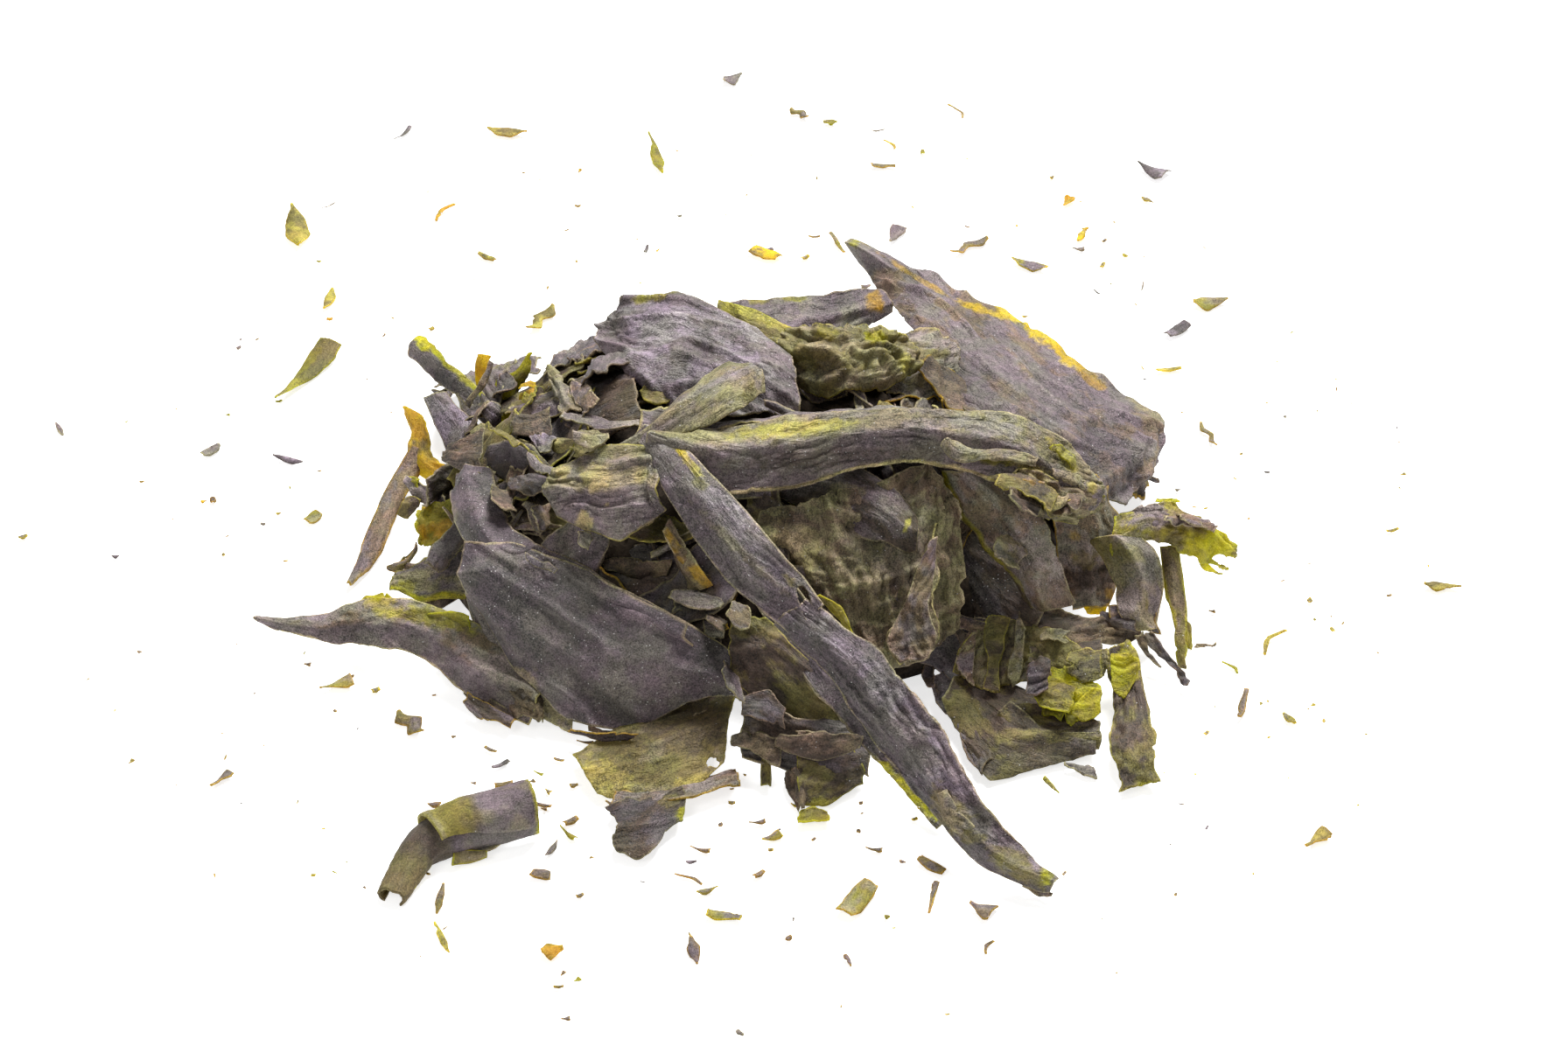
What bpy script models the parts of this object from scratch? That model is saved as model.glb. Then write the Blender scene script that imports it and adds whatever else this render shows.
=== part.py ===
"""Dried wakame: a loose heap of dry seaweed leaves, with the flakes that broke off it lying round it.

Everything is in metres, +Z up, and the floor is the plane z = 0. The heap is one solid: a low core of
packed leaves with every leaf that shows fused on. A leaf is a thin wavy sheet between two edges, the
near one and the far one, which are given together at a few stations along its length. The rolled leaf
and the larger flakes that lie apart are solids of their own.
"""
import math
import random

import bmesh
import bpy
from mathutils import Vector

MM = 0.001

# Driving dimensions, in millimetres.
LEAF_THICKNESS = 0.6        # of a leaf in the heap
FLAKE_THICKNESS = 0.5       # of a flake on the floor
FLOOR_CLEARANCE = 0.05      # the lowest face of a leaf above the floor
CORE_CENTRE = (4.0, -24.0)  # of the packed leaves under the ones that show
CORE_HALF_LENGTH = 62.0     # along X
CORE_HALF_DEPTH = 45.0      # along Y
CORE_HEIGHT = 35.0
CORE_FULLNESS = 0.46        # below 0.5 the core's flanks are steeper than an ellipsoid's
CORE_LUMP = 2.2             # how far the packed leaves make its surface uneven
PACKED_LEAVES = 32          # the smaller leaves that lie on the core between the large ones
PACKED_INNER_SHARE = 0.30   # of the core's plan, at its middle, that only large leaves cover
PACKED_LENGTH = (17.0, 31.0)
PACKED_WIDTH = (9.0, 15.0)
QUAD_LENGTH = 13.0          # of a leaf's facets, along it
QUAD_WIDTH = 11.0           # and across it
SHEET_WAVE = 0.5            # how far chance lifts or sinks each point of a leaf
EDGE_WOBBLE = 0.05          # how far chance moves its edges, as a share of its width
HEADING_STEP = 0.05         # the share of an edge over which its direction is read
VIEWED_FROM = (0.0, -0.77, 0.64)  # a leaf bulges towards this side
PACKED_REACH = 0.97         # of the core's plan, that packed leaves cover
PACKED_TIP = 0.5            # radians that a packed leaf tips off the core's slope
PACKED_SINK = (-0.5, 1.5)   # its middle over the core
PACKED_ENDS = (-2.0, 3.0)   # how far its ends lift off the core's slope
PACKED_CROWN = (-2.0, 2.5)
PACKED_SHAPE = ((-0.5, 0.45), (0.0, 1.0), (0.5, 0.6))  # (place along it, width there), as shares
SLOPE_STEP = 2.0            # over which the core's slope is read
GOLDEN_ANGLE = math.pi * (3.0 - math.sqrt(5.0))
SEED = 23

# The leaves that show. A station is (near edge, far edge), each an (x, y, z) in millimetres; the edges
# run along the leaf. "crown" is how far the sheet bulges towards the front between its edges.
LEAVES = {
    # The long blade that leans over the top and comes down to the floor in front.
    "tall_blade": dict(crown=1.2, stations=(
        ((-17, -42, 41), (-13, -40, 42)), ((-10, -57, 38), (-4, -52, 43)),
        ((0, -70, 31), (8, -66, 38)), ((12, -78, 25), (18, -76, 31)))),
    "long_fold": dict(crown=1.2, stations=(
        ((8, -75, 25), (15, -74, 31)), ((18, -84, 21), (26, -82, 27)), ((24, -90, 14), (33, -88, 22)),
        ((30, -96, 9), (40, -95, 17)), ((36, -102, 5), (45, -103, 11)), ((44, -112, 2), (52, -111, 6)),
        ((56, -119, 1), (58, -116, 2)))),
    "under_strip": dict(crown=-1.0, stations=(
        ((1, -58, 22), (9, -60, 28)), ((15, -81, 15), (22, -79, 21)), ((23, -88, 9), (31, -86, 17)),
        ((30, -95, 5), (38, -92, 11)), ((37, -103, 1), (42, -101, 6)))),
    # The ribbon that lies across the top, folded along its length.
    "top_ribbon": dict(crown=1.5, stations=(
        ((-15, -44, 40), (-13, -41, 42)), ((-3, -53, 37), (0, -42, 44)), ((11, -52, 37), (13, -40, 45)),
        ((27, -48, 39), (28, -39, 46)), ((37, -46, 38), (41, -38, 45)), ((48, -46, 34), (53, -36, 42)),
        ((58, -48, 28), (62, -38, 38)), ((67, -46, 26), (68, -40, 30)))),
    "ribbon_flap": dict(crown=-1.5, stations=(
        ((-13, -41, 42), (-10, -35, 37)), ((0, -42, 44), (2, -33, 35)), ((13, -40, 45), (16, -31, 35)),
        ((28, -39, 46), (30, -30, 35)), ((41, -38, 45), (44, -30, 33)), ((53, -36, 42), (56, -30, 30)))),
    "right_knot": dict(crown=3.0, stations=(
        ((49, -48, 34), (50, -46, 38)), ((55, -50, 29), (56, -45, 37)), ((62, -47, 25), (62, -43, 34)),
        ((68, -40, 23), (67, -40, 29)))),
    # Round the peak.
    "spotted": dict(crown=2.5, stations=(
        ((-34, -47, 32), (-34, -46, 33)), ((-31, -51, 29), (-32, -43, 36)),
        ((-25, -55, 29), (-27, -42, 38)), ((-19, -58, 29), (-21, -43, 41)),
        ((-13, -55, 31), (-14, -44, 42)), ((-10, -54, 34), (-10, -49, 40)))),
    "olive_tip": dict(crown=2.0, stations=(
        ((-20, -46, 38), (-17, -43, 39)), ((-7, -45, 44), (-9, -34, 45)), ((3, -41, 46), (0, -27, 48)),
        ((7, -35, 46), (6, -29, 47)))),
    "saddle": dict(crown=2.0, stations=(
        ((-36, -30, 22), (-36, -22, 26)), ((-25, -28, 28), (-31, -6, 26)), ((-14, -28, 34), (-19, -4, 30)))),
    "shadow_leaf": dict(crown=2.0, stations=(
        ((-24, -64, 9), (-26, -50, 20)), ((-12, -68, 9), (-14, -50, 24)), ((0, -68, 10), (-2, -54, 24)))),
    # The broad sheets at the back.
    "back_sheet": dict(crown=2.5, stations=(
        ((-23, -4, 30), (-26, 5, 32)), ((-14, -20, 33), (-22, 10, 35)), ((-4, -28, 35), (-10, 11, 37)),
        ((5, -29, 36), (4, -2, 37)), ((14, -29, 35), (13, -14, 37)))),
    "back_curl": dict(crown=1.5, stations=(
        ((-24, -10, 24), (-24, -4, 29)), ((-15, -16, 25), (-17, -8, 32)), ((-6, -20, 27), (-7, -12, 33)))),
    "back_ribbon": dict(crown=2.0, stations=(
        ((2, 2, 24), (-3, 16, 29)), ((12, 4, 24), (8, 18, 30)), ((21, 11, 22), (19, 21, 29)),
        ((32, 24, 21), (30, 28, 25)))),
    "green_flap": dict(crown=1.0, stations=(
        ((12, -4, 29), (13, 4, 32)), ((5, 0, 28), (4, 10, 33)), ((-2, 8, 27), (-3, 15, 32)))),
    "green_knot": dict(crown=4.0, stations=(
        ((11, -12, 31), (12, -1, 37)), ((19, -20, 32), (19, -5, 40)), ((28, -18, 32), (27, -3, 38)),
        ((35, -9, 29), (34, -3, 35)))),
    "back_knot": dict(crown=2.0, stations=(
        ((29, -14, 28), (31, 4, 31)), ((38, -16, 27), (38, 6, 31)), ((44, -6, 25), (43, 5, 28)))),
    "back_low": dict(crown=1.5, stations=(
        ((-38, 0, 12), (-38, 10, 16)), ((-30, -3, 18), (-32, 12, 20)), ((-20, -4, 20), (-22, 12, 24)))),
    # The great slab on the right, which leans back.
    "right_slab": dict(crown=2.0, stations=(
        ((25, 47, 19), (25, 51, 21)), ((31, 27, 22), (40, 34, 23)), ((39, 2, 27), (52, 23, 24)),
        ((47, -26, 31), (65, 12, 23)), ((60, -36, 27), (75, 2, 20)), ((69, -34, 21), (86, -3, 15)),
        ((74, -31, 16), (83, -11, 12)))),
    # The front left: a wide slab, the leaf arching over it and the tail lying out to the left.
    "front_slab": dict(crown=2.5, stations=(
        ((-47, -57, 15), (-49, -50, 24)), ((-39, -70, 9), (-39, -52, 25)), ((-29, -77, 3), (-28, -57, 24)),
        ((-19, -79, 2), (-18, -61, 22)), ((-8, -77, 6), (-6, -67, 18)), ((2, -74, 7), (3, -70, 12)))),
    "left_arch": dict(crown=2.0, stations=(
        ((-52, -30, 22), (-44, -33, 26)), ((-52, -37, 21), (-43, -39, 26)),
        ((-50, -45, 20), (-41, -46, 25)), ((-42, -53, 19), (-35, -52, 25)),
        ((-31, -57, 19), (-29, -55, 24)), ((-5, -71, 16), (-6, -69, 20)))),
    "left_tail": dict(crown=1.5, stations=(
        ((-88, -50, 2), (-89, -48, 3)), ((-76, -56, 3), (-77, -51, 6)), ((-65, -59, 4), (-67, -50, 10)),
        ((-56, -62, 4), (-53, -55, 12)), ((-48, -70, 2), (-42, -62, 11)), ((-36, -77, 1), (-30, -70, 7)))),
    "left_band": dict(crown=1.5, stations=(
        ((-49, -53, 11), (-46, -52, 17)), ((-43, -66, 5), (-39, -62, 13)), ((-36, -74, 2), (-32, -68, 9)),
        ((-28, -79, 1), (-27, -71, 6)))),
    "left_olive": dict(crown=1.0, stations=(
        ((-65, -42, 3), (-65, -37, 5)), ((-57, -46, 4), (-58, -36, 8)), ((-47, -47, 6), (-48, -38, 12)))),
    "left_crumple": dict(crown=1.5, stations=(
        ((-61, -31, 5), (-61, -24, 9)), ((-55, -34, 6), (-55, -23, 11)), ((-46, -34, 9), (-46, -24, 15)))),
    # The far left: fans of narrow leaves with bright tips.
    "yellow_wing": dict(crown=1.2, stations=(
        ((-66, 16, 16), (-63, 20, 19)), ((-61, 9, 16), (-57, 12, 20)), ((-54, 3, 14), (-51, 6, 17)),
        ((-46, -5, 10), (-43, -2, 13)))),
    "amber_tip": dict(crown=1.0, stations=(
        ((-51, 11, 21), (-48, 10, 21)), ((-52, 9, 19), (-48, 9, 19)), ((-52, 8, 16), (-49, 9, 16)),
        ((-52, 6, 10), (-50, 7, 10)))),
    "green_tip": dict(crown=0.8, stations=(
        ((-40, 7, 24), (-39, 7, 24)), ((-43, 5, 21), (-39, 4, 22)), ((-47, 6, 18), (-41, 3, 19)),
        ((-48, 4, 16), (-42, 1, 17)), ((-46, 1, 12), (-44, 0, 12)))),
    "grey_fan": dict(crown=1.2, stations=(
        ((-62, 4, 15), (-57, 4, 17)), ((-59, -3, 13), (-53, -1, 16)), ((-57, -8, 11), (-49, -6, 15)),
        ((-52, -14, 7), (-43, -12, 12)))),
    "amber_left": dict(crown=0.8, stations=(
        ((-66, 10, 8), (-65, 9, 9)), ((-65, 3, 6), (-61, 1, 10)), ((-64, -5, 4), (-59, -7, 9)),
        ((-57, -13, 4), (-50, -12, 9)))),
    "left_stick": dict(crown=0.8, stations=(
        ((-73, -38, 1), (-74, -37, 1)), ((-68, -28, 1), (-72, -25, 2)), ((-65, -14, 3), (-69, -12, 4)),
        ((-60, -4, 6), (-64, -2, 8)))),
    "olive_band": dict(crown=0.8, stations=(
        ((-51, -12, 16), (-49, -10, 20)), ((-40, -24, 18), (-37, -21, 23)), ((-30, -34, 20), (-28, -29, 26)))),
    # The back, which slopes down to the floor behind the broad sheets.
    "rear_left": dict(crown=2.0, stations=(
        ((-50, -8, 15), (-36, 4, 22)), ((-60, 8, 9), (-38, 17, 15)), ((-62, 17, 3), (-44, 28, 4)),
        ((-60, 22, 1), (-50, 29, 1)))),
    "rear_inner_left": dict(crown=3.0, stations=(
        ((-38, -2, 22), (-14, 2, 27)), ((-38, 14, 16), (-8, 17, 21)), ((-31, 28, 6), (-6, 28, 9)),
        ((-24, 38, 2), (-8, 35, 2)))),
    "rear_middle": dict(crown=2.0, stations=(
        ((-12, 4, 27), (6, 6, 29)), ((-19, 20, 14), (8, 22, 18)), ((-22, 32, 4), (2, 38, 5)),
        ((-18, 41, 1), (-4, 44, 1)))),
    "rear_inner_right": dict(crown=3.0, stations=(
        ((2, 0, 28), (27, -4, 28)), ((5, 16, 21), (31, 15, 20)), ((12, 29, 8), (36, 27, 8)),
        ((20, 37, 1), (34, 35, 2)))),
    "rear_right": dict(crown=2.0, stations=(
        ((26, 2, 24), (50, -12, 21)), ((30, 17, 13), (60, 3, 12)), ((38, 29, 3), (64, 13, 4)),
        ((47, 31, 1), (63, 22, 1)))),
    "rear_curl": dict(crown=-2.5, stations=(
        ((-30, 4, 24), (-20, 12, 23)), ((-18, 10, 24), (-12, 18, 22)), ((-2, 14, 23), (0, 24, 20)),
        ((12, 12, 23), (16, 21, 20)))),
    "right_side": dict(crown=1.5, stations=(
        ((50, -14, 19), (54, -32, 20)), ((62, -3, 11), (68, -24, 12)), ((71, 4, 3), (80, -17, 4)),
        ((78, 4, 1), (84, -10, 1)))),
    # The middle, under the ribbon and behind the long blade.
    "crumpled_face": dict(crown=2.0, stations=(
        ((4, -62, 17), (5, -50, 31)), ((19, -66, 13), (15, -50, 35)), ((28, -70, 9), (25, -48, 36)),
        ((36, -69, 9), (36, -43, 37)), ((43, -60, 12), (42, -47, 32)))),
    "inner_blade": dict(crown=1.5, stations=(
        ((9, -46, 30), (12, -42, 36)), ((19, -52, 29), (21, -42, 37)), ((27, -57, 28), (30, -47, 35)),
        ((35, -58, 26), (35, -53, 31)))),
    "torn_tongue": dict(crown=1.2, stations=(
        ((37, -50, 27), (41, -49, 29)), ((35, -57, 26), (39, -56, 27)), ((34, -61, 23), (39, -61, 24)),
        ((32, -64, 20), (38, -65, 21)), ((28, -68, 15), (39, -69, 17)), ((31, -72, 11), (37, -71, 12)))),
    "right_drape": dict(crown=2.0, stations=(
        ((39, -40, 33), (48, -43, 35)), ((42, -47, 27), (56, -47, 31)), ((46, -49, 22), (60, -50, 26)),
        ((52, -52, 16), (62, -51, 20)), ((56, -55, 10), (66, -55, 12)))),
    "inner_right": dict(crown=1.5, stations=(
        ((40, -50, 12), (41, -36, 26)), ((47, -56, 7), (53, -46, 18)), ((56, -62, 4), (60, -54, 12)))),
    # The right end: a purple lobe and yellow ruffles.
    "right_under": dict(crown=1.5, stations=(
        ((60, -33, 28), (72, -30, 20)), ((59, -44, 27), (72, -33, 20)), ((60, -43, 21), (75, -37, 16)),
        ((61, -43, 13), (75, -40, 10)), ((63, -46, 8), (74, -43, 7)), ((65, -48, 4), (72, -47, 4)))),
    "right_lobe": dict(crown=2.0, stations=(
        ((67, -42, 17), (77, -43, 19)), ((70, -46, 15), (81, -46, 17)), ((72, -49, 11), (82, -49, 12)),
        ((72, -52, 8), (81, -52, 7)), ((76, -55, 5), (80, -53, 4)))),
    "right_ruffle": dict(crown=2.0, stations=(
        ((71, -47, 13), (72, -37, 19)), ((79, -44, 16), (77, -36, 19)), ((84, -44, 13), (83, -33, 19)),
        ((89, -42, 9), (89, -33, 16)), ((93, -38, 5), (93, -34, 13)), ((96, -34, 2.5), (97, -31, 6)))),
    "right_sliver": dict(crown=0.8, stations=(
        ((81, -41, 15), (85, -42, 15)), ((82, -51, 9), (86, -51, 9)), ((83, -57, 5), (86, -58, 5)),
        ((84, -61, 1.5), (86, -62, 1.5)))),
    # The front: translucent sheets lying low, and the near corner on the right.
    "mid_sheet": dict(crown=1.5, stations=(
        ((0, -75, 10), (0, -66, 21)), ((8, -80, 8), (7, -68, 22)), ((17, -84, 5), (16, -76, 17)),
        ((23, -84, 4), (23, -78, 11)))),
    "front_olive": dict(crown=1.5, stations=(
        ((-23, -95, 1), (-29, -85, 2.5)), ((-18, -96, 1), (-21, -79, 3)), ((-12, -96, 2), (-13, -76, 4)),
        ((-5, -94, 2), (-4, -72, 5)), ((0, -88, 3), (2, -73, 7)))),
    "front_stick": dict(crown=0.5, stations=(
        ((-21, -99, 2.5), (-20, -94, 1.5)), ((-11, -99, 4), (-10, -93, 2)), ((3, -94, 2.5), (2, -88, 2)))),
    "front_torn": dict(crown=0.8, stations=(
        ((-20, -110, 1), (-22, -97, 2)), ((-13, -110, 1), (-14, -95, 4)), ((-6, -102, 1), (-7, -92, 4)))),
    "front_dark": dict(crown=1.0, stations=(
        ((2, -87, 3), (2, -80, 10)), ((11, -90, 2), (9, -81, 11)), ((20, -93, 2), (18, -82, 10)),
        ((26, -91, 1), (25, -82, 7)))),
    "front_leaf": dict(crown=1.0, stations=(
        ((13, -98, 1), (12, -88, 5)), ((18, -97, 1), (16, -84, 7)), ((26, -92, 1), (23, -83, 8)))),
    "corner_sheet": dict(crown=1.0, stations=(
        ((38, -73, 4), (41, -68, 6)), ((42, -81, 2), (47, -64, 5)), ((47, -91, 1), (54, -69, 5)),
        ((57, -88, 1), (61, -74, 5)), ((68, -84, 1), (68, -77, 4)))),
    "corner_green": dict(crown=1.0, stations=(
        ((56, -79, 6.5), (58, -64, 4.5)), ((62, -81, 5), (64, -67, 6)), ((69, -76, 3.5), (69, -71, 7)))),
    "corner_strip": dict(crown=1.0, stations=(
        ((68, -63, 6.5), (75, -58, 6.5)), ((70, -72, 4), (77, -66, 6)),
        ((69, -84, 3), (78, -82, 4)), ((69, -95, 1), (78, -92, 1)))),
    "corner_back": dict(crown=1.5, stations=(
        ((40, -67, 5), (42, -63, 9)), ((47, -71, 4.5), (50, -55, 10)),
        ((54, -71, 4.5), (57, -56, 9.5)), ((63, -70, 4), (65, -62, 9)), ((70, -67, 4), (70, -63, 9)))),
}

# The flakes that lie apart: place, length and width in millimetres, turn in degrees, and tint.
FLAKES = {
    "far_top": (-2, 146, 6.5, 6.0, 38, "grey"),
    "far_pair": (14, 131, 6.3, 4.2, -41, "olive"),
    "far_green": (21, 127, 4.5, 3.4, -5, "green"),
    "far_hook": (35, 118, 5.0, 2.3, -54, "olive"),
    "far_right_bent": (51, 132, 7.2, 2.8, -63, "olive"),
    "far_dash": (33, 109, 6.6, 2.9, -3, "olive"),
    "far_grey_plate": (94, 107, 8.6, 5.9, -39, "grey"),
    "far_right_chip": (92, 95, 4.0, 2.4, -38, "olive"),
    "far_left_boat": (-54, 123, 10.6, 5.2, -10, "yellow"),
    "far_strip": (-19, 113, 18.0, 3.6, -77, "green"),
    "left_far_leaf": (-98, 84, 17.0, 6.4, -77, "yellow"),
    "left_far_hook": (-66, 90, 8.9, 3.4, 58, "amber"),
    "left_seed": (-55, 73, 5.5, 2.5, -33, "yellow"),
    "left_gold": (-88, 57, 9.0, 3.2, 83, "yellow"),
    "left_wing": (-90, 30, 23.0, 7.0, 65, "green"),
    "left_curl": (-42, 50, 10.9, 5.4, 60, "yellow"),
    "back_gold": (6, 74, 7.6, 5.4, -37, "amber"),
    "back_plum": (35, 81, 7.5, 5.1, 64, "grey"),
    "back_rod": (22, 78, 9.0, 2.3, -68, "olive"),
    "right_branch": (51, 77, 11.5, 4.6, 37, "olive"),
    "right_wavy": (64, 70, 9.6, 4.6, -24, "olive"),
    "right_triangle": (74, 94, 5.4, 3.8, 58, "amber"),
    "right_tall_chip": (76, 81, 5.9, 2.5, 67, "amber"),
    "right_kite": (102, 56, 9.1, 5.8, 8, "olive"),
    "right_knob": (94, 46, 7.5, 4.0, 40, "grey"),
    "right_bar": (91, 32, 6.5, 2.4, 11, "yellow"),
    "right_pair": (97, 10, 8.8, 3.2, -72, "olive"),
    "right_far_kite": (137, -37, 8.5, 4.2, -5, "yellow"),
    "right_curl": (102, -53, 9.3, 3.8, 52, "yellow"),
    "right_green_hook": (94, -60, 5.0, 2.0, -53, "green"),
    "right_brown_rod": (95, -70, 9.0, 2.1, 75, "brown"),
    "right_small_green": (103, -74, 4.6, 2.8, -59, "olive"),
    "right_low_wedge": (104, -105, 7.2, 4.2, 38, "yellow"),
    "near_left_wedge": (-91, -90, 6.1, 3.5, 47, "brown"),
    "left_dark_plate": (-73, -65, 7.2, 4.6, 24, "olive"),
    "left_dark_crown": (-58, -75, 8.4, 5.2, -47, "olive"),
    "left_brick": (-106, 5, 5.3, 3.3, 45, "grey"),
    "left_splinter": (-90, 2, 7.7, 1.9, -19, "grey"),
    "left_far_end": (-138, 12, 5.6, 1.9, -62, "grey"),
    "left_tip_end": (-139, -22, 3.0, 2.2, 32, "olive"),
    "left_mid_chip": (-83, -16, 4.8, 3.6, 51, "olive"),
    "near_lobe": (-49, -119, 7.6, 2.2, -95, "olive"),
    "near_lobe_tip": (-48, -128, 8.4, 2.2, -67, "yellow"),
    "near_brown_plate": (-32, -113, 5.0, 3.3, -16, "brown"),
    "near_gold": (-29, -131, 5.2, 4.8, 12, "amber"),
    "near_star": (-5, -131, 7.3, 3.0, -79, "brown"),
    "near_leaf": (0, -123, 7.0, 3.6, -16, "olive"),
    "near_shield": (23, -119, 9.5, 5.6, 52, "olive"),
    "near_spike": (36, -119, 8.6, 2.2, 77, "brown"),
    "near_plum": (44, -121, 5.5, 4.6, -31, "brown"),
    "near_seed": (36, -111, 6.4, 3.0, -37, "olive"),
    "near_hinge": (45, -130, 4.5, 1.8, 62, "brown"),
    "near_thorn": (21, -133, 3.6, 1.8, -70, "brown"),
    "near_left_prism": (-41, -86, 4.6, 2.8, 30, "grey"),
    "near_chip": (8, -104, 4.7, 2.5, 31, "olive"),
    "near_bracket": (-6, -114, 6.3, 2.0, -28, "brown"),
    "near_edge": (3, -149, 2.6, 1.8, -42, "grey"),
}
FLAKE_SIDES = 8
FLAKE_RISE = 0.28           # how far a flake's middle lifts, as a share of its width
FLAKE_BEND = 0.10           # how far its ends bend up at most, as a share of its length
FLAKE_LONG = (0.82, 1.0)    # how far chance draws its corners in, along it
FLAKE_WIDE = (0.72, 1.12)   # and across it

# The leaf that dried as a roll and lies alone in front on the left, from the flat tongue at its near end
# to the round mouth at its far end: stations as (x, y, half width, half height), in millimetres.
ROLL_STATIONS = ((-57.5, -119.5, 2.2, 1.5), (-55.5, -114.0, 2.8, 2.0), (-52.5, -108.5, 3.4, 3.0),
                 (-46.5, -105.0, 4.2, 4.2), (-40.0, -103.0, 4.2, 4.5), (-33.5, -101.0, 3.6, 5.0))
ROLL_WALL = 0.6
ROLL_OPENING = 70.0         # degrees of the roll that stay open, on its under side
ROLL_SIDES = 7

# Principled BSDF colours, linear RGB, and roughness.
TINTS = {
    "heap": ((0.105, 0.088, 0.082), 0.62),
    "grey": ((0.100, 0.085, 0.095), 0.62),
    "olive": ((0.190, 0.175, 0.060), 0.60),
    "green": ((0.300, 0.330, 0.060), 0.55),
    "yellow": ((0.420, 0.370, 0.090), 0.55),
    "amber": ((0.480, 0.290, 0.050), 0.50),
    "brown": ((0.160, 0.105, 0.065), 0.60),
}


def clear_scene():
    """Removes whatever objects the scene starts with."""
    for thing in list(bpy.data.objects):
        bpy.data.objects.remove(thing, do_unlink=True)


def tint_material(tint):
    """The material of one tint, made once."""
    name = f"dry_leaf_{tint}"
    material = bpy.data.materials.get(name)
    if material is None:
        colour, roughness = TINTS[tint]
        material = bpy.data.materials.new(name)
        material.use_nodes = True
        shader = material.node_tree.nodes["Principled BSDF"]
        shader.inputs["Base Color"].default_value = (*colour, 1.0)
        shader.inputs["Roughness"].default_value = roughness
        shader.inputs["Metallic"].default_value = 0.0
    return material


def new_object(name, bm, tint, collection):
    """Turns a bmesh into an object with one material, in a collection."""
    mesh = bpy.data.meshes.new(name)
    bm.to_mesh(mesh)
    bm.free()
    mesh.materials.append(tint_material(tint))
    thing = bpy.data.objects.new(name, mesh)
    collection.objects.link(thing)
    return thing


def thicken(bm, thickness):
    """Gives an open sheet its thickness, half on each side, with a closed rim."""
    bmesh.ops.recalc_face_normals(bm, faces=bm.faces)
    for vert in bm.verts:
        vert.co -= vert.normal * (0.5 * thickness * MM)
    bmesh.ops.solidify(bm, geom=bm.faces[:], thickness=thickness * MM)
    bmesh.ops.recalc_face_normals(bm, faces=bm.faces)


def along_edge(points, share):
    """A point at a share of the way along a smooth curve through the points."""
    place = share * (len(points) - 1)
    step = min(int(place), len(points) - 2)
    t = place - step
    before = points[max(step - 1, 0)]
    start, end = points[step], points[step + 1]
    after = points[min(step + 2, len(points) - 1)]
    lean_in, lean_out = (end - before) * 0.5, (after - start) * 0.5
    return (start * (2 * t ** 3 - 3 * t ** 2 + 1) + lean_in * (t ** 3 - 2 * t ** 2 + t)
            + end * (3 * t ** 2 - 2 * t ** 3) + lean_out * (t ** 3 - t ** 2))


def leaf_sheet(name, stations, crown):
    """One leaf: a grid laid between its two edges, bulged, with uneven edges, and thickened."""
    near = [Vector(station[0]) for station in stations]
    far = [Vector(station[1]) for station in stations]
    length = sum((near[i + 1] + far[i + 1] - near[i] - far[i]).length * 0.5 for i in range(len(near) - 1))
    width = max((a - b).length for a, b in zip(near, far))
    along = max(len(stations) - 1, round(length / QUAD_LENGTH), 2)
    across = max(round(width / QUAD_WIDTH), 2)
    draw = random.Random(name)
    bm = bmesh.new()
    bmesh.ops.create_grid(bm, x_segments=along, y_segments=across, size=0.5)
    for vert in bm.verts:
        u, v = vert.co.x + 0.5, vert.co.y + 0.5
        first, second = along_edge(near, u), along_edge(far, u)
        ahead, behind = min(u + HEADING_STEP, 1.0), max(u - HEADING_STEP, 0.0)
        direction = along_edge(near, ahead) - along_edge(near, behind)
        facing = direction.cross(second - first).normalized()
        if facing.dot(Vector(VIEWED_FROM)) < 0.0:
            facing.negate()
        bulge = crown * 4.0 * v * (1.0 - v)
        place = first.lerp(second, v) + facing * (bulge + draw.uniform(-SHEET_WAVE, SHEET_WAVE))
        if v < 0.01 or v > 0.99:
            place += (second - first) * draw.uniform(-EDGE_WOBBLE, EDGE_WOBBLE)
        place.z = max(place.z, 0.5 * LEAF_THICKNESS + FLOOR_CLEARANCE)
        vert.co = place * MM
    bmesh.ops.triangulate(bm, faces=bm.faces)
    thicken(bm, LEAF_THICKNESS)
    lift_to_floor(bm, FLOOR_CLEARANCE)
    return bm


def lift_to_floor(bm, clearance):
    """Flattens whatever would reach below the clearance over the floor."""
    for vert in bm.verts:
        vert.co.z = max(vert.co.z, clearance * MM)


def core_height(x, y):
    """Height of the smooth core over a point of the floor, in millimetres; 0 outside it."""
    east, north = (x - CORE_CENTRE[0]) / CORE_HALF_LENGTH, (y - CORE_CENTRE[1]) / CORE_HALF_DEPTH
    reach = east ** 2 + north ** 2
    return CORE_HEIGHT * (1.0 - reach) ** CORE_FULLNESS if reach < 1.0 else 0.0


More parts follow.
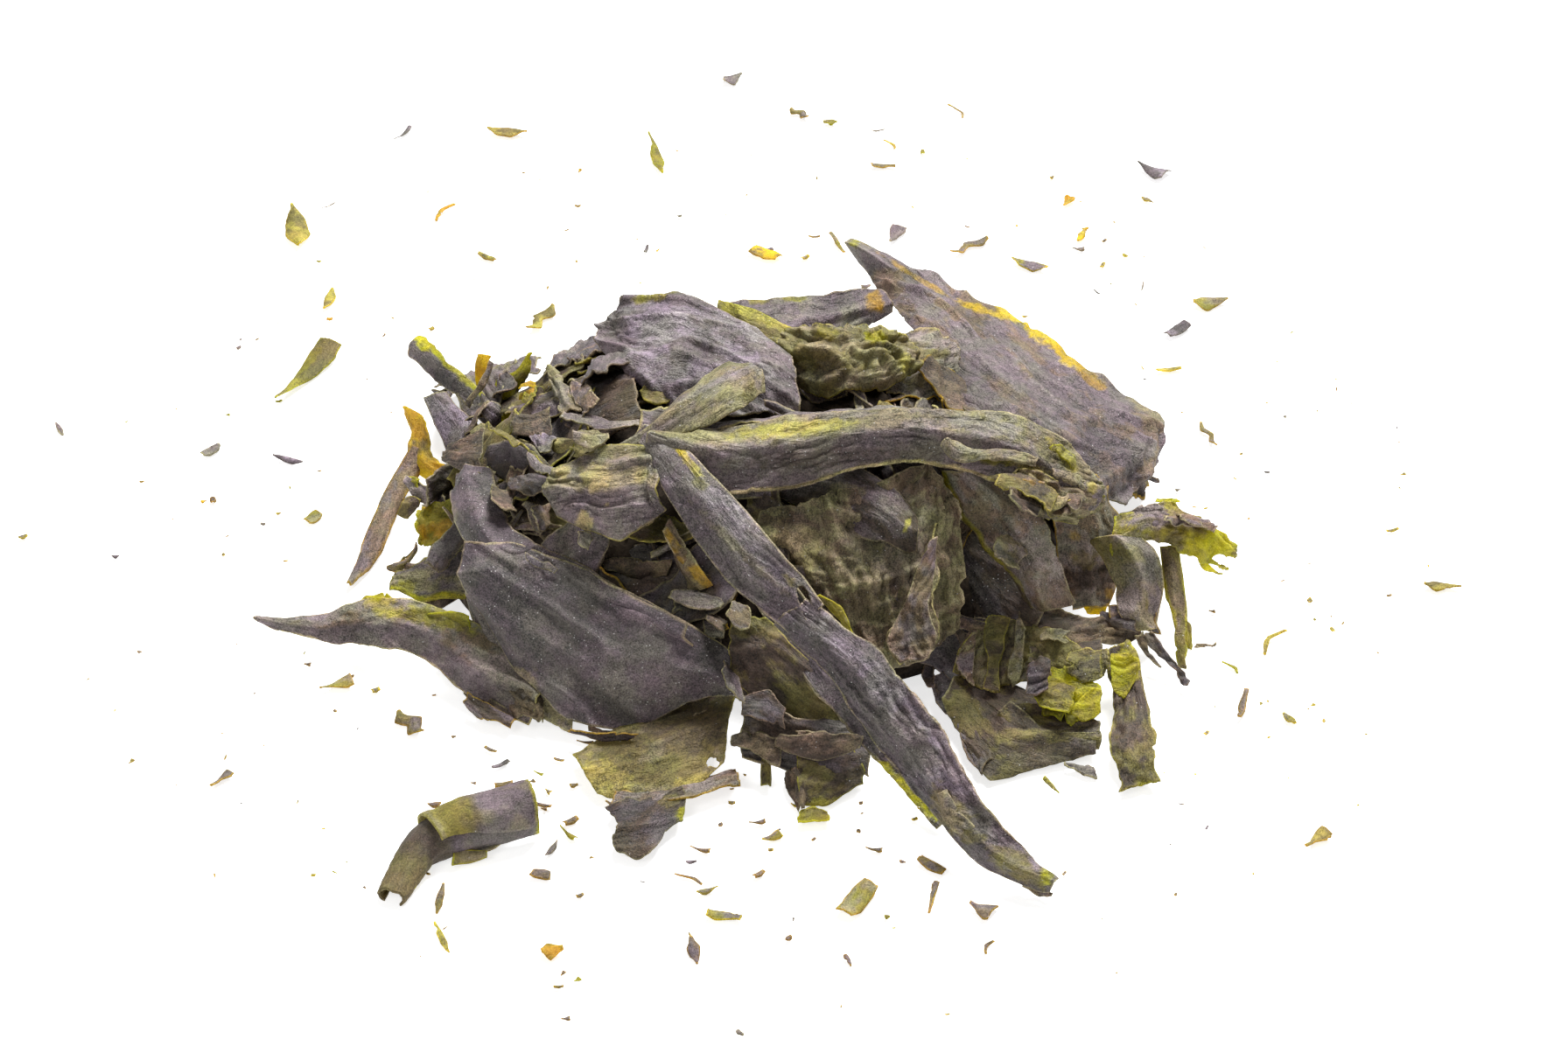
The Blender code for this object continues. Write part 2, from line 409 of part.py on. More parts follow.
def core_solid():
    """The packed leaves inside the heap: half a sphere, drawn out to the core's plan and made lumpy."""
    draw = random.Random(SEED)
    bm = bmesh.new()
    bmesh.ops.create_icosphere(bm, subdivisions=3, radius=1.0)
    bmesh.ops.bisect_plane(bm, geom=bm.verts[:] + bm.edges[:] + bm.faces[:], plane_co=(0.0, 0.0, 0.0),
                           plane_no=(0.0, 0.0, -1.0), clear_outer=True)
    rim = [edge for edge in bm.edges if edge.is_boundary]
    bmesh.ops.contextual_create(bm, geom=rim)
    for vert in bm.verts:
        x = CORE_CENTRE[0] + vert.co.x * CORE_HALF_LENGTH
        y = CORE_CENTRE[1] + vert.co.y * CORE_HALF_DEPTH
        on_floor = vert.co.z < 1e-4
        z = 0.0 if on_floor else max(core_height(x, y) + draw.uniform(-CORE_LUMP, CORE_LUMP), 1.0)
        vert.co = Vector((x, y, z)) * MM
    bmesh.ops.triangulate(bm, faces=bm.faces)
    bmesh.ops.recalc_face_normals(bm, faces=bm.faces)
    return bm


def packed_stations(index, draw):
    """Stations of one small leaf that lies on the core, by the golden angle from its middle outwards."""
    share = math.sqrt(PACKED_INNER_SHARE + (1.0 - PACKED_INNER_SHARE) * (index + 0.5) / PACKED_LEAVES)
    angle = index * GOLDEN_ANGLE
    x = CORE_CENTRE[0] + CORE_HALF_LENGTH * PACKED_REACH * share * math.cos(angle)
    y = CORE_CENTRE[1] + CORE_HALF_DEPTH * PACKED_REACH * share * math.sin(angle)
    here = core_height(x, y)
    fall = (here - core_height(x + SLOPE_STEP, y), here - core_height(x, y + SLOPE_STEP))
    slope = Vector((*fall, SLOPE_STEP)).normalized()
    east, north = draw.uniform(0.0, math.tau), draw.uniform(0.0, math.tau)
    heading = Vector((math.cos(east), math.sin(north), 0.0))
    heading = (heading - slope * heading.dot(slope)).normalized()
    side = slope.cross(heading).normalized()
    tip = draw.uniform(-PACKED_TIP, PACKED_TIP)
    side = (side * math.cos(tip) + slope * math.sin(tip)).normalized()
    length, width = draw.uniform(*PACKED_LENGTH), draw.uniform(*PACKED_WIDTH)
    middle = Vector((x, y, here)) + slope * draw.uniform(*PACKED_SINK)
    stations = []
    for part, wide in PACKED_SHAPE:
        centre = middle + heading * (length * part) + slope * (draw.uniform(*PACKED_ENDS) if part else 0.0)
        stations.append((centre - side * (0.5 * width * wide), centre + side * (0.5 * width * wide)))
    return stations


def keep_largest_piece(thing):
    """Drops loose scraps that the union left outside the heap."""
    bm = bmesh.new()
    bm.from_mesh(thing.data)
    unseen = set(bm.verts)
    pieces = []
    while unseen:
        stack = [unseen.pop()]
        piece = set(stack)
        while stack:
            for edge in stack.pop().link_edges:
                for vert in edge.verts:
                    if vert in unseen:
                        unseen.remove(vert)
                        piece.add(vert)
                        stack.append(vert)
        pieces.append(piece)
    pieces.sort(key=len, reverse=True)
    for piece in pieces[1:]:
        bmesh.ops.delete(bm, geom=list(piece), context="VERTS")
    bm.to_mesh(thing.data)
    bm.free()


def build_heap(collection):
    """The heap: core, leaves that show and packed leaves, joined into one solid."""
    leaves = bpy.data.collections.new("heap_leaves")
    bpy.context.scene.collection.children.link(leaves)
    for name, leaf in LEAVES.items():
        new_object(name, leaf_sheet(name, leaf["stations"], leaf["crown"]), "heap", leaves)
    draw = random.Random(SEED + 1)
    for index in range(PACKED_LEAVES):
        name = f"packed_{index}"
        bm = leaf_sheet(name, packed_stations(index, draw), draw.uniform(*PACKED_CROWN))
        new_object(name, bm, "heap", leaves)
    heap = new_object("wakame_heap", core_solid(), "heap", collection)
    join = heap.modifiers.new("join_leaves", "BOOLEAN")
    join.operation = "UNION"
    join.solver = "MANIFOLD"
    join.operand_type = "COLLECTION"
    join.collection = leaves
    bpy.context.view_layer.update()
    joined = bpy.data.meshes.new_from_object(heap.evaluated_get(bpy.context.evaluated_depsgraph_get()))
    heap.modifiers.clear()
    heap.data = joined
    joined.name = heap.name
    for leaf in list(leaves.objects):
        bpy.data.objects.remove(leaf, do_unlink=True)
    bpy.data.collections.remove(leaves)
    keep_largest_piece(heap)
    return heap


def build_flake(name, spec, collection):
    """One flake on the floor: a fan of uneven sides, lifted in the middle and bent up at its ends."""
    x, y, length, width, turn, tint = spec
    draw = random.Random(name)
    bm = bmesh.new()
    bmesh.ops.create_circle(bm, cap_ends=True, cap_tris=True, segments=FLAKE_SIDES, radius=1.0)
    heading = math.radians(turn)
    ahead = Vector((math.cos(heading), math.sin(heading), 0.0))
    aside = Vector((-ahead.y, ahead.x, 0.0))
    for vert in bm.verts:
        along, across = vert.co.x, vert.co.y
        if vert.co.length > 0.5:
            along *= draw.uniform(*FLAKE_LONG)
            across *= draw.uniform(*FLAKE_WIDE)
        bend = FLAKE_BEND * length * along * along * draw.uniform(0.2, 1.0)
        rise = FLAKE_RISE * width * (1.0 - across * across) + bend
        place = Vector((x, y, rise)) + ahead * (0.5 * length * along) + aside * (0.5 * width * across)
        vert.co = place * MM
    thicken(bm, FLAKE_THICKNESS)
    lowest = min(vert.co.z for vert in bm.verts)
    bmesh.ops.translate(bm, verts=bm.verts, vec=(0.0, 0.0, -lowest))
    return new_object(f"flake_{name}", bm, tint, collection)


def build_rolled_leaf(collection):
    """The rolled leaf: an arc of the roll's section at each station, open below, thickened."""
    bm = bmesh.new()
    centres = [Vector((x, y, high)) for x, y, wide, high in ROLL_STATIONS]
    rings = []
    for index, (x, y, wide, high) in enumerate(ROLL_STATIONS):
        before, after = centres[max(index - 1, 0)], centres[min(index + 1, len(centres) - 1)]
        heading = (after - before).normalized()
        aside = Vector((0.0, 0.0, 1.0)).cross(heading).normalized()
        ring = []
        for step in range(ROLL_SIDES + 1):
            angle = math.radians(270.0 + 0.5 * ROLL_OPENING + (360.0 - ROLL_OPENING) * step / ROLL_SIDES)
            upward = Vector((0.0, 0.0, high * math.sin(angle)))
            ring.append(bm.verts.new((centres[index] + aside * (wide * math.cos(angle)) + upward) * MM))
        rings.append([bm.edges.new((ring[i], ring[i + 1])) for i in range(ROLL_SIDES)])
    for first, second in zip(rings, rings[1:]):
        bmesh.ops.bridge_loops(bm, edges=first + second)
    bmesh.ops.triangulate(bm, faces=bm.faces)
    thicken(bm, ROLL_WALL)
    lowest = min(vert.co.z for vert in bm.verts)
    bmesh.ops.translate(bm, verts=bm.verts, vec=(0.0, 0.0, -lowest))
    return new_object("rolled_leaf", bm, "olive", collection)


def main():
    """Builds the heap, the rolled leaf and the flakes."""
    clear_scene()
    collection = bpy.data.collections.new("dried_wakame")
    bpy.context.scene.collection.children.link(collection)
    build_heap(collection)
    build_rolled_leaf(collection)
    for name, spec in FLAKES.items():
        build_flake(name, spec, collection)


main()
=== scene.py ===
"""Looks of a heap of dried wakame: dry seaweed leaves piled on a white floor, with torn flakes round them.

The leaves lie between the same edges as in the CAD solids. Each is a fine wavy sheet here, with a torn
outline, wrinkles, curled rims and tones of its own, and gets its thickness last. Places along a leaf are
in millimetres until a mesh is written, which is in metres.
"""
import logging
import math
import random
from dataclasses import dataclass, replace
from enum import Enum

import bmesh
import bpy
import numpy as np
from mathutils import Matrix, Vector
from mathutils.bvhtree import BVHTree


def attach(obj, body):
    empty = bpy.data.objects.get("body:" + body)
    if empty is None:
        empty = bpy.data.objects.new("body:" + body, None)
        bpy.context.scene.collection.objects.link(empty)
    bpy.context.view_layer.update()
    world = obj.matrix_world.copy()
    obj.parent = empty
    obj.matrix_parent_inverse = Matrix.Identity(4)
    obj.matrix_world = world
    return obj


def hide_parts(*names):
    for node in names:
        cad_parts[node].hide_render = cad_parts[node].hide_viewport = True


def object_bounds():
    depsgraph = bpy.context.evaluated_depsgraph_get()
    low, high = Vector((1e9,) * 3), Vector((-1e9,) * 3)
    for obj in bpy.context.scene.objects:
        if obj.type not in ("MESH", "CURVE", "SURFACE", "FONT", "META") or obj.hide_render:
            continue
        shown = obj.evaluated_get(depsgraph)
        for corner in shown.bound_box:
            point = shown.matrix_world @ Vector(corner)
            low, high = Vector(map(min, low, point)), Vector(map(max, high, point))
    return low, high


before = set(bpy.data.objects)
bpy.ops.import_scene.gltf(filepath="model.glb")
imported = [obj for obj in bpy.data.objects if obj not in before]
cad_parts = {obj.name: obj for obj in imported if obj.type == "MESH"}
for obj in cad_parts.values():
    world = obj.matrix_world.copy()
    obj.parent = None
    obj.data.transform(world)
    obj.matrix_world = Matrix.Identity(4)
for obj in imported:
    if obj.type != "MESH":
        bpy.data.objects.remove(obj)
CAD_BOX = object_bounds()

LOG = logging.getLogger("wakame")
MM = 0.001
BODY = "root"
HEAP_NODE = "wakame_heap"
HEAP_SLOT = "dark"
ROLL_NODE = "rolled_leaf"
ROLL_SLOT = "olive"
CRUMB_SLOT = "olive"
GOLDEN_ANGLE = math.pi * (3.0 - math.sqrt(5.0))
SEED = 23

Colour = tuple[float, float, float]
Point = tuple[float, float, float]
Stations = tuple[tuple[Point, Point], ...]
Reading = tuple[float, ...]             # a pixel of the photograph, and a height in millimetres if known


# ---------------------------------------------------------------- tones

@dataclass(frozen=True)
class Hue:
    """One tone of dry leaf: its surface colour, the colour of light through it, and how thin it is."""

    surface: Colour
    glow: Colour
    thin: float


class Tone(Enum):
    """The tones that the leaves show, linear RGB."""

    CHARCOAL = Hue((0.078, 0.065, 0.067), (0.20, 0.15, 0.11), 0.04)
    PLUM = Hue((0.130, 0.106, 0.108), (0.34, 0.25, 0.16), 0.07)
    # LILAC is also laid as a painted highlight where a leaf faces the light.
    LILAC = Hue((0.208, 0.178, 0.202), (0.40, 0.32, 0.26), 0.06)
    GREY = Hue((0.190, 0.165, 0.138), (0.42, 0.36, 0.18), 0.10)
    KHAKI = Hue((0.218, 0.188, 0.100), (0.50, 0.43, 0.13), 0.16)
    SAND = Hue((0.440, 0.370, 0.160), (0.70, 0.58, 0.16), 0.25)
    OLIVE = Hue((0.170, 0.143, 0.048), (0.52, 0.43, 0.07), 0.26)
    MOSS = Hue((0.255, 0.228, 0.032), (0.66, 0.59, 0.04), 0.34)
    CITRON = Hue((0.380, 0.330, 0.070), (0.70, 0.62, 0.08), 0.30)
    LIME = Hue((0.440, 0.420, 0.030), (0.82, 0.78, 0.04), 0.52)
    YELLOW = Hue((0.640, 0.500, 0.045), (0.98, 0.80, 0.06), 0.60)
    AMBER = Hue((0.430, 0.290, 0.042), (0.92, 0.64, 0.06), 0.50)
    BROWN = Hue((0.158, 0.112, 0.070), (0.46, 0.30, 0.11), 0.12)
    # UMBER is the dark brown of the heap's deep gaps; on leaves that lie in them it is partly painted shade.
    UMBER = Hue((0.062, 0.044, 0.028), (0.24, 0.16, 0.06), 0.08)
    STRAW = Hue((0.330, 0.280, 0.165), (0.70, 0.58, 0.24), 0.25)


# ---------------------------------------------------------------- small tools

def ripple(x: np.ndarray, y: np.ndarray, seed: int) -> np.ndarray:
    """Smooth noise over a plane, with cells one unit wide.

    Args:
        x: First coordinate of each place.
        y: Second coordinate of each place.
        seed: Picks one pattern out of many.

    Returns:
        A value between about -1 and 1 for each place.
    """
    cell_x, cell_y = np.floor(x), np.floor(y)
    part_x, part_y = x - cell_x, y - cell_y

    def corner(step_x: int, step_y: int) -> np.ndarray:
        """The slope that starts at one corner of each cell, at each place."""
        key = (cell_x.astype(np.int64) + step_x) * 374761393
        key += (cell_y.astype(np.int64) + step_y) * 668265263
        key = (key + seed * 2654435761) & 0xFFFFFFFF
        key = ((key ^ (key >> 13)) * 1274126177) & 0xFFFFFFFF
        turn = (key ^ (key >> 16)) * (math.tau / 2 ** 32)
        return np.cos(turn) * (part_x - step_x) + np.sin(turn) * (part_y - step_y)

    ease_x = part_x ** 3 * (part_x * (part_x * 6.0 - 15.0) + 10.0)
    ease_y = part_y ** 3 * (part_y * (part_y * 6.0 - 15.0) + 10.0)
    low = corner(0, 0) * (1.0 - ease_x) + corner(1, 0) * ease_x
    high = corner(0, 1) * (1.0 - ease_x) + corner(1, 1) * ease_x
    return 1.5 * (low * (1.0 - ease_y) + high * ease_y)


def ridges(x: np.ndarray, y: np.ndarray, seed: int) -> np.ndarray:
    """Noise with sharp crests, for creases, from about -1 to 1."""
    return 1.0 - 2.4 * np.abs(ripple(x, y, seed))


def crests(noise: np.ndarray, steep: float) -> np.ndarray:
    """Separate crests, from 0 to 1, where noise passes through zero."""
    return np.clip(1.0 - steep * np.abs(noise), 0.0, 1.0)


def ease(start: float, end: float, value: np.ndarray) -> np.ndarray:
    """A smooth step from 0 at start to 1 at end."""
    share = np.clip((value - start) / (end - start), 0.0, 1.0)
    return share * share * (3.0 - 2.0 * share)


def along_edge(points: np.ndarray, share: np.ndarray) -> np.ndarray:
    """Places along a smooth curve through an edge's points.

    Args:
        points: The points of the edge, one row each.
        share: How far along each place lies, 0 to 1.

    Returns:
        One row for each place.
    """
    place = share * (len(points) - 1)
    step = np.clip(np.floor(place).astype(int), 0, len(points) - 2)
    t = (place - step)[:, None]
    before, start = points[np.maximum(step - 1, 0)], points[step]
    end, after = points[step + 1], points[np.minimum(step + 2, len(points) - 1)]
    lean_in, lean_out = (end - before) * 0.5, (after - start) * 0.5
    return (start * (2 * t ** 3 - 3 * t ** 2 + 1) + lean_in * (t ** 3 - 2 * t ** 2 + t)
            + end * (3 * t ** 2 - 2 * t ** 3) + lean_out * (t ** 3 - t ** 2))


def jags(place: np.ndarray, seed: int) -> np.ndarray:
    """Noise along a line with straight runs and sharp corners, 0 to 1, one corner for each unit or so."""
    step = np.floor(place).astype(np.int64)

    def level(knot: np.ndarray) -> np.ndarray:
        """The chance height of each corner."""
        key = (knot * 2246822519 + seed * 3266489917) & 0xFFFFFFFF
        key = ((key ^ (key >> 15)) * 668265263) & 0xFFFFFFFF
        return (key ^ (key >> 14)) / 2.0 ** 32

    bend = 0.25 + 0.5 * level(step + 7919)
    share = place - step
    share = np.where(share < bend, 0.5 * share / bend, 0.5 + 0.5 * (share - bend) / (1.0 - bend))
    return level(step) * (1.0 - share) + level(step + 1) * share


def torn(place: np.ndarray, depth: float, seed: int) -> np.ndarray:
    """How far a torn edge lies inside its clean line.

    Args:
        place: Places along the edge, in millimetres.
        depth: About how deep the tears go, in millimetres.
        seed: Picks one edge out of many.

    Returns:
        The depth at each place, in millimetres.
    """
    level = np.zeros_like(place)
    swell = np.clip(0.45 + ripple(place / 9.0, level, seed), 0.0, 1.2)
    patch = np.clip(0.55 + 1.1 * ripple(place / 14.0, level, seed + 3), 0.15, 1.1)
    teeth = jags(place / 2.3, seed + 1) * patch
    nicks = jags(place / 0.9, seed + 2) * patch
    cleft = np.clip(3.0 * ripple(place / 3.4, level, seed + 4) - 1.5, 0.0, 1.0) ** 2
    return depth * (0.9 * swell + 0.75 * teeth + 0.32 * nicks + 1.6 * cleft)


def unit(rows: np.ndarray) -> np.ndarray:
    """Each row brought to length one."""
    return rows / np.maximum(np.linalg.norm(rows, axis=-1, keepdims=True), 1e-9)


def mesh_object(name: str, bm: bmesh.types.BMesh, material: bpy.types.Material) -> bpy.types.Object:
    """Turns a bmesh into an object of the scene and frees it.

    Args:
        name: Of the object and its mesh.
        bm: What it is made of.
        material: Its one material.

    Returns:
        The object.
    """
    mesh = bpy.data.meshes.new(name)
    bm.to_mesh(mesh)
    bm.free()
    mesh.materials.append(material)
    thing = bpy.data.objects.new(name, mesh)
    bpy.context.scene.collection.objects.link(thing)
    return thing


def own(thing: bpy.types.Object, slot: str, *nodes: str) -> bpy.types.Object:
    """Ties a piece to the frame.

    Args:
        thing: The piece.
        slot: The record's material slot; not used.
        *nodes: The CAD nodes that it stands for.

    Returns:
        The piece.
    """
    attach(thing, BODY)
    if nodes:
        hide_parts(*nodes)
    return thing


# ---------------------------------------------------------------- the photograph's view

@dataclass(frozen=True)
class PhotoView:
    """The viewpoint of the photograph, which also says where a mark seen in it lies on a leaf."""

    width: int = 1792
    height: int = 1196
    elevation: float = 40.0
    distance: float = 0.62
    lens: float = 72.0
    sensor: float = 36.0
    target: Point = (0.0103, -0.017, 0.0)

    def ahead(self) -> np.ndarray:
        """The direction in which the camera looks."""
        tilt = math.radians(self.elevation)
        return np.array((0.0, math.cos(tilt), -math.sin(tilt)))

    def upward(self) -> np.ndarray:
        """The direction that is up in the picture."""
        tilt = math.radians(self.elevation)
        return np.array((0.0, math.sin(tilt), math.cos(tilt)))

    def scale(self) -> float:
        """Pixels for each metre across, one metre from the camera."""
        return self.lens / self.sensor * self.width

    def eye(self) -> np.ndarray:
        """The camera's place, in metres."""
        return np.array(self.target) - self.ahead() * self.distance

    def ray(self, column: float, row: float) -> np.ndarray:
        """The direction from the camera to what shows at a pixel."""
        aside = (column - self.width / 2) / self.scale()
        above = (self.height / 2 - row) / self.scale()
        return self.ahead() + np.array((aside, 0.0, 0.0)) + self.upward() * above

    def at_height(self, column: float, row: float, height: float) -> np.ndarray:
        """The place, in millimetres, that shows at a pixel and lies at a height of some millimetres."""
        eye, ray = self.eye(), self.ray(column, row)
        return (eye + ray * ((height * MM - eye[2]) / ray[2])) / MM

    def pixels(self, places: np.ndarray) -> tuple[np.ndarray, np.ndarray]:
        """Where places show in the photograph.

        Args:
            places: Rows of x, y and z, in millimetres.

        Returns:
            The column and the row of each place, in pixels.
        """
        offset = places * MM - np.array(self.target)
        pixels_per_metre = self.scale() / (self.distance + offset @ self.ahead())
        columns = self.width / 2 + pixels_per_metre * offset[:, 0]
        return columns, self.height / 2 - pixels_per_metre * (offset @ self.upward())

    def add_camera(self) -> bpy.types.Object:
        """Makes the camera at this viewpoint and gives it to the scene."""
        lens = bpy.data.cameras.new("photo_view")
        lens.lens, lens.sensor_width = self.lens, self.sensor
        camera = bpy.data.objects.new("photo_view", lens)
        camera.location = self.eye()
        camera.rotation_euler = (math.radians(90.0 - self.elevation), 0.0, 0.0)
        bpy.context.scene.collection.objects.link(camera)
        bpy.context.scene.camera = camera
        return camera


VIEW = PhotoView()


# ---------------------------------------------------------------- finishes

class Nodes:
    """Adds and joins the nodes of one material, group or world."""

    def __init__(self, tree: bpy.types.NodeTree) -> None:
        """Takes the tree and empties it."""
        self.tree = tree
        tree.nodes.clear()

    def add(self, kind: str, settings: dict[str, object] | None = None, **values: object) -> bpy.types.Node:
        """Adds one node.

        Args:
            kind: The node's type, without the word ShaderNode in front.
            settings: Properties of the node itself.
            **values: Socket values by name, with _ for a space, or by i and the socket's number; a socket
                given as a value is linked instead.

        Returns:
            The node.
        """
        node = self.tree.nodes.new(kind if kind.startswith("Node") else "ShaderNode" + kind)
        for name, value in (settings or {}).items():
            setattr(node, name, value)
        for name, value in values.items():
            by_number = name[0] == "i" and name[1:].isdigit()
            socket = node.inputs[int(name[1:]) if by_number else name.replace("_", " ")]
            if isinstance(value, bpy.types.NodeSocket):
                self.tree.links.new(value, socket)
            else:
                socket.default_value = value
        return node

    def ramp(self, source: bpy.types.NodeSocket, start: float, end: float, low: float,
             high: float) -> bpy.types.NodeSocket:
        """A value that goes smoothly from low to high while the source goes from start to end."""
        return self.add("MapRange", {"interpolation_type": "SMOOTHSTEP"}, i0=source, i1=start, i2=end, i3=low,
                        i4=high).outputs[0]

    def math(self, what: str, first: object, second: object = 0.0) -> bpy.types.NodeSocket:
        """The result of one sum on two values or sockets."""
        return self.add("Math", {"operation": what}, i0=first, i1=second).outputs[0]

    def mix(self, share: object, first: object, second: object, how: str = "MIX") -> bpy.types.NodeSocket:
        """Two colours mixed."""
        node = self.add("Mix", {"data_type": "RGBA", "blend_type": how}, i0=share, i6=first, i7=second)
        return node.outputs[2]


def grain_group() -> bpy.types.NodeTree:
    """The grain that every dry leaf shares: wrinkles along it, creases, pores, dust and grains of salt.

    Returns:
        A group with Shade, Salt, Height and Tint as its outputs, made once.
    """
    tree = bpy.data.node_groups.get("dry_grain")
    if tree is not None:
        return tree
    tree = bpy.data.node_groups.new("dry_grain", "ShaderNodeTree")
    for name in ("Streaks", "Creases", "Mottling", "Salt"):
        tree.interface.new_socket(name, in_out="INPUT", socket_type="NodeSocketFloat").default_value = 1.0
    for name in ("Shade", "Salt", "Height", "Tint"):
        tree.interface.new_socket(name, in_out="OUTPUT", socket_type="NodeSocketFloat")
    nodes = Nodes(tree)
    given = nodes.add("NodeGroupInput")
    sheet = nodes.add("Attribute", {"attribute_name": "sheet"}).outputs["Vector"]
    place = nodes.add("TexCoord").outputs["Object"]
    ridged = {"noise_type": "RIDGED_MULTIFRACTAL", "normalize": False}

    # The sheet's own grid, bent a little, carries what runs along the leaf.
    slow = nodes.add("Mapping", i0=sheet, i3=(0.12, 0.2, 1.0)).outputs[0]
    drift = nodes.add("TexNoise", i2=1.0, i3=2.0, i4=0.5, Vector=slow).outputs[1]
    push = nodes.add("VectorMath", {"operation": "SCALE"}, i0=drift, Scale=3.0).outputs[0]
    bent = nodes.add("VectorMath", {"operation": "ADD"}, i0=sheet, i1=push).outputs[0]
    lanes = nodes.add("Mapping", i0=bent, i3=(0.11, 0.62, 1.0)).outputs[0]
    wrinkles = nodes.add("TexNoise", ridged, i2=1.0, i3=5.0, i4=0.62, i5=2.2, i6=0.85, i7=1.6,
                         Vector=lanes).outputs[0]
    wrinkles = nodes.ramp(wrinkles, 0.25, 1.75, 0.0, 1.0)
    threads = nodes.add("Mapping", i0=bent, i3=(0.9, 4.2, 1.0)).outputs[0]
    fibre = nodes.add("TexNoise", i2=1.0, i3=3.0, i4=0.6, Vector=threads).outputs[0]
    cells = nodes.add("Mapping", i0=bent, i3=(0.17, 0.36, 1.0)).outputs[0]
    kink = nodes.add("TexNoise", i2=2.2, i3=3.0, i4=0.6, Vector=cells).outputs[1]
    kinked = nodes.add("VectorMath", {"operation": "ADD"}, i0=cells, i1=kink).outputs[0]
    creases = nodes.add("TexVoronoi", {"feature": "DISTANCE_TO_EDGE"}, Vector=kinked, Scale=1.0).outputs[0]
    creases = nodes.ramp(creases, 0.0, 0.13, 1.0, 0.0)

    # Grain that has no direction, in three sizes.
    cloud = nodes.add("TexNoise", i2=75.0, i3=4.0, i4=0.6, Vector=place).outputs[0]
    leather = nodes.add("TexNoise", i2=800.0, i3=4.0, i4=0.7, Vector=place).outputs[0]
    pores = nodes.add("TexNoise", i2=3400.0, i3=3.0, i4=0.7, Vector=place).outputs[0]

    # How light or dark it all makes the leaf. The streaks and mottling are its own tone, but the streaks
    # follow the wrinkles' height, so they are partly painted shade too.
    along = nodes.math("ADD", nodes.ramp(wrinkles, 0.15, 0.75, -0.30, 0.34),
                       nodes.ramp(fibre, 0.32, 0.68, -0.20, 0.20))
    along = nodes.math("MULTIPLY", along, given.outputs["Streaks"])
    patchy = nodes.math("ADD", nodes.ramp(cloud, 0.34, 0.66, -0.16, 0.16),
                        nodes.ramp(leather, 0.34, 0.66, -0.16, 0.16))
    patchy = nodes.math("ADD", patchy, nodes.ramp(pores, 0.34, 0.66, -0.42, 0.42))
    patchy = nodes.math("MULTIPLY", patchy, given.outputs["Mottling"])
    # Painted shade: the crease lines, sunk in the bump below, are darkened.
    cut = nodes.math("MULTIPLY", creases, nodes.math("MULTIPLY", given.outputs["Creases"], -0.30))
    shade = nodes.math("ADD", nodes.math("ADD", along, patchy), nodes.math("ADD", cut, 1.04))
    shade = nodes.math("MAXIMUM", shade, 0.14)

    # Grains of salt, closer together in some patches.
    specks = nodes.add("TexVoronoi", {"feature": "F1"}, Vector=place, Scale=1500.0)
    grain = nodes.ramp(specks.outputs["Distance"], 0.10, 0.22, 1.0, 0.0)
    patches = nodes.add("TexNoise", i2=90.0, i3=3.0, i4=0.6, Vector=place).outputs[0]
    parts = nodes.add("SeparateColor", i0=specks.outputs["Color"])
    share = nodes.math("MULTIPLY", nodes.ramp(patches, 0.42, 0.68, 0.05, 0.50), given.outputs["Salt"])
    salt = nodes.math("MULTIPLY", grain, nodes.math("LESS_THAN", parts.outputs[0], share))
    salt = nodes.math("MULTIPLY", salt, nodes.ramp(parts.outputs[1], 0.0, 1.0, 0.12, 0.95))

    # The height of it all, and a slow change of tint.
    height = nodes.math("ADD", nodes.math("MULTIPLY", wrinkles, 1.5), nodes.math("MULTIPLY", fibre, 0.3))
    height = nodes.math("MULTIPLY", height, given.outputs["Streaks"])
    sunk = nodes.math("MULTIPLY", creases, nodes.math("MULTIPLY", given.outputs["Creases"], -0.55))
    height = nodes.math("ADD", height, nodes.math("ADD", nodes.math("MULTIPLY", leather, 0.40), sunk))
    height = nodes.math("ADD", height, nodes.math("MULTIPLY", pores, 0.22))
    slow_tint = nodes.add("TexNoise", i2=140.0, i3=4.0, i4=0.65, Vector=place).outputs[0]
    tint = nodes.ramp(slow_tint, 0.36, 0.64, 0.0, 1.0)
    nodes.add("NodeGroupOutput", i0=shade, i1=salt, i2=height, i3=tint)
    return tree


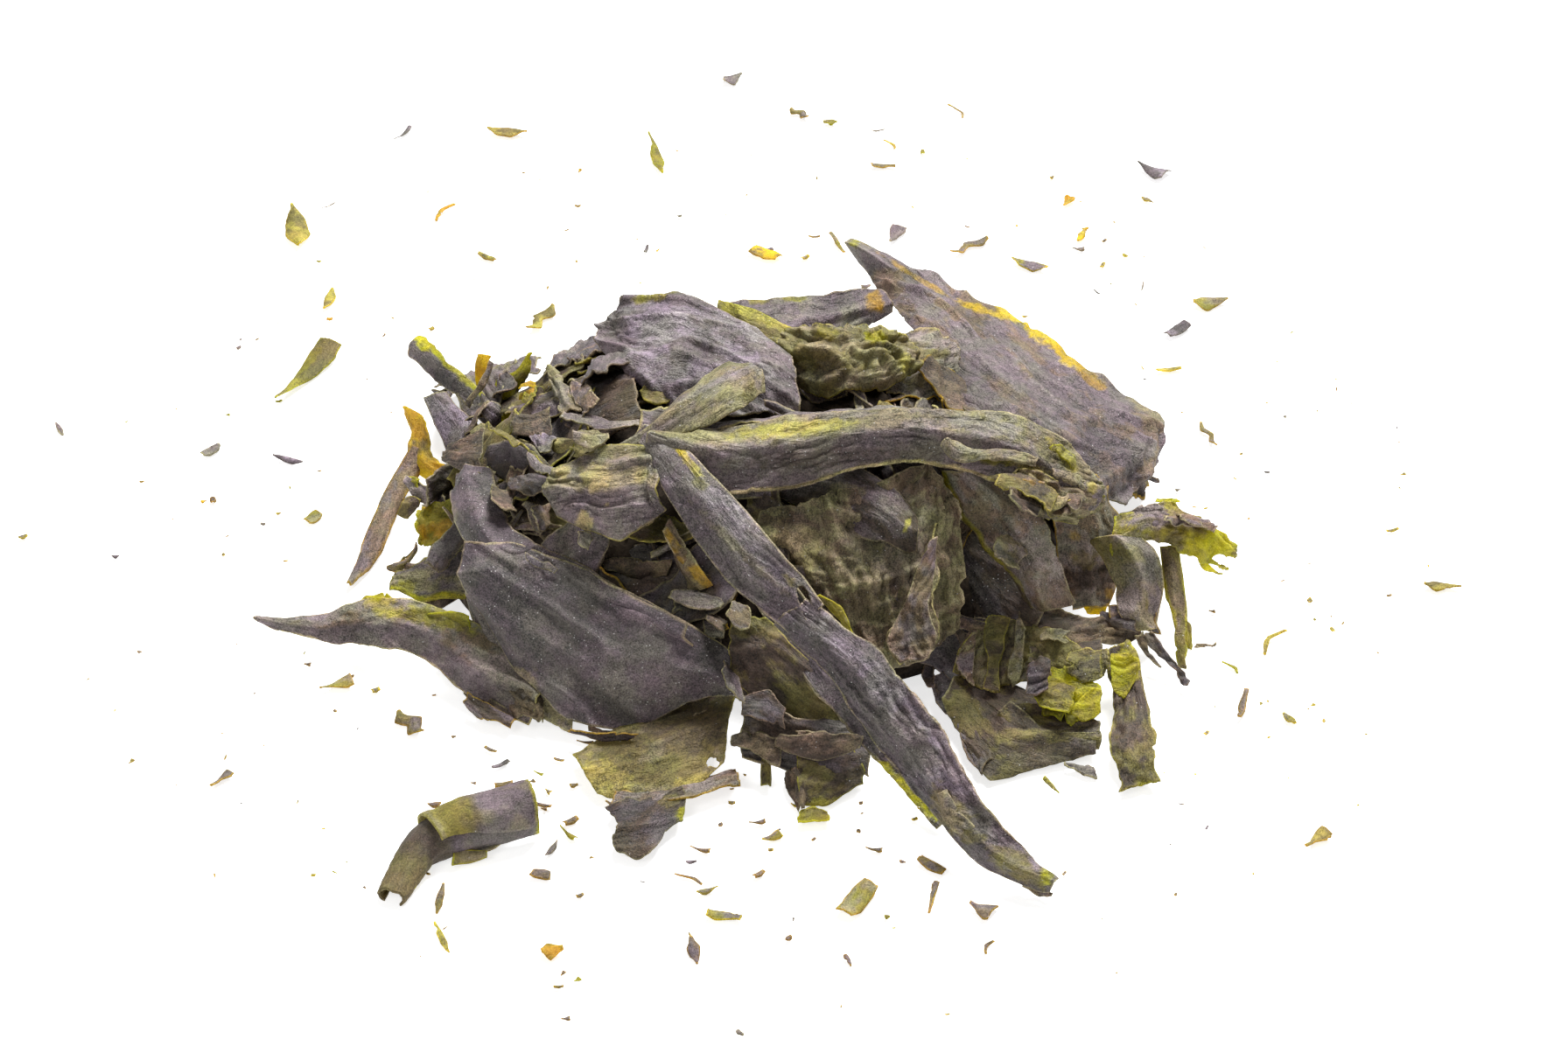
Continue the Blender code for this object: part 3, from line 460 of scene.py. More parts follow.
@dataclass(frozen=True)
class LeafFinish:
    """The finish of dry leaf, whose tones come from the sheet's own attributes."""

    name: str
    streaks: float = 1.0
    creases: float = 0.7
    mottling: float = 1.0
    salt: float = 0.5
    salt_colour: Colour = (0.62, 0.60, 0.58)
    bump: float = 0.40          # millimetres between the lowest and the highest grain
    dull: float = 0.72          # roughness of the hollows
    sheen: float = 0.42         # roughness of the crests
    specular: float = 0.50

    def material(self) -> bpy.types.Material:
        """The material of this finish, made once."""
        material = bpy.data.materials.get(self.name)
        if material is not None:
            return material
        material = bpy.data.materials.new(self.name)
        material.use_nodes = True
        nodes = Nodes(material.node_tree)
        grain = nodes.add("Group", {"node_tree": grain_group()}, Streaks=self.streaks, Creases=self.creases,
                          Mottling=self.mottling, Salt=self.salt)
        shade = grain.outputs["Shade"]
        grey = nodes.add("CombineColor", i0=shade, i1=shade, i2=shade).outputs[0]
        tone = nodes.add("Attribute", {"attribute_name": "tone"})
        glow = nodes.add("Attribute", {"attribute_name": "glow"})
        hue = nodes.mix(grain.outputs["Tint"], (1.07, 0.96, 1.06, 1.0), (0.97, 1.04, 0.86, 1.0))
        surface = nodes.mix(1.0, nodes.mix(1.0, tone.outputs["Color"], hue, "MULTIPLY"), grey, "MULTIPLY")
        surface = nodes.mix(grain.outputs["Salt"], surface, (*self.salt_colour, 1.0))
        rough = nodes.ramp(grain.outputs["Height"], 0.30, 1.10, self.dull, self.sheen)
        bump = nodes.add("Bump", Strength=1.0, Distance=self.bump * MM, Height=grain.outputs["Height"])
        skin = nodes.add("BsdfPrincipled", Base_Color=surface, Roughness=rough, Normal=bump.outputs[0],
                         Specular_IOR_Level=self.specular)
        through = nodes.add("BsdfTranslucent", Color=glow.outputs["Color"], Normal=bump.outputs[0])
        both = nodes.add("MixShader", i0=glow.outputs["Alpha"], i1=skin.outputs[0], i2=through.outputs[0])
        nodes.add("OutputMaterial", Surface=both.outputs[0])
        return material


LEAF = LeafFinish("dry_leaf", streaks=0.18, creases=0.5, mottling=1.3, salt=0.8, bump=0.32)
SLAB = LeafFinish("dry_slab", streaks=0.08, creases=0.2, mottling=1.4, salt=2.0, bump=0.32)
STREAKED = LeafFinish("dry_streaked_leaf", streaks=0.34, creases=0.5, mottling=1.3, salt=1.1, bump=0.34)
THIN_LEAF = LeafFinish("dry_thin_leaf", streaks=0.15, creases=0.5, mottling=1.3, salt=0.3, bump=0.32)
FLAKE = LeafFinish("dry_flake", streaks=0.10, creases=0.35, mottling=1.1, salt=0.1, bump=0.28)


@dataclass(frozen=True)
class DeepShadeFinish:
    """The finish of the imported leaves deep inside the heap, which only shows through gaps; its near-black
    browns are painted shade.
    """

    name: str = "packed_shade"
    low: Colour = (0.020, 0.014, 0.010)
    high: Colour = (0.075, 0.056, 0.038)

    def material(self) -> bpy.types.Material:
        """The material, with folds of lighter and darker brown."""
        material = bpy.data.materials.new(self.name)
        material.use_nodes = True
        nodes = Nodes(material.node_tree)
        place = nodes.add("TexCoord").outputs["Object"]
        cloud = nodes.add("TexNoise", i2=220.0, i3=6.0, i4=0.65, Vector=place).outputs[0]
        share = nodes.ramp(cloud, 0.35, 0.65, 0.0, 1.0)
        surface = nodes.mix(share, (*self.low, 1.0), (*self.high, 1.0))
        bump = nodes.add("Bump", Strength=1.0, Distance=1.2 * MM, Height=cloud)
        skin = nodes.add("BsdfPrincipled", Base_Color=surface, Roughness=0.85, Normal=bump.outputs[0],
                         Specular_IOR_Level=0.15)
        nodes.add("OutputMaterial", Surface=skin.outputs[0])
        return material


# ---------------------------------------------------------------- what a leaf looks like

@dataclass(frozen=True)
class Blot:
    """A spot of another tone on a leaf, or a hole in it, where the photograph shows it. Some spots are
    painted highlights and some are painted shadows.
    """

    at: tuple[float, float]             # its middle, in the photograph's pixels
    size: tuple[float, float]           # its half length and half width, in pixels
    turn: float = 0.0                   # degrees, clockwise from the photograph's x
    tone: Tone | None = None            # None is a hole
    strength: float = 1.0

    def reach(self, columns: np.ndarray, rows: np.ndarray) -> np.ndarray:
        """How far each pixel lies from the middle, with 1 at the ragged outline."""
        angle = math.radians(self.turn)
        across, down = columns - self.at[0], rows - self.at[1]
        along = (across * math.cos(angle) + down * math.sin(angle)) / self.size[0]
        aside = (down * math.cos(angle) - across * math.sin(angle)) / self.size[1]
        wobble = (0.42 * ripple(columns / 14.0, rows / 14.0, 71)
                  + 0.30 * ripple(columns / 6.0, rows / 6.0, 73)
                  + 0.20 * ripple(columns / 2.8, rows / 2.8, 72))
        return np.sqrt(along ** 2 + aside ** 2) + wobble * (1.0 if self.tone else 0.7)


@dataclass(frozen=True)
class Look:
    """How one leaf looks: its tones, its torn edge and its folds. Lengths are in millimetres."""

    tone: Tone = Tone.PLUM
    mottle: Tone = Tone.GREY            # the second tone
    mottled: float = 0.25               # the share of the leaf in it
    rim: Tone = Tone.STRAW              # the tone of its torn edge
    rim_width: float = 0.45
    near_rim: tuple[Tone, float] | None = None
    far_rim: tuple[Tone, float] | None = None
    ragged: float = 0.9                 # how deep its edges are torn
    wrinkle: float = 0.35               # height of the wrinkles that run along it
    spacing: float = 2.6                # between them
    cockle: float = 0.7                 # height of the slow waves
    flutter: float = 0.8                # how far its edges wave
    crumple: float = 0.0                # height of the sharp folds in all directions
    pleat: float = 0.0                  # height of the folds that run across it
    fold: tuple[float, float] = (0.5, 0.0)  # where a crease runs, as a share of its width, and its height
    lower: Tone | None = None           # painted shade: the tone on the near side of that crease, which is turned from the light
    smooth: float = 0.45                # how round its outline is, from straight runs to a full curve
    curl: tuple[float, float] = (0.0, 0.0)  # how far the near and far edge roll up
    quad: float = 0.6                   # length of a facet
    across: bool = False                # whether its grain runs across it
    blots: tuple[Blot, ...] = ()


def hole(x: float, y: float, long: float, wide: float, turn: float = 0.0) -> Blot:
    """A hole or slit."""
    return Blot((x, y), (long, wide), turn)


def spot(tone: Tone, x: float, y: float, long: float, wide: float, turn: float = 0.0,
         strength: float = 1.0) -> Blot:
    """A spot of another tone; some are painted highlights and shadows."""
    return Blot((x, y), (long, wide), turn, tone, strength)


class SheetMaker:
    """Lays leaves into one mesh, each as a fine sheet, and turns them into a piece."""

    floor_gap: float = 0.22             # the lowest middle of a sheet above the floor
    towards_camera: Point = (0.0, -0.77, 0.64)
    deepest_end: float = 0.3            # how much of a leaf's length a torn end may take, as a share

    def __init__(self) -> None:
        """Starts with an empty mesh."""
        self.bm = bmesh.new()
        self.tone = self.bm.verts.layers.float_color.new("tone")
        self.glow = self.bm.verts.layers.float_color.new("glow")
        self.sheet = self.bm.verts.layers.float_vector.new("sheet")

    def lay(self, name: str, stations: Stations, crown: float, look: Look) -> None:
        """Adds one leaf between its two edges.

        Args:
            name: The leaf's name, which also seeds its chance details.
            stations: Near and far edge at some stations along the leaf, in millimetres.
            crown: How far the leaf bulges between its edges, in millimetres.
            look: Its tones, tears and folds.
        """
        near = np.array([station[0] for station in stations], dtype=float)
        far = np.array([station[1] for station in stations], dtype=float)
        length = float(np.linalg.norm(np.diff(near + far, axis=0) * 0.5, axis=1).sum())
        widths = np.linalg.norm(far - near, axis=1)
        seed = random.Random(name).randrange(1, 90000)
        along, across = max(round(length / look.quad), 4), max(round(float(widths.max()) / look.quad), 3)
        verts = bmesh.ops.create_grid(self.bm, x_segments=along, y_segments=across, size=0.5)["verts"]
        share = np.array([vert.co[:2] for vert in verts]) + 0.5
        s, t = share[:, 0], share[:, 1]

        wide = np.interp(s * (len(stations) - 1), np.arange(len(stations)), widths)
        # A narrow leaf tears less deeply, so that its two edges never cross.
        tear = np.minimum(np.minimum(look.ragged, 0.30 * wide + 0.2), 0.36 * wide)
        low = torn(s * length, 1.0, seed) * tear / wide
        high = torn(s * length, 1.0, seed + 10) * tear / wide
        v = low + (1.0 - high - low) * t
        start = np.minimum(torn(t * wide, 1.2 * look.ragged, seed + 20) / length, self.deepest_end)
        end = np.minimum(torn(t * wide, 1.2 * look.ragged, seed + 30) / length, self.deepest_end)
        u = np.clip(start + (1.0 - end - start) * s, 0.0, 1.0)

        first, second = self.outline(near, u, look.smooth), self.outline(far, u, look.smooth)
        heading = along_edge(near, np.minimum(u + 0.05, 1.0)) - along_edge(near, np.maximum(u - 0.05, 0.0))
        heading += along_edge(far, np.minimum(u + 0.05, 1.0)) - along_edge(far, np.maximum(u - 0.05, 0.0))
        facing = unit(np.cross(heading, second - first))
        if facing.mean(axis=0) @ np.array(self.towards_camera) < 0.0:
            facing = -facing
        a, c = u * length, (v - 0.5) * wide
        crease = np.where(v < look.fold[0], v / look.fold[0], (1.0 - v) / (1.0 - look.fold[0]))
        relief = self.folds(look, a, c, t, wide, seed)
        lift = crown * 4.0 * v * (1.0 - v) + look.fold[1] * crease + relief
        places = first + (second - first) * v[:, None] + facing * lift[:, None]
        lowest = self.floor_gap + 0.15 * np.clip(ripple(a / 3, c / 3, seed), 0, 1)
        places[:, 2] = np.maximum(places[:, 2], lowest)

        inside = np.minimum(np.minimum(t, 1.0 - t) * wide, np.minimum(s, 1.0 - s) * length)
        surface, light, holes = self.paint(look, places, a, c, t * wide, (1.0 - t) * wide, inside, seed)
        # Painted shade that follows the folds: the colour is lightened on the crests and darkened in the
        # hollows.
        relief = np.clip((relief - relief.mean()) / (relief.std() + 1e-6), -2.0, 2.0)
        surface[:, :3] *= (1.0 + 0.13 * relief)[:, None]
        offset = float(seed % 997)
        if look.across:
            a, c = c, a
        self.place(verts, places, surface, light, a + offset, c + offset)
        if holes.any():
            self.open_holes([vert for vert, cut in zip(verts, holes) if cut])

    def place(self, verts: list[bmesh.types.BMVert], places: np.ndarray, surface: np.ndarray,
              light: np.ndarray, a: np.ndarray, c: np.ndarray) -> None:
        """Moves the points of a sheet to places in millimetres and gives them their tones and grid."""
        rows = zip(verts, (places * MM).tolist(), surface.tolist(), light.tolist(), a.tolist(), c.tolist())
        for vert, place, colour, through, run, side in rows:
            vert.co = place
            vert[self.tone] = colour
            vert[self.glow] = through
            vert[self.sheet] = (run, side, 0.0)

    @staticmethod
    def outline(points: np.ndarray, share: np.ndarray, smooth: float) -> np.ndarray:
        """Places along an edge, between straight runs (smooth 0) and a full curve (smooth 1)."""
        knots, place = np.arange(len(points)), share * (len(points) - 1)
        straight = np.stack([np.interp(place, knots, column) for column in points.T], axis=1)
        return straight * (1.0 - smooth) + along_edge(points, share) * smooth

    @staticmethod
    def folds(look: Look, a: np.ndarray, c: np.ndarray, t: np.ndarray, wide: np.ndarray,
              seed: int) -> np.ndarray:
        """How far a leaf's wrinkles, waves and curls lift it.

        Args:
            look: The leaf's look.
            a: Millimetres along the leaf.
            c: Millimetres across it.
            t: The share of its width, from its near edge.
            wide: Its width at each place, in millimetres.
            seed: The leaf's seed.

        Returns:
            The lift at each place, in millimetres.
        """
        sway = c + 1.6 * ripple(a / 13.0, c / 7.0, seed + 47) + 0.5 * ripple(a / 4.0, c / 3.0, seed + 48)
        patch = np.clip(0.62 + 0.9 * ripple(a / 16.0, c / 8.0, seed + 49), 0.15, 1.25)
        sharp = crests(ripple(a / 20.0, sway / look.spacing, seed + 40), 2.6) ** 2
        fine = crests(ripple(a / 9.0, sway / (0.5 * look.spacing), seed + 41), 2.4) ** 2
        lift = look.wrinkle * patch * (1.5 * sharp + 0.6 * fine - 0.5)
        waves = ripple(a / 15.0, c / 11.0, seed + 42) + 0.35 * ripple(a / 5.0, c / 4.0, seed + 38)
        lift += look.cockle * waves
        bend = ripple(a / 26.0 + 0.3 * ripple(c / 9.0, a / 20.0, seed + 37), c / 12.0, seed + 39)
        lift += 0.9 * look.cockle * crests(bend, 4.0) ** 2
        edge = np.abs(2.0 * t - 1.0) ** 4
        side = 2.0 * np.sign(t - 0.5)
        frill = ripple(a / 6.5, side, seed + 43) + 0.45 * ripple(a / 2.4, side, seed + 36)
        lift += look.flutter * edge * frill
        if look.pleat:
            lean = a + 2.4 * ripple(a / 12.0, c / 12.0, seed + 33) + 0.8 * ripple(a / 4.0, c / 5.0, seed + 34)
            broad = crests(ripple(lean / 4.2, c / 22.0, seed + 31), 2.2) ** 1.5
            close = crests(ripple(lean / 1.9, c / 12.0, seed + 32), 2.2) ** 1.5
            lift += look.pleat * (1.4 * broad + 0.55 * close - 0.5)
        if look.crumple:
            warp = 1.2 * ripple(a / 6.0, c / 6.0, seed + 44)
            lift += look.crumple * (0.8 * ridges(a / 6.0 + warp, c / 5.0, seed + 45)
                                    + 0.5 * ridges(a / 2.8, c / 2.4 + warp, seed + 46))
        for roll, inward in zip(look.curl, (t * wide, (1.0 - t) * wide)):
            uneven = np.clip(0.7 + 1.3 * ripple(a / 9.0, 0.0 * a + roll, seed + 35), -0.2, 1.6)
            lift += roll * uneven * np.clip(1.0 - inward / 3.5, 0.0, 1.0) ** 2
        return lift

    @staticmethod
    def paint(look: Look, places: np.ndarray, a: np.ndarray, c: np.ndarray, from_near: np.ndarray,
              from_far: np.ndarray, inside: np.ndarray,
              seed: int) -> tuple[np.ndarray, np.ndarray, np.ndarray]:
        """The tones of a leaf at each place of its sheet, with painted shade on the side of a crease turned
        from the light.

        Args:
            look: The leaf's look.
            places: The places, in millimetres.
            a: Millimetres along the leaf.
            c: Millimetres across it.
            from_near: Millimetres from its near edge.
            from_far: Millimetres from its far edge.
            inside: Millimetres from its closest edge.
            seed: The leaf's seed.

        Returns:
            Surface colours, colours of the light through it with its thinness last, and what is a hole.
        """
        surface = np.tile((*look.tone.value.surface, 1.0), (len(a), 1))
        light = np.tile((*look.tone.value.glow, look.tone.value.thin), (len(a), 1))

        def stain(tone: Tone, weight: np.ndarray) -> None:
            """Mixes a tone in."""
            share = weight[:, None]
            surface[:] = surface * (1.0 - share) + np.array((*tone.value.surface, 1.0)) * share
            light[:] = light * (1.0 - share) + np.array((*tone.value.glow, tone.value.thin)) * share

        cloud = (ripple(a / 12.0, c / 6.0, seed + 50) + 0.6 * ripple(a / 4.0, c / 2.4, seed + 51)
                 + 0.35 * ripple(a / 1.4, c / 1.0, seed + 52))
        if look.mottled > 0.0:
            line = float(np.quantile(cloud, 1.0 - look.mottled))
            stain(look.mottle, 0.85 * ease(line - 0.22, line + 0.22, cloud))
        # Painted shade: the near side of the crease, turned from the light, takes a darker tone.
        if look.lower:
            share = (c / (from_near + from_far + 1e-6)) + 0.5 + 0.05 * ripple(a / 4.0, c / 4.0, seed + 57)
            stain(look.lower, 0.85 * ease(look.fold[0] + 0.05, look.fold[0] - 0.05, share))
        fray = 0.5 + 1.2 * ripple(a / 7.0, c / 7.0, seed + 53) + 0.5 * ripple(a / 1.5, c / 1.5, seed + 55)
        fray = np.clip(fray, 0.05, 2.0)
        for band, inward in ((look.near_rim, from_near), (look.far_rim, from_far)):
            if band:
                ragged = inward + 0.35 * band[1] * ripple(a / 3.5, 0.0 * a, seed + 54)
                stain(band[0], ease(1.15 * band[1], 0.75 * band[1], ragged))
        stain(look.rim, 0.9 * ease(1.0, 0.0, inside / (look.rim_width * fray)))
        columns, rows = VIEW.pixels(places)
        holes = np.zeros(len(a), dtype=bool)
        for blot in look.blots:
            reach = blot.reach(columns, rows)
            if blot.tone is None:
                holes |= reach < 1.0
                stain(look.rim, 0.8 * ease(1.0, 0.0, (reach - 1.0) * min(blot.size) / 3.0))
            else:
                fleck = 0.82 + 0.35 * ripple(a / 1.6, c / 1.2, seed + 56)
                stain(blot.tone, np.clip(blot.strength * ease(1.22, 0.72, reach) * fleck, 0.0, 1.0))
        return surface, light, holes

    def open_holes(self, cut: list[bmesh.types.BMVert]) -> None:
        """Deletes the points of a hole and smooths the edge that is left."""
        gone = set(cut)
        edges = [edge for vert in cut for edge in vert.link_edges]
        rim = {vert for edge in edges for vert in edge.verts if vert not in gone}
        bmesh.ops.delete(self.bm, geom=cut, context="VERTS")
        rim = [vert for vert in rim if vert.is_valid and vert.link_faces]
        for _ in range(3):
            bmesh.ops.smooth_vert(
                self.bm, verts=rim, factor=0.5, use_axis_x=True, use_axis_y=True, use_axis_z=True)
        loose = [vert for vert in self.bm.verts if not vert.link_faces]
        bmesh.ops.delete(self.bm, geom=loose, context="VERTS")

    def piece(self, name: str, finish: LeafFinish, thickness: float = 0.32) -> bpy.types.Object:
        """Turns what was laid into one piece with a thickness.

        Args:
            name: The piece's name.
            finish: Its finish.
            thickness: Of the leaves, in millimetres.

        Returns:
            The piece.
        """
        for face in self.bm.faces:
            face.smooth = True
        thing = mesh_object(name, self.bm, finish.material())
        wall = thing.modifiers.new("thickness", "SOLIDIFY")
        wall.thickness = thickness * MM
        wall.offset = 0.0
        LOG.info("%s: %d faces laid", name, len(thing.data.polygons))
        return thing


# ---------------------------------------------------------------- the leaves

# The leaves that show. A station is (near edge, far edge), each an (x, y, z) in millimetres; the edges
# run along the leaf. "crown" is how far the sheet bulges towards the front between its edges.
LEAVES: dict[str, dict] = {
    # The long blade that leans over the top and comes down to the floor in front.
    "tall_blade": dict(crown=1.2, stations=(
        ((-17, -42, 41), (-13, -40, 42)), ((-10, -57, 38), (-4, -52, 43)), ((0, -70, 31), (8, -66, 38)),
        ((12, -78, 25), (18, -76, 31)))),
    "long_fold": dict(crown=1.2, stations=(
        ((8, -75, 25), (15, -74, 31)), ((18, -84, 21), (26, -82, 27)), ((24, -90, 14), (33, -88, 22)),
        ((30, -96, 9), (40, -95, 17)), ((36, -102, 5), (45, -103, 11)), ((44, -112, 2), (52, -111, 6)),
        ((56, -119, 1), (58, -116, 2)))),
    "under_strip": dict(crown=-1.0, stations=(
        ((1, -58, 22), (9, -60, 28)), ((15, -81, 15), (22, -79, 21)), ((23, -88, 9), (31, -86, 17)),
        ((30, -95, 5), (38, -92, 11)), ((37, -103, 1), (42, -101, 6)))),
    # The ribbon that lies across the top, folded along its length.
    "top_ribbon": dict(crown=1.5, stations=(
        ((-15, -44, 40), (-13, -41, 42)), ((-3, -53, 37), (0, -42, 44)), ((11, -52, 37), (13, -40, 45)),
        ((27, -48, 39), (28, -39, 46)), ((37, -46, 38), (41, -38, 45)), ((48, -46, 34), (53, -36, 42)),
        ((58, -48, 28), (62, -38, 38)), ((67, -46, 26), (68, -40, 30)))),
    "ribbon_flap": dict(crown=-1.5, stations=(
        ((-13, -41, 42), (-10, -35, 37)), ((0, -42, 44), (2, -33, 35)), ((13, -40, 45), (16, -31, 35)),
        ((28, -39, 46), (30, -30, 35)), ((41, -38, 45), (44, -30, 33)), ((53, -36, 42), (56, -30, 30)))),
    "right_knot": dict(crown=3.0, stations=(
        ((49, -48, 34), (50, -46, 38)), ((55, -50, 29), (56, -45, 37)), ((62, -47, 25), (62, -43, 34)),
        ((68, -40, 23), (67, -40, 29)))),
    # Round the peak.
    "spotted": dict(crown=2.5, stations=(
        ((-34, -47, 32), (-34, -46, 33)), ((-31, -51, 29), (-32, -43, 36)),
        ((-25, -55, 29), (-27, -42, 38)), ((-19, -58, 29), (-21, -43, 41)),
        ((-13, -55, 31), (-14, -44, 42)), ((-10, -54, 34), (-10, -49, 40)))),
    "olive_tip": dict(crown=2.0, stations=(
        ((-20, -46, 38), (-17, -43, 39)), ((-7, -45, 44), (-9, -34, 45)), ((3, -41, 46), (0, -27, 48)),
        ((7, -35, 46), (6, -29, 47)))),
    "saddle": dict(crown=2.0, stations=(
        ((-36, -30, 22), (-36, -22, 26)), ((-25, -28, 28), (-31, -6, 26)),
        ((-14, -28, 34), (-19, -4, 30)))),
    "shadow_leaf": dict(crown=2.0, stations=(
        ((-24, -64, 9), (-26, -50, 20)), ((-12, -68, 9), (-14, -50, 24)), ((0, -68, 10), (-2, -54, 24)))),
    # The broad sheets at the back.
    "back_sheet": dict(crown=2.5, stations=(
        ((-23, -4, 30), (-26, 5, 32)), ((-14, -20, 33), (-22, 10, 35)), ((-4, -28, 35), (-10, 11, 37)),
        ((5, -29, 36), (4, -2, 37)), ((14, -29, 35), (13, -14, 37)))),
    "back_curl": dict(crown=1.5, stations=(
        ((-24, -10, 24), (-24, -4, 29)), ((-15, -16, 25), (-17, -8, 32)), ((-6, -20, 27), (-7, -12, 33)))),
    "back_ribbon": dict(crown=2.0, stations=(
        ((2, 2, 24), (-3, 16, 29)), ((12, 4, 24), (8, 18, 30)), ((21, 11, 22), (19, 21, 29)),
        ((32, 24, 21), (30, 28, 25)))),
    "green_flap": dict(crown=1.0, stations=(
        ((12, -4, 29), (13, 4, 32)), ((5, 0, 28), (4, 10, 33)), ((-2, 8, 27), (-3, 15, 32)))),
    "green_knot": dict(crown=4.0, stations=(
        ((11, -12, 31), (12, -1, 37)), ((19, -20, 32), (19, -5, 40)), ((28, -18, 32), (27, -3, 38)),
        ((35, -9, 29), (34, -3, 35)))),
    "back_knot": dict(crown=2.0, stations=(
        ((29, -14, 28), (31, 4, 31)), ((38, -16, 27), (38, 6, 31)), ((44, -6, 25), (43, 5, 28)))),
    "back_low": dict(crown=1.5, stations=(
        ((-38, 0, 12), (-38, 10, 16)), ((-30, -3, 18), (-32, 12, 20)), ((-20, -4, 20), (-22, 12, 24)))),
    # The great slab on the right, which leans back.
    "right_slab": dict(crown=2.0, stations=(
        ((25, 47, 19), (25, 51, 21)), ((31, 27, 22), (40, 34, 23)), ((39, 2, 27), (52, 23, 24)),
        ((47, -26, 31), (65, 12, 23)), ((60, -36, 27), (75, 2, 20)), ((69, -34, 21), (86, -3, 15)),
        ((74, -31, 16), (83, -11, 12)))),
    # The front left: a wide slab, the leaf arching over it and the tail lying out to the left.
    "front_slab": dict(crown=2.5, stations=(
        ((-47, -57, 15), (-49, -50, 24)), ((-39, -70, 9), (-39, -52, 25)), ((-29, -77, 3), (-28, -57, 24)),
        ((-19, -79, 2), (-18, -61, 22)), ((-8, -77, 6), (-6, -67, 18)), ((2, -74, 7), (3, -70, 12)))),
    "left_arch": dict(crown=2.0, stations=(
        ((-52, -30, 22), (-44, -33, 26)), ((-52, -37, 21), (-43, -39, 26)),
        ((-50, -45, 20), (-41, -46, 25)), ((-42, -53, 19), (-35, -52, 25)),
        ((-31, -57, 19), (-29, -55, 24)), ((-5, -71, 16), (-6, -69, 20)))),
    "left_tail": dict(crown=1.5, stations=(
        ((-88, -50, 2), (-89, -48, 3)), ((-76, -56, 3), (-77, -51, 6)), ((-65, -59, 4), (-67, -50, 10)),
        ((-56, -62, 4), (-53, -55, 12)), ((-48, -70, 2), (-42, -62, 11)), ((-36, -77, 1), (-30, -70, 7)))),
    "left_band": dict(crown=1.5, stations=(
        ((-49, -53, 11), (-46, -52, 17)), ((-43, -66, 5), (-39, -62, 13)), ((-36, -74, 2), (-32, -68, 9)),
        ((-28, -79, 1), (-27, -71, 6)))),
    "left_olive": dict(crown=1.0, stations=(
        ((-65, -42, 3), (-65, -37, 5)), ((-57, -46, 4), (-58, -36, 8)), ((-47, -47, 6), (-48, -38, 12)))),
    "left_crumple": dict(crown=1.5, stations=(
        ((-61, -31, 5), (-61, -24, 9)), ((-55, -34, 6), (-55, -23, 11)), ((-46, -34, 9), (-46, -24, 15)))),
    # The far left: fans of narrow leaves with bright tips.
    "yellow_wing": dict(crown=1.2, stations=(
        ((-66, 16, 16), (-63, 20, 19)), ((-61, 9, 16), (-57, 12, 20)), ((-54, 3, 14), (-51, 6, 17)),
        ((-46, -5, 10), (-43, -2, 13)))),
    "amber_tip": dict(crown=1.0, stations=(
        ((-51, 11, 21), (-48, 10, 21)), ((-52, 9, 19), (-48, 9, 19)), ((-52, 8, 16), (-49, 9, 16)),
        ((-52, 6, 10), (-50, 7, 10)))),
    "green_tip": dict(crown=0.8, stations=(
        ((-40, 7, 24), (-39, 7, 24)), ((-43, 5, 21), (-39, 4, 22)), ((-47, 6, 18), (-41, 3, 19)),
        ((-48, 4, 16), (-42, 1, 17)), ((-46, 1, 12), (-44, 0, 12)))),
    "grey_fan": dict(crown=1.2, stations=(
        ((-62, 4, 15), (-57, 4, 17)), ((-59, -3, 13), (-53, -1, 16)), ((-57, -8, 11), (-49, -6, 15)),
        ((-52, -14, 7), (-43, -12, 12)))),
    "amber_left": dict(crown=0.8, stations=(
        ((-66, 10, 8), (-65, 9, 9)), ((-65, 3, 6), (-61, 1, 10)), ((-64, -5, 4), (-59, -7, 9)),
        ((-57, -13, 4), (-50, -12, 9)))),
    "left_stick": dict(crown=0.8, stations=(
        ((-73, -38, 1), (-74, -37, 1)), ((-68, -28, 1), (-72, -25, 2)), ((-65, -14, 3), (-69, -12, 4)),
        ((-60, -4, 6), (-64, -2, 8)))),
    "olive_band": dict(crown=0.8, stations=(
        ((-51, -12, 16), (-49, -10, 20)), ((-40, -24, 18), (-37, -21, 23)),
        ((-30, -34, 20), (-28, -29, 26)))),
    # The back, which slopes down to the floor behind the broad sheets.
    "rear_left": dict(crown=2.0, stations=(
        ((-50, -8, 15), (-36, 4, 22)), ((-60, 8, 9), (-38, 17, 15)), ((-62, 17, 3), (-44, 28, 4)),
        ((-60, 22, 1), (-50, 29, 1)))),
    "rear_inner_left": dict(crown=3.0, stations=(
        ((-38, -2, 22), (-14, 2, 27)), ((-38, 14, 16), (-8, 17, 21)), ((-31, 28, 6), (-6, 28, 9)),
        ((-24, 38, 2), (-8, 35, 2)))),
    "rear_middle": dict(crown=2.0, stations=(
        ((-12, 4, 27), (6, 6, 29)), ((-19, 20, 14), (8, 22, 18)), ((-22, 32, 4), (2, 38, 5)),
        ((-18, 41, 1), (-4, 44, 1)))),
    "rear_inner_right": dict(crown=3.0, stations=(
        ((2, 0, 28), (27, -4, 28)), ((5, 16, 21), (31, 15, 20)), ((12, 29, 8), (36, 27, 8)),
        ((20, 37, 1), (34, 35, 2)))),
    "rear_right": dict(crown=2.0, stations=(
        ((26, 2, 24), (50, -12, 21)), ((30, 17, 13), (60, 3, 12)), ((38, 29, 3), (64, 13, 4)),
        ((47, 31, 1), (63, 22, 1)))),
    "rear_curl": dict(crown=-2.5, stations=(
        ((-30, 4, 24), (-20, 12, 23)), ((-18, 10, 24), (-12, 18, 22)), ((-2, 14, 23), (0, 24, 20)),
        ((12, 12, 23), (16, 21, 20)))),
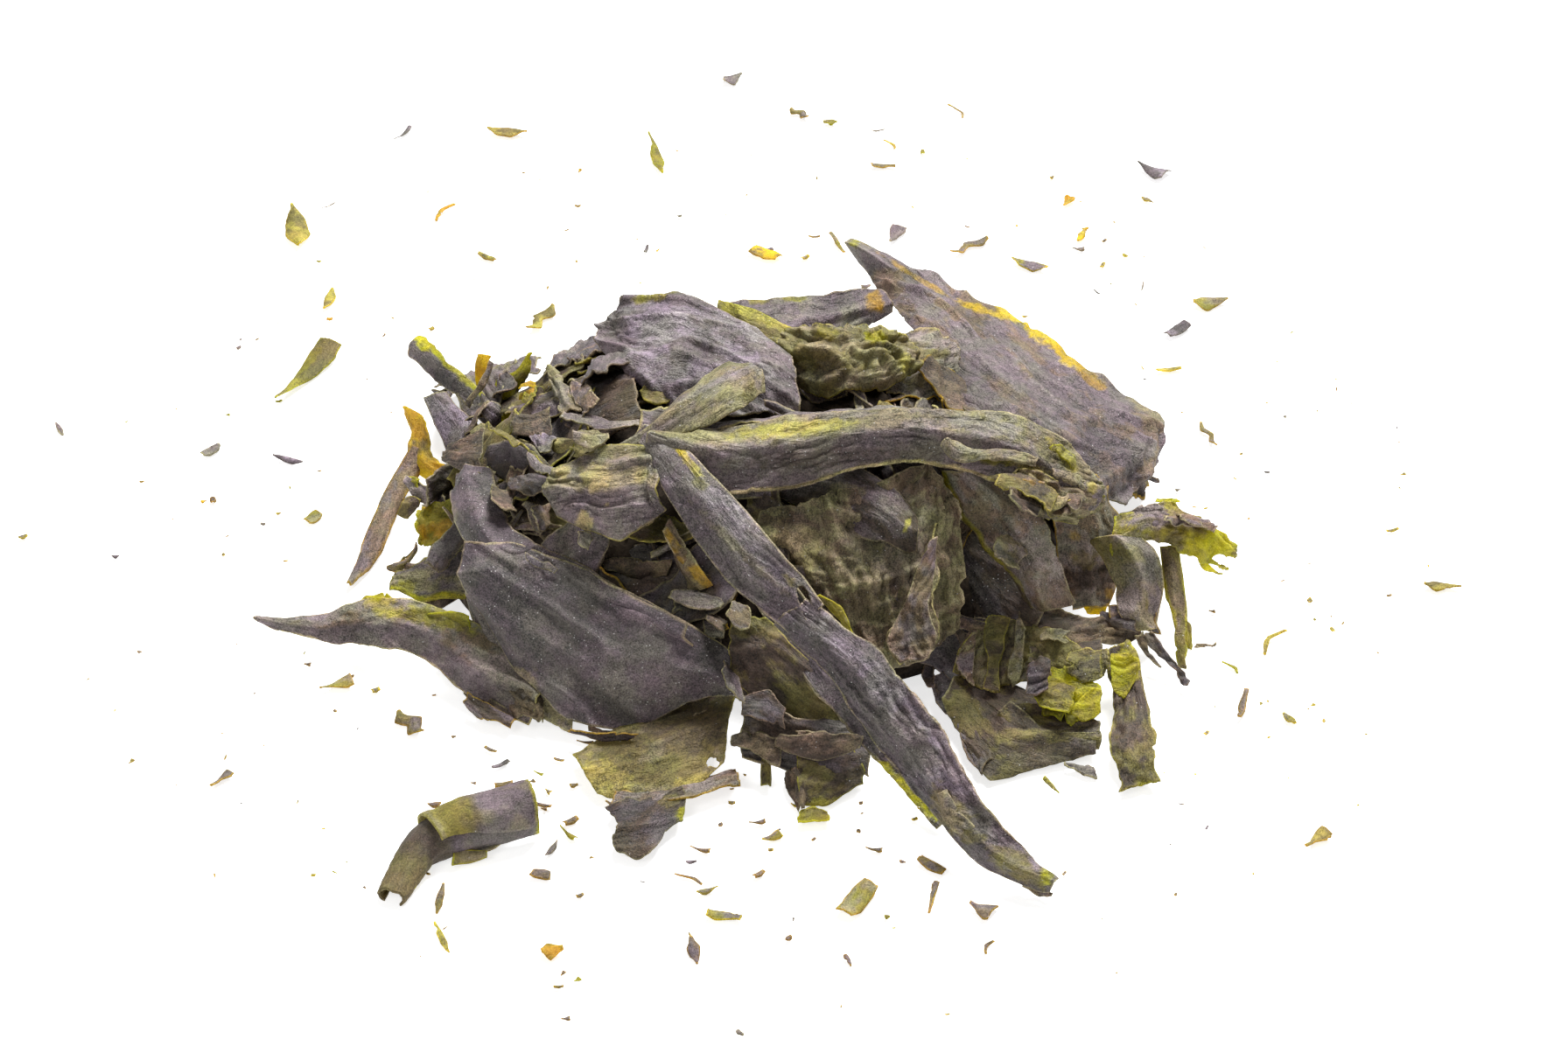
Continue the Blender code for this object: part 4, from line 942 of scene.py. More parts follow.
    "right_side": dict(crown=1.5, stations=(
        ((50, -14, 19), (54, -32, 20)), ((62, -3, 11), (68, -24, 12)), ((71, 4, 3), (80, -17, 4)),
        ((78, 4, 1), (84, -10, 1)))),
    # The middle, under the ribbon and behind the long blade.
    "crumpled_face": dict(crown=2.0, stations=(
        ((4, -62, 17), (5, -50, 31)), ((19, -66, 13), (15, -50, 35)), ((28, -70, 9), (25, -48, 36)),
        ((36, -69, 9), (36, -43, 37)), ((43, -60, 12), (42, -47, 32)))),
    "inner_blade": dict(crown=1.5, stations=(
        ((9, -46, 30), (12, -42, 36)), ((19, -52, 29), (21, -42, 37)), ((27, -57, 28), (30, -47, 35)),
        ((35, -58, 26), (35, -53, 31)))),
    "torn_tongue": dict(crown=1.2, stations=(
        ((37, -50, 27), (41, -49, 29)), ((35, -57, 26), (39, -56, 27)), ((34, -61, 23), (39, -61, 24)),
        ((32, -64, 20), (38, -65, 21)), ((28, -68, 15), (39, -69, 17)), ((31, -72, 11), (37, -71, 12)))),
    "right_drape": dict(crown=2.0, stations=(
        ((39, -40, 33), (48, -43, 35)), ((42, -47, 27), (56, -47, 31)), ((46, -49, 22), (60, -50, 26)),
        ((52, -52, 16), (62, -51, 20)), ((56, -55, 10), (66, -55, 12)))),
    "inner_right": dict(crown=1.5, stations=(
        ((40, -50, 12), (41, -36, 26)), ((47, -56, 7), (53, -46, 18)), ((56, -62, 4), (60, -54, 12)))),
    # The right end: a purple lobe and yellow ruffles.
    "right_under": dict(crown=1.5, stations=(
        ((60, -33, 28), (72, -30, 20)), ((59, -44, 27), (72, -33, 20)), ((60, -43, 21), (75, -37, 16)),
        ((61, -43, 13), (75, -40, 10)), ((63, -46, 8), (74, -43, 7)), ((65, -48, 4), (72, -47, 4)))),
    "right_lobe": dict(crown=2.0, stations=(
        ((67, -42, 17), (77, -43, 19)), ((70, -46, 15), (81, -46, 17)), ((72, -49, 11), (82, -49, 12)),
        ((72, -52, 8), (81, -52, 7)), ((76, -55, 5), (80, -53, 4)))),
    "right_ruffle": dict(crown=2.0, stations=(
        ((71, -47, 13), (72, -37, 19)), ((79, -44, 16), (77, -36, 19)), ((84, -44, 13), (83, -33, 19)),
        ((89, -42, 9), (89, -33, 16)), ((93, -38, 5), (93, -34, 13)), ((96, -34, 2.5), (97, -31, 6)))),
    "right_sliver": dict(crown=0.8, stations=(
        ((81, -41, 15), (85, -42, 15)), ((82, -51, 9), (86, -51, 9)), ((83, -57, 5), (86, -58, 5)),
        ((84, -61, 1.5), (86, -62, 1.5)))),
    # The front: translucent sheets lying low, and the near corner on the right.
    "mid_sheet": dict(crown=1.5, stations=(
        ((0, -75, 10), (0, -66, 21)), ((8, -80, 8), (7, -68, 22)), ((17, -84, 5), (16, -76, 17)),
        ((23, -84, 4), (23, -78, 11)))),
    "front_olive": dict(crown=1.5, stations=(
        ((-23, -95, 1), (-29, -85, 2.5)), ((-18, -96, 1), (-21, -79, 3)), ((-12, -96, 2), (-13, -76, 4)),
        ((-5, -94, 2), (-4, -72, 5)), ((0, -88, 3), (2, -73, 7)))),
    "front_stick": dict(crown=0.5, stations=(
        ((-21, -99, 2.5), (-20, -94, 1.5)), ((-11, -99, 4), (-10, -93, 2)), ((3, -94, 2.5), (2, -88, 2)))),
    "front_torn": dict(crown=0.8, stations=(
        ((-20, -110, 1), (-22, -97, 2)), ((-13, -110, 1), (-14, -95, 4)), ((-6, -102, 1), (-7, -92, 4)))),
    "front_dark": dict(crown=1.0, stations=(
        ((2, -87, 3), (2, -80, 10)), ((11, -90, 2), (9, -81, 11)), ((20, -93, 2), (18, -82, 10)),
        ((26, -91, 1), (25, -82, 7)))),
    "front_leaf": dict(crown=1.0, stations=(
        ((13, -98, 1), (12, -88, 5)), ((18, -97, 1), (16, -84, 7)), ((26, -92, 1), (23, -83, 8)))),
    "corner_sheet": dict(crown=1.0, stations=(
        ((38, -73, 4), (41, -68, 6)), ((42, -81, 2), (47, -64, 5)), ((47, -91, 1), (54, -69, 5)),
        ((57, -88, 1), (61, -74, 5)), ((68, -84, 1), (68, -77, 4)))),
    "corner_green": dict(crown=1.0, stations=(
        ((56, -79, 6.5), (58, -64, 4.5)), ((62, -81, 5), (64, -67, 6)), ((69, -76, 3.5), (69, -71, 7)))),
    "corner_strip": dict(crown=1.0, stations=(
        ((68, -63, 6.5), (75, -58, 6.5)), ((70, -72, 4), (77, -66, 6)), ((69, -84, 3), (78, -82, 4)),
        ((69, -95, 1), (78, -92, 1)))),
    "corner_back": dict(crown=1.5, stations=(
        ((40, -67, 5), (42, -63, 9)), ((47, -71, 4.5), (50, -55, 10)), ((54, -71, 4.5), (57, -56, 9.5)),
        ((63, -70, 4), (65, -62, 9)), ((70, -67, 4), (70, -63, 9)))),
}

# How each of those leaves looks. Spots and holes are where the photograph shows them; some spots are painted
# highlights and shadows, as marked.
LOOKS: dict[str, Look] = {
    "tall_blade": Look(
        Tone.PLUM, Tone.LILAC, 0.25, Tone.STRAW, 0.35, ragged=0.30, wrinkle=0.35, spacing=3.0, cockle=0.5,
        flutter=0.5, quad=0.45, curl=(0.4, 0.6), fold=(0.55, 0.6), lower=Tone.PLUM, smooth=0.9, blots=(
            # The lilac spot along the ridge is a painted highlight; the khaki beside it is partly the ridge's
            # own paler colour and partly painted highlight.
            spot(Tone.KHAKI, 850, 632, 66, 6, 43, 0.5), spot(Tone.LILAC, 862, 628, 60, 8, 45, 0.6),
            spot(Tone.YELLOW, 776, 514, 20, 4, 48), spot(Tone.CITRON, 793, 534, 20, 5, 50),
            spot(Tone.KHAKI, 800, 553, 9, 7), spot(Tone.SAND, 903, 665, 10, 4, 52, 0.7),
            hole(923, 695, 19, 4.5, 70))),
    "long_fold": Look(
        Tone.PLUM, Tone.LILAC, 0.30, Tone.STRAW, 0.35, ragged=0.6, wrinkle=0.55, spacing=2.4, cockle=0.6,
        flutter=0.6, quad=0.45, curl=(0.3, 0.9), fold=(0.48, 2.4), lower=Tone.CHARCOAL, smooth=0.9, blots=(
            # The lilac spot along its ridge is a painted highlight.
            spot(Tone.LILAC, 968, 740, 50, 7, 43, 0.5), spot(Tone.OLIVE, 1090, 932, 38, 17, 50, 0.9),
            spot(Tone.OLIVE, 1165, 992, 40, 13, 32, 0.9), spot(Tone.LIME, 1196, 1003, 7, 9))),
    "under_strip": Look(
        Tone.CHARCOAL, Tone.PLUM, 0.35, Tone.STRAW, 0.4, ragged=0.5, wrinkle=0.4, blots=(
            spot(Tone.LIME, 1037, 904, 42, 7, 46),)),
    "top_ribbon": Look(
        Tone.KHAKI, Tone.GREY, 0.40, Tone.STRAW, 0.4, near_rim=(Tone.SAND, 0.7), ragged=0.4, wrinkle=0.55,
        spacing=2.0, cockle=0.7, flutter=1.0, quad=0.45, curl=(0.8, 0.2), fold=(0.56, 2.6), lower=Tone.PLUM,
        smooth=0.9, blots=(
            # The umber band at 960, 522 is a painted shadow below the crease, under the upper face's edge.
            spot(Tone.CITRON, 905, 491, 68, 9, -5), spot(Tone.UMBER, 960, 522, 120, 12, -4, 0.7),
            spot(Tone.LILAC, 1130, 490, 44, 10, 8, 0.7), spot(Tone.MOSS, 1140, 524, 28, 8, 2),
            spot(Tone.CITRON, 1215, 522, 24, 6, 48), spot(Tone.SAND, 1180, 535, 26, 5, 18),
            spot(Tone.CITRON, 1247, 560, 5, 8))),
    "ribbon_flap": Look(
        Tone.PLUM, Tone.GREY, 0.40, Tone.SAND, 0.4, ragged=0.5, wrinkle=0.35, spacing=3.0, cockle=0.7,
        flutter=1.0, crumple=0.25, quad=0.55, curl=(0.3, 0.6)),
    "right_knot": Look(
        Tone.KHAKI, Tone.BROWN, 0.40, Tone.CITRON, 0.7, ragged=1.4, wrinkle=0.5, crumple=1.9, flutter=1.4,
        quad=0.4, blots=(
            spot(Tone.SAND, 1175, 548, 28, 10, 8, 0.8), spot(Tone.CITRON, 1205, 575, 20, 8, 10, 0.8),
            spot(Tone.UMBER, 1225, 574, 14, 6), spot(Tone.UMBER, 1160, 562, 16, 5),
            spot(Tone.UMBER, 1195, 590, 14, 5))),
    "spotted": Look(
        Tone.KHAKI, Tone.GREY, 0.35, Tone.CITRON, 0.6, ragged=1.1, wrinkle=0.7, spacing=2.6, cockle=0.9,
        crumple=0.4, quad=0.42, curl=(-0.8, -0.3), fold=(0.5, 1.2), lower=Tone.PLUM, smooth=0.3, blots=(
            spot(Tone.PLUM, 702, 588, 70, 19, -3, 0.7), spot(Tone.SAND, 683, 546, 15, 15, 20),
            spot(Tone.SAND, 732, 546, 8, 9), spot(Tone.SAND, 642, 540, 8, 7),
            spot(Tone.SAND, 669, 599, 9, 13), spot(Tone.MOSS, 752, 520, 7, 16),
            spot(Tone.SAND, 694, 577, 3, 2), spot(Tone.SAND, 764, 582, 4, 12, 20))),
    "olive_tip": Look(
        Tone.KHAKI, Tone.GREY, 0.40, Tone.STRAW, 0.4, ragged=0.9, wrinkle=0.25, spacing=3.5, cockle=0.9,
        flutter=0.5, quad=0.5, blots=(
            spot(Tone.LILAC, 812, 441, 56, 3, -26, 0.6), spot(Tone.OLIVE, 856, 447, 7, 16, 0, 0.7),
            spot(Tone.GREY, 775, 480, 30, 10, -26, 0.6))),
    "saddle": Look(Tone.UMBER, Tone.CHARCOAL, 0.4, Tone.BROWN, 0.5, ragged=1.2),
    "shadow_leaf": Look(Tone.UMBER, Tone.CHARCOAL, 0.4, Tone.BROWN, 0.4, ragged=1.0),
    "back_sheet": Look(
        Tone.PLUM, Tone.LILAC, 0.40, Tone.STRAW, 0.35, ragged=1.2, wrinkle=0.30, spacing=4.0, cockle=1.4,
        crumple=0.25, quad=0.5, curl=(-0.8, 0.3), smooth=0.2, blots=(
            spot(Tone.MOSS, 745, 340, 24, 6, -12), spot(Tone.CHARCOAL, 811, 385, 30, 3, 80, 0.6),
            spot(Tone.LILAC, 760, 425, 44, 10, 20, 0.6), spot(Tone.CHARCOAL, 880, 440, 36, 24, 20, 0.6))),
    "back_curl": Look(
        Tone.GREY, Tone.KHAKI, 0.45, Tone.STRAW, 0.4, ragged=0.4, wrinkle=0.2, cockle=0.5, curl=(0.8, 0.3),
        blots=(
            hole(728, 435, 16, 5, 22),)),
    "back_ribbon": Look(
        Tone.PLUM, Tone.GREY, 0.30, Tone.STRAW, 0.35, ragged=0.7, cockle=1.1, spacing=3.0, blots=(
            spot(Tone.AMBER, 1000, 345, 13, 9, 35), spot(Tone.MOSS, 905, 342, 14, 4),
            spot(Tone.MOSS, 865, 345, 10, 4))),
    "green_flap": Look(
        Tone.OLIVE, Tone.MOSS, 0.5, Tone.LIME, 0.5, ragged=0.8, wrinkle=0.25, blots=(
            spot(Tone.CITRON, 866, 358, 40, 10, 25),)),
    "green_knot": Look(
        Tone.KHAKI, Tone.OLIVE, 0.50, Tone.CITRON, 0.5, ragged=1.6, wrinkle=0.4, crumple=1.5, flutter=1.6,
        quad=0.42, blots=(
            spot(Tone.LIME, 1002, 386, 13, 7), spot(Tone.CITRON, 1034, 414, 6, 12),
            spot(Tone.MOSS, 943, 381, 13, 8), spot(Tone.UMBER, 960, 430, 40, 10, 0, 0.7))),
    "back_knot": Look(Tone.GREY, Tone.OLIVE, 0.35, Tone.SAND, 0.5, ragged=1.3, crumple=1.0, flutter=1.2),
    "back_low": Look(
        Tone.PLUM, Tone.KHAKI, 0.3, Tone.MOSS, 0.6, ragged=1.0, blots=(
            spot(Tone.MOSS, 696, 397, 14, 8),)),
    "right_slab": Look(
        Tone.PLUM, Tone.BROWN, 0.30, Tone.STRAW, 0.4, ragged=0.7, wrinkle=0.35, spacing=5.0, cockle=1.3,
        flutter=0.5, quad=0.58, smooth=0.1, blots=(
            spot(Tone.YELLOW, 1120, 354, 22, 5, 18), spot(Tone.YELLOW, 1164, 363, 26, 9, 18),
            spot(Tone.YELLOW, 1194, 382, 28, 11, 34), spot(Tone.YELLOW, 1222, 406, 26, 10, 44),
            spot(Tone.AMBER, 1246, 432, 20, 7, 45, 0.8), spot(Tone.AMBER, 1048, 318, 46, 3, 32, 0.7),
            spot(Tone.KHAKI, 1306, 462, 34, 7, 38), spot(Tone.MOSS, 976, 278, 6, 5),
            spot(Tone.CHARCOAL, 1240, 520, 70, 40, 40, 0.6),
            spot(Tone.CHARCOAL, 1110, 430, 50, 24, 50, 0.5),
            spot(Tone.CHARCOAL, 1180, 470, 60, 12, 50, 0.5))),
    "front_slab": Look(
        Tone.CHARCOAL, Tone.PLUM, 0.30, Tone.STRAW, 0.35, far_rim=(Tone.STRAW, 0.35), ragged=0.8,
        wrinkle=0.18, spacing=7.0, cockle=1.2, flutter=0.8, quad=0.5, curl=(0.5, 0.9), fold=(0.62, 0.8),
        blots=(
            # The lilac spot at the top left is a painted highlight, and the plum spot at the lower right is
            # painted light where the slab faces up.
            spot(Tone.LILAC, 616, 645, 24, 6, 20, 0.8), spot(Tone.KHAKI, 598, 782, 17, 16, 30),
            spot(Tone.PLUM, 720, 770, 90, 40, 10, 0.5), spot(Tone.CITRON, 812, 802, 5, 5))),
    "left_arch": Look(
        Tone.CHARCOAL, Tone.PLUM, 0.45, Tone.STRAW, 0.4, ragged=0.5, wrinkle=0.3, spacing=4.0, cockle=0.8,
        quad=0.48, curl=(0.5, 0.3), fold=(0.5, 0.8), smooth=0.8, blots=(
            spot(Tone.CHARCOAL, 532, 573, 15, 1.5, 5), spot(Tone.KHAKI, 519, 590, 4, 18, 10, 0.5))),
    "left_tail": Look(
        Tone.GREY, Tone.BROWN, 0.35, Tone.SAND, 0.6, ragged=0.8, wrinkle=0.4, cockle=0.9, quad=0.48,
        curl=(0.6, 0.3), fold=(0.45, 1.2), lower=Tone.PLUM, smooth=0.7, blots=(
            spot(Tone.CITRON, 437, 690, 26, 13, 38), spot(Tone.LIME, 427, 682, 11, 6, 20),
            spot(Tone.MOSS, 503, 708, 44, 14, 10), spot(Tone.PLUM, 460, 722, 50, 9, 3),
            spot(Tone.LILAC, 350, 705, 30, 5, 5, 0.6))),
    "left_band": Look(Tone.PLUM, Tone.KHAKI, 0.35, Tone.STRAW, 0.5, ragged=0.7, wrinkle=0.35),
    "left_olive": Look(
        Tone.PLUM, Tone.KHAKI, 0.45, Tone.MOSS, 0.5, near_rim=(Tone.LIME, 1.3), ragged=0.9, blots=(
            spot(Tone.MOSS, 462, 671, 13, 8),)),
    "left_crumple": Look(Tone.MOSS, Tone.AMBER, 0.40, Tone.LIME, 0.6, ragged=1.3, crumple=1.3, quad=0.5),
    "yellow_wing": Look(
        Tone.CHARCOAL, Tone.PLUM, 0.4, Tone.STRAW, 0.4, far_rim=(Tone.LIME, 1.3), ragged=1.0, wrinkle=0.2,
        quad=0.42, blots=(
            spot(Tone.LIME, 487, 389, 24, 9, 28), spot(Tone.MOSS, 519, 415, 34, 8, 55),
            spot(Tone.AMBER, 463, 403, 5, 6))),
    "amber_tip": Look(Tone.AMBER, Tone.YELLOW, 0.45, Tone.YELLOW, 0.6, ragged=0.5, wrinkle=0.2, quad=0.42),
    "green_tip": Look(
        Tone.MOSS, Tone.OLIVE, 0.4, Tone.LIME, 0.6, near_rim=(Tone.LIME, 1.6), ragged=0.7, wrinkle=0.2,
        quad=0.42, fold=(0.6, 0.8), blots=(
            spot(Tone.LIME, 596, 418, 24, 7, -40), spot(Tone.UMBER, 590, 450, 34, 1.6, -58))),
    "grey_fan": Look(
        Tone.PLUM, Tone.LILAC, 0.45, Tone.STRAW, 0.35, ragged=0.6, wrinkle=0.12, cockle=0.4, quad=0.48),
    "amber_left": Look(
        Tone.AMBER, Tone.YELLOW, 0.4, Tone.YELLOW, 0.6, ragged=0.5, quad=0.5, blots=(
            spot(Tone.BROWN, 478, 512, 9, 9, 0, 0.8), spot(Tone.OLIVE, 490, 512, 9, 16, 0, 0.6))),
    "left_stick": Look(
        Tone.BROWN, Tone.PLUM, 0.4, Tone.AMBER, 0.9, ragged=0.3, wrinkle=0.35, spacing=1.8, cockle=0.3,
        flutter=0.3, quad=0.5),
    "olive_band": Look(
        Tone.OLIVE, Tone.KHAKI, 0.4, Tone.SAND, 0.5, ragged=0.3, wrinkle=0.2, curl=(-0.8, -0.8)),
    "rear_left": Look(
        Tone.PLUM, Tone.KHAKI, 0.3, ragged=2.4, wrinkle=0.5, cockle=1.2, quad=0.6, smooth=0.1),
    "rear_inner_left": Look(
        Tone.CHARCOAL, Tone.GREY, 0.3, ragged=2.2, wrinkle=0.5, crumple=0.8, quad=0.6, smooth=0.1),
    "rear_middle": Look(
        Tone.KHAKI, Tone.OLIVE, 0.4, Tone.MOSS, 0.8, ragged=2.8, wrinkle=0.6, cockle=1.4, quad=0.6,
        smooth=0.1, fold=(0.4, 1.5)),
    "rear_inner_right": Look(
        Tone.PLUM, Tone.BROWN, 0.35, ragged=2.0, wrinkle=0.5, crumple=0.7, quad=0.6, smooth=0.1),
    "rear_right": Look(
        Tone.GREY, Tone.PLUM, 0.4, Tone.AMBER, 0.5, ragged=2.6, wrinkle=0.6, cockle=1.4, quad=0.6,
        smooth=0.1, fold=(0.6, 1.5)),
    "rear_curl": Look(Tone.OLIVE, Tone.PLUM, 0.4, Tone.LIME, 0.7, curl=(1.0, 1.0), quad=0.7),
    "right_side": Look(
        Tone.PLUM, Tone.OLIVE, 0.3, Tone.AMBER, 0.5, ragged=2.0, wrinkle=0.5, crumple=0.6, quad=0.6,
        smooth=0.1),
    "crumpled_face": Look(
        Tone.KHAKI, Tone.BROWN, 0.38, Tone.STRAW, 0.4, ragged=1.4, wrinkle=0.3, spacing=3.0, cockle=1.3,
        crumple=0.35, pleat=1.1, quad=0.45, across=True, blots=(
            spot(Tone.SAND, 905, 632, 36, 30, 0, 0.5), spot(Tone.UMBER, 985, 620, 22, 40, 15, 0.7),
            spot(Tone.GREY, 1035, 620, 26, 60, 15, 0.6))),
    "inner_blade": Look(
        Tone.UMBER, Tone.PLUM, 0.5, Tone.STRAW, 0.5, ragged=0.9, wrinkle=0.5, quad=0.45, fold=(0.5, 1.2),
        blots=(
            spot(Tone.KHAKI, 970, 560, 24, 7, 10, 0.8), spot(Tone.CITRON, 1037, 600, 8, 3, -70),
            spot(Tone.GREY, 1022, 580, 20, 9, 20, 0.8))),
    "torn_tongue": Look(
        Tone.KHAKI, Tone.BROWN, 0.4, Tone.SAND, 0.6, ragged=1.2, wrinkle=0.5, crumple=0.5, quad=0.42,
        flutter=1.3, smooth=0.3, blots=(
            spot(Tone.CITRON, 1028, 735, 4, 6, 20), spot(Tone.KHAKI, 1050, 735, 22, 14),
            spot(Tone.STRAW, 1072, 640, 4, 26, 8, 0.6))),
    "right_drape": Look(
        Tone.GREY, Tone.BROWN, 0.5, Tone.STRAW, 0.45, near_rim=(Tone.MOSS, 1.5), ragged=1.0, wrinkle=0.4,
        spacing=2.4, cockle=1.3, quad=0.45, fold=(0.4, 1.0), smooth=0.7, blots=(
            spot(Tone.GREY, 1190, 650, 30, 40, 40, 0.6), spot(Tone.KHAKI, 1154, 632, 19, 13, 45),
            spot(Tone.UMBER, 1165, 675, 30, 3, 55), spot(Tone.MOSS, 1233, 678, 5, 8))),
    # Its umber and charcoal stand for the deep shade between the drape and the tongue: painted shade.
    "inner_right": Look(Tone.UMBER, Tone.CHARCOAL, 0.4, Tone.STRAW, 0.4, ragged=1.3),
    "right_under": Look(
        Tone.BROWN, Tone.GREY, 0.5, Tone.AMBER, 0.5, ragged=0.9, wrinkle=0.2, crumple=0.5, quad=0.5, blots=(
            spot(Tone.AMBER, 1228, 613, 8, 5, 10, 0.5), spot(Tone.UMBER, 1250, 660, 24, 16),
            spot(Tone.OLIVE, 1240, 640, 16, 10, 0, 0.7), spot(Tone.AMBER, 1267, 678, 5, 6, 0, 0.7))),
    "right_lobe": Look(
        Tone.GREY, Tone.KHAKI, 0.45, Tone.SAND, 0.5, ragged=0.7, wrinkle=0.15, spacing=5.0, quad=0.45,
        cockle=1.0, curl=(0.0, 0.2), fold=(0.45, 0.4), smooth=0.8, blots=(
            spot(Tone.OLIVE, 1266, 628, 30, 14, 22, 0.9), spot(Tone.KHAKI, 1280, 655, 14, 20, 20, 0.6),
            spot(Tone.PLUM, 1316, 660, 8, 36, 0, 0.6), spot(Tone.OLIVE, 1310, 690, 2, 9))),
    "right_ruffle": Look(
        Tone.MOSS, Tone.OLIVE, 0.40, Tone.LIME, 1.2, ragged=1.6, wrinkle=0.3, crumple=0.7, flutter=1.8,
        quad=0.4, fold=(0.5, 1.2), smooth=0.4, blots=(
            spot(Tone.LIME, 1372, 630, 34, 16, 10), spot(Tone.LIME, 1395, 622, 18, 20, 0),
            spot(Tone.PLUM, 1312, 592, 26, 16, -20), spot(Tone.BROWN, 1352, 592, 26, 8, 20, 0.8),
            spot(Tone.KHAKI, 1300, 618, 30, 9, 10), spot(Tone.OLIVE, 1338, 622, 12, 16, 40),
            hole(1404, 643, 15, 5, 22), hole(1424, 640, 10, 22))),
    "right_sliver": Look(
        Tone.OLIVE, Tone.BROWN, 0.45, Tone.LIME, 0.9, ragged=0.6, wrinkle=0.25, quad=0.42, smooth=0.7),
    "mid_sheet": Look(
        Tone.UMBER, Tone.OLIVE, 0.5, Tone.CITRON, 0.5, ragged=1.3, wrinkle=0.4, spacing=5.0, quad=0.45,
        crumple=0.3),
    "front_olive": Look(
        Tone.OLIVE, Tone.KHAKI, 0.25, Tone.CITRON, 0.5, ragged=0.8, wrinkle=0.25, spacing=5.0, cockle=0.6,
        quad=0.45, smooth=0.1, blots=(
            spot(Tone.CITRON, 690, 895, 40, 22, 25, 0.75), spot(Tone.LIME, 668, 905, 12, 6, 45, 0.5),
            # The umber spot under the slab's edge is a painted shadow.
            spot(Tone.CITRON, 800, 893, 30, 8, -8, 0.7), spot(Tone.UMBER, 800, 830, 70, 26, -15, 0.7),
            hole(815, 872, 7, 2, 20))),
    "front_stick": Look(
        Tone.GREY, Tone.BROWN, 0.35, Tone.AMBER, 0.3, ragged=0.6, wrinkle=0.4, spacing=1.6, cockle=0.5,
        quad=0.45),
    "front_torn": Look(
        Tone.UMBER, Tone.CHARCOAL, 0.4, Tone.KHAKI, 0.5, ragged=2.2, quad=0.4, blots=(
            spot(Tone.LIME, 780, 930, 8, 9), spot(Tone.OLIVE, 765, 915, 14, 8))),
    "front_dark": Look(
        Tone.UMBER, Tone.CHARCOAL, 0.5, Tone.STRAW, 0.35, ragged=1.3, quad=0.45, crumple=0.4),
    "front_leaf": Look(
        Tone.UMBER, Tone.OLIVE, 0.45, Tone.MOSS, 0.6, ragged=1.3, quad=0.45, blots=(
            spot(Tone.MOSS, 935, 920, 26, 8, -8),)),
    "corner_sheet": Look(
        Tone.UMBER, Tone.OLIVE, 0.35, Tone.KHAKI, 0.5, ragged=1.2, wrinkle=0.35, spacing=3.0, cockle=1.0,
        quad=0.48, fold=(0.45, 0.6), smooth=0.2, blots=(
            spot(Tone.KHAKI, 1180, 868, 40, 12, -12, 0.35), spot(Tone.PLUM, 1245, 848, 16, 12, 10, 0.8))),
    "corner_green": Look(
        Tone.MOSS, Tone.LIME, 0.4, Tone.LIME, 0.9, ragged=1.6, crumple=0.9, quad=0.4, blots=(
            spot(Tone.LIME, 1240, 803, 22, 14), spot(Tone.UMBER, 1190, 800, 10, 6, -40))),
    "corner_strip": Look(
        Tone.UMBER, Tone.OLIVE, 0.4, Tone.CITRON, 0.6, ragged=1.4, crumple=0.4, quad=0.42, blots=(
            spot(Tone.LIME, 1290, 760, 14, 20, 10), spot(Tone.LIME, 1312, 900, 12, 8),
            spot(Tone.LIME, 1285, 912, 8, 6))),
    "corner_back": Look(
        Tone.KHAKI, Tone.OLIVE, 0.5, Tone.CITRON, 0.6, ragged=1.6, wrinkle=0.5, spacing=4.0, crumple=0.8,
        quad=0.45, smooth=0.2, across=True, blots=(
            spot(Tone.UMBER, 1150, 750, 5, 40, 20), spot(Tone.UMBER, 1182, 765, 12, 24, 25),
            spot(Tone.CITRON, 1250, 762, 10, 18), spot(Tone.UMBER, 1112, 750, 2, 30, 35))),
}

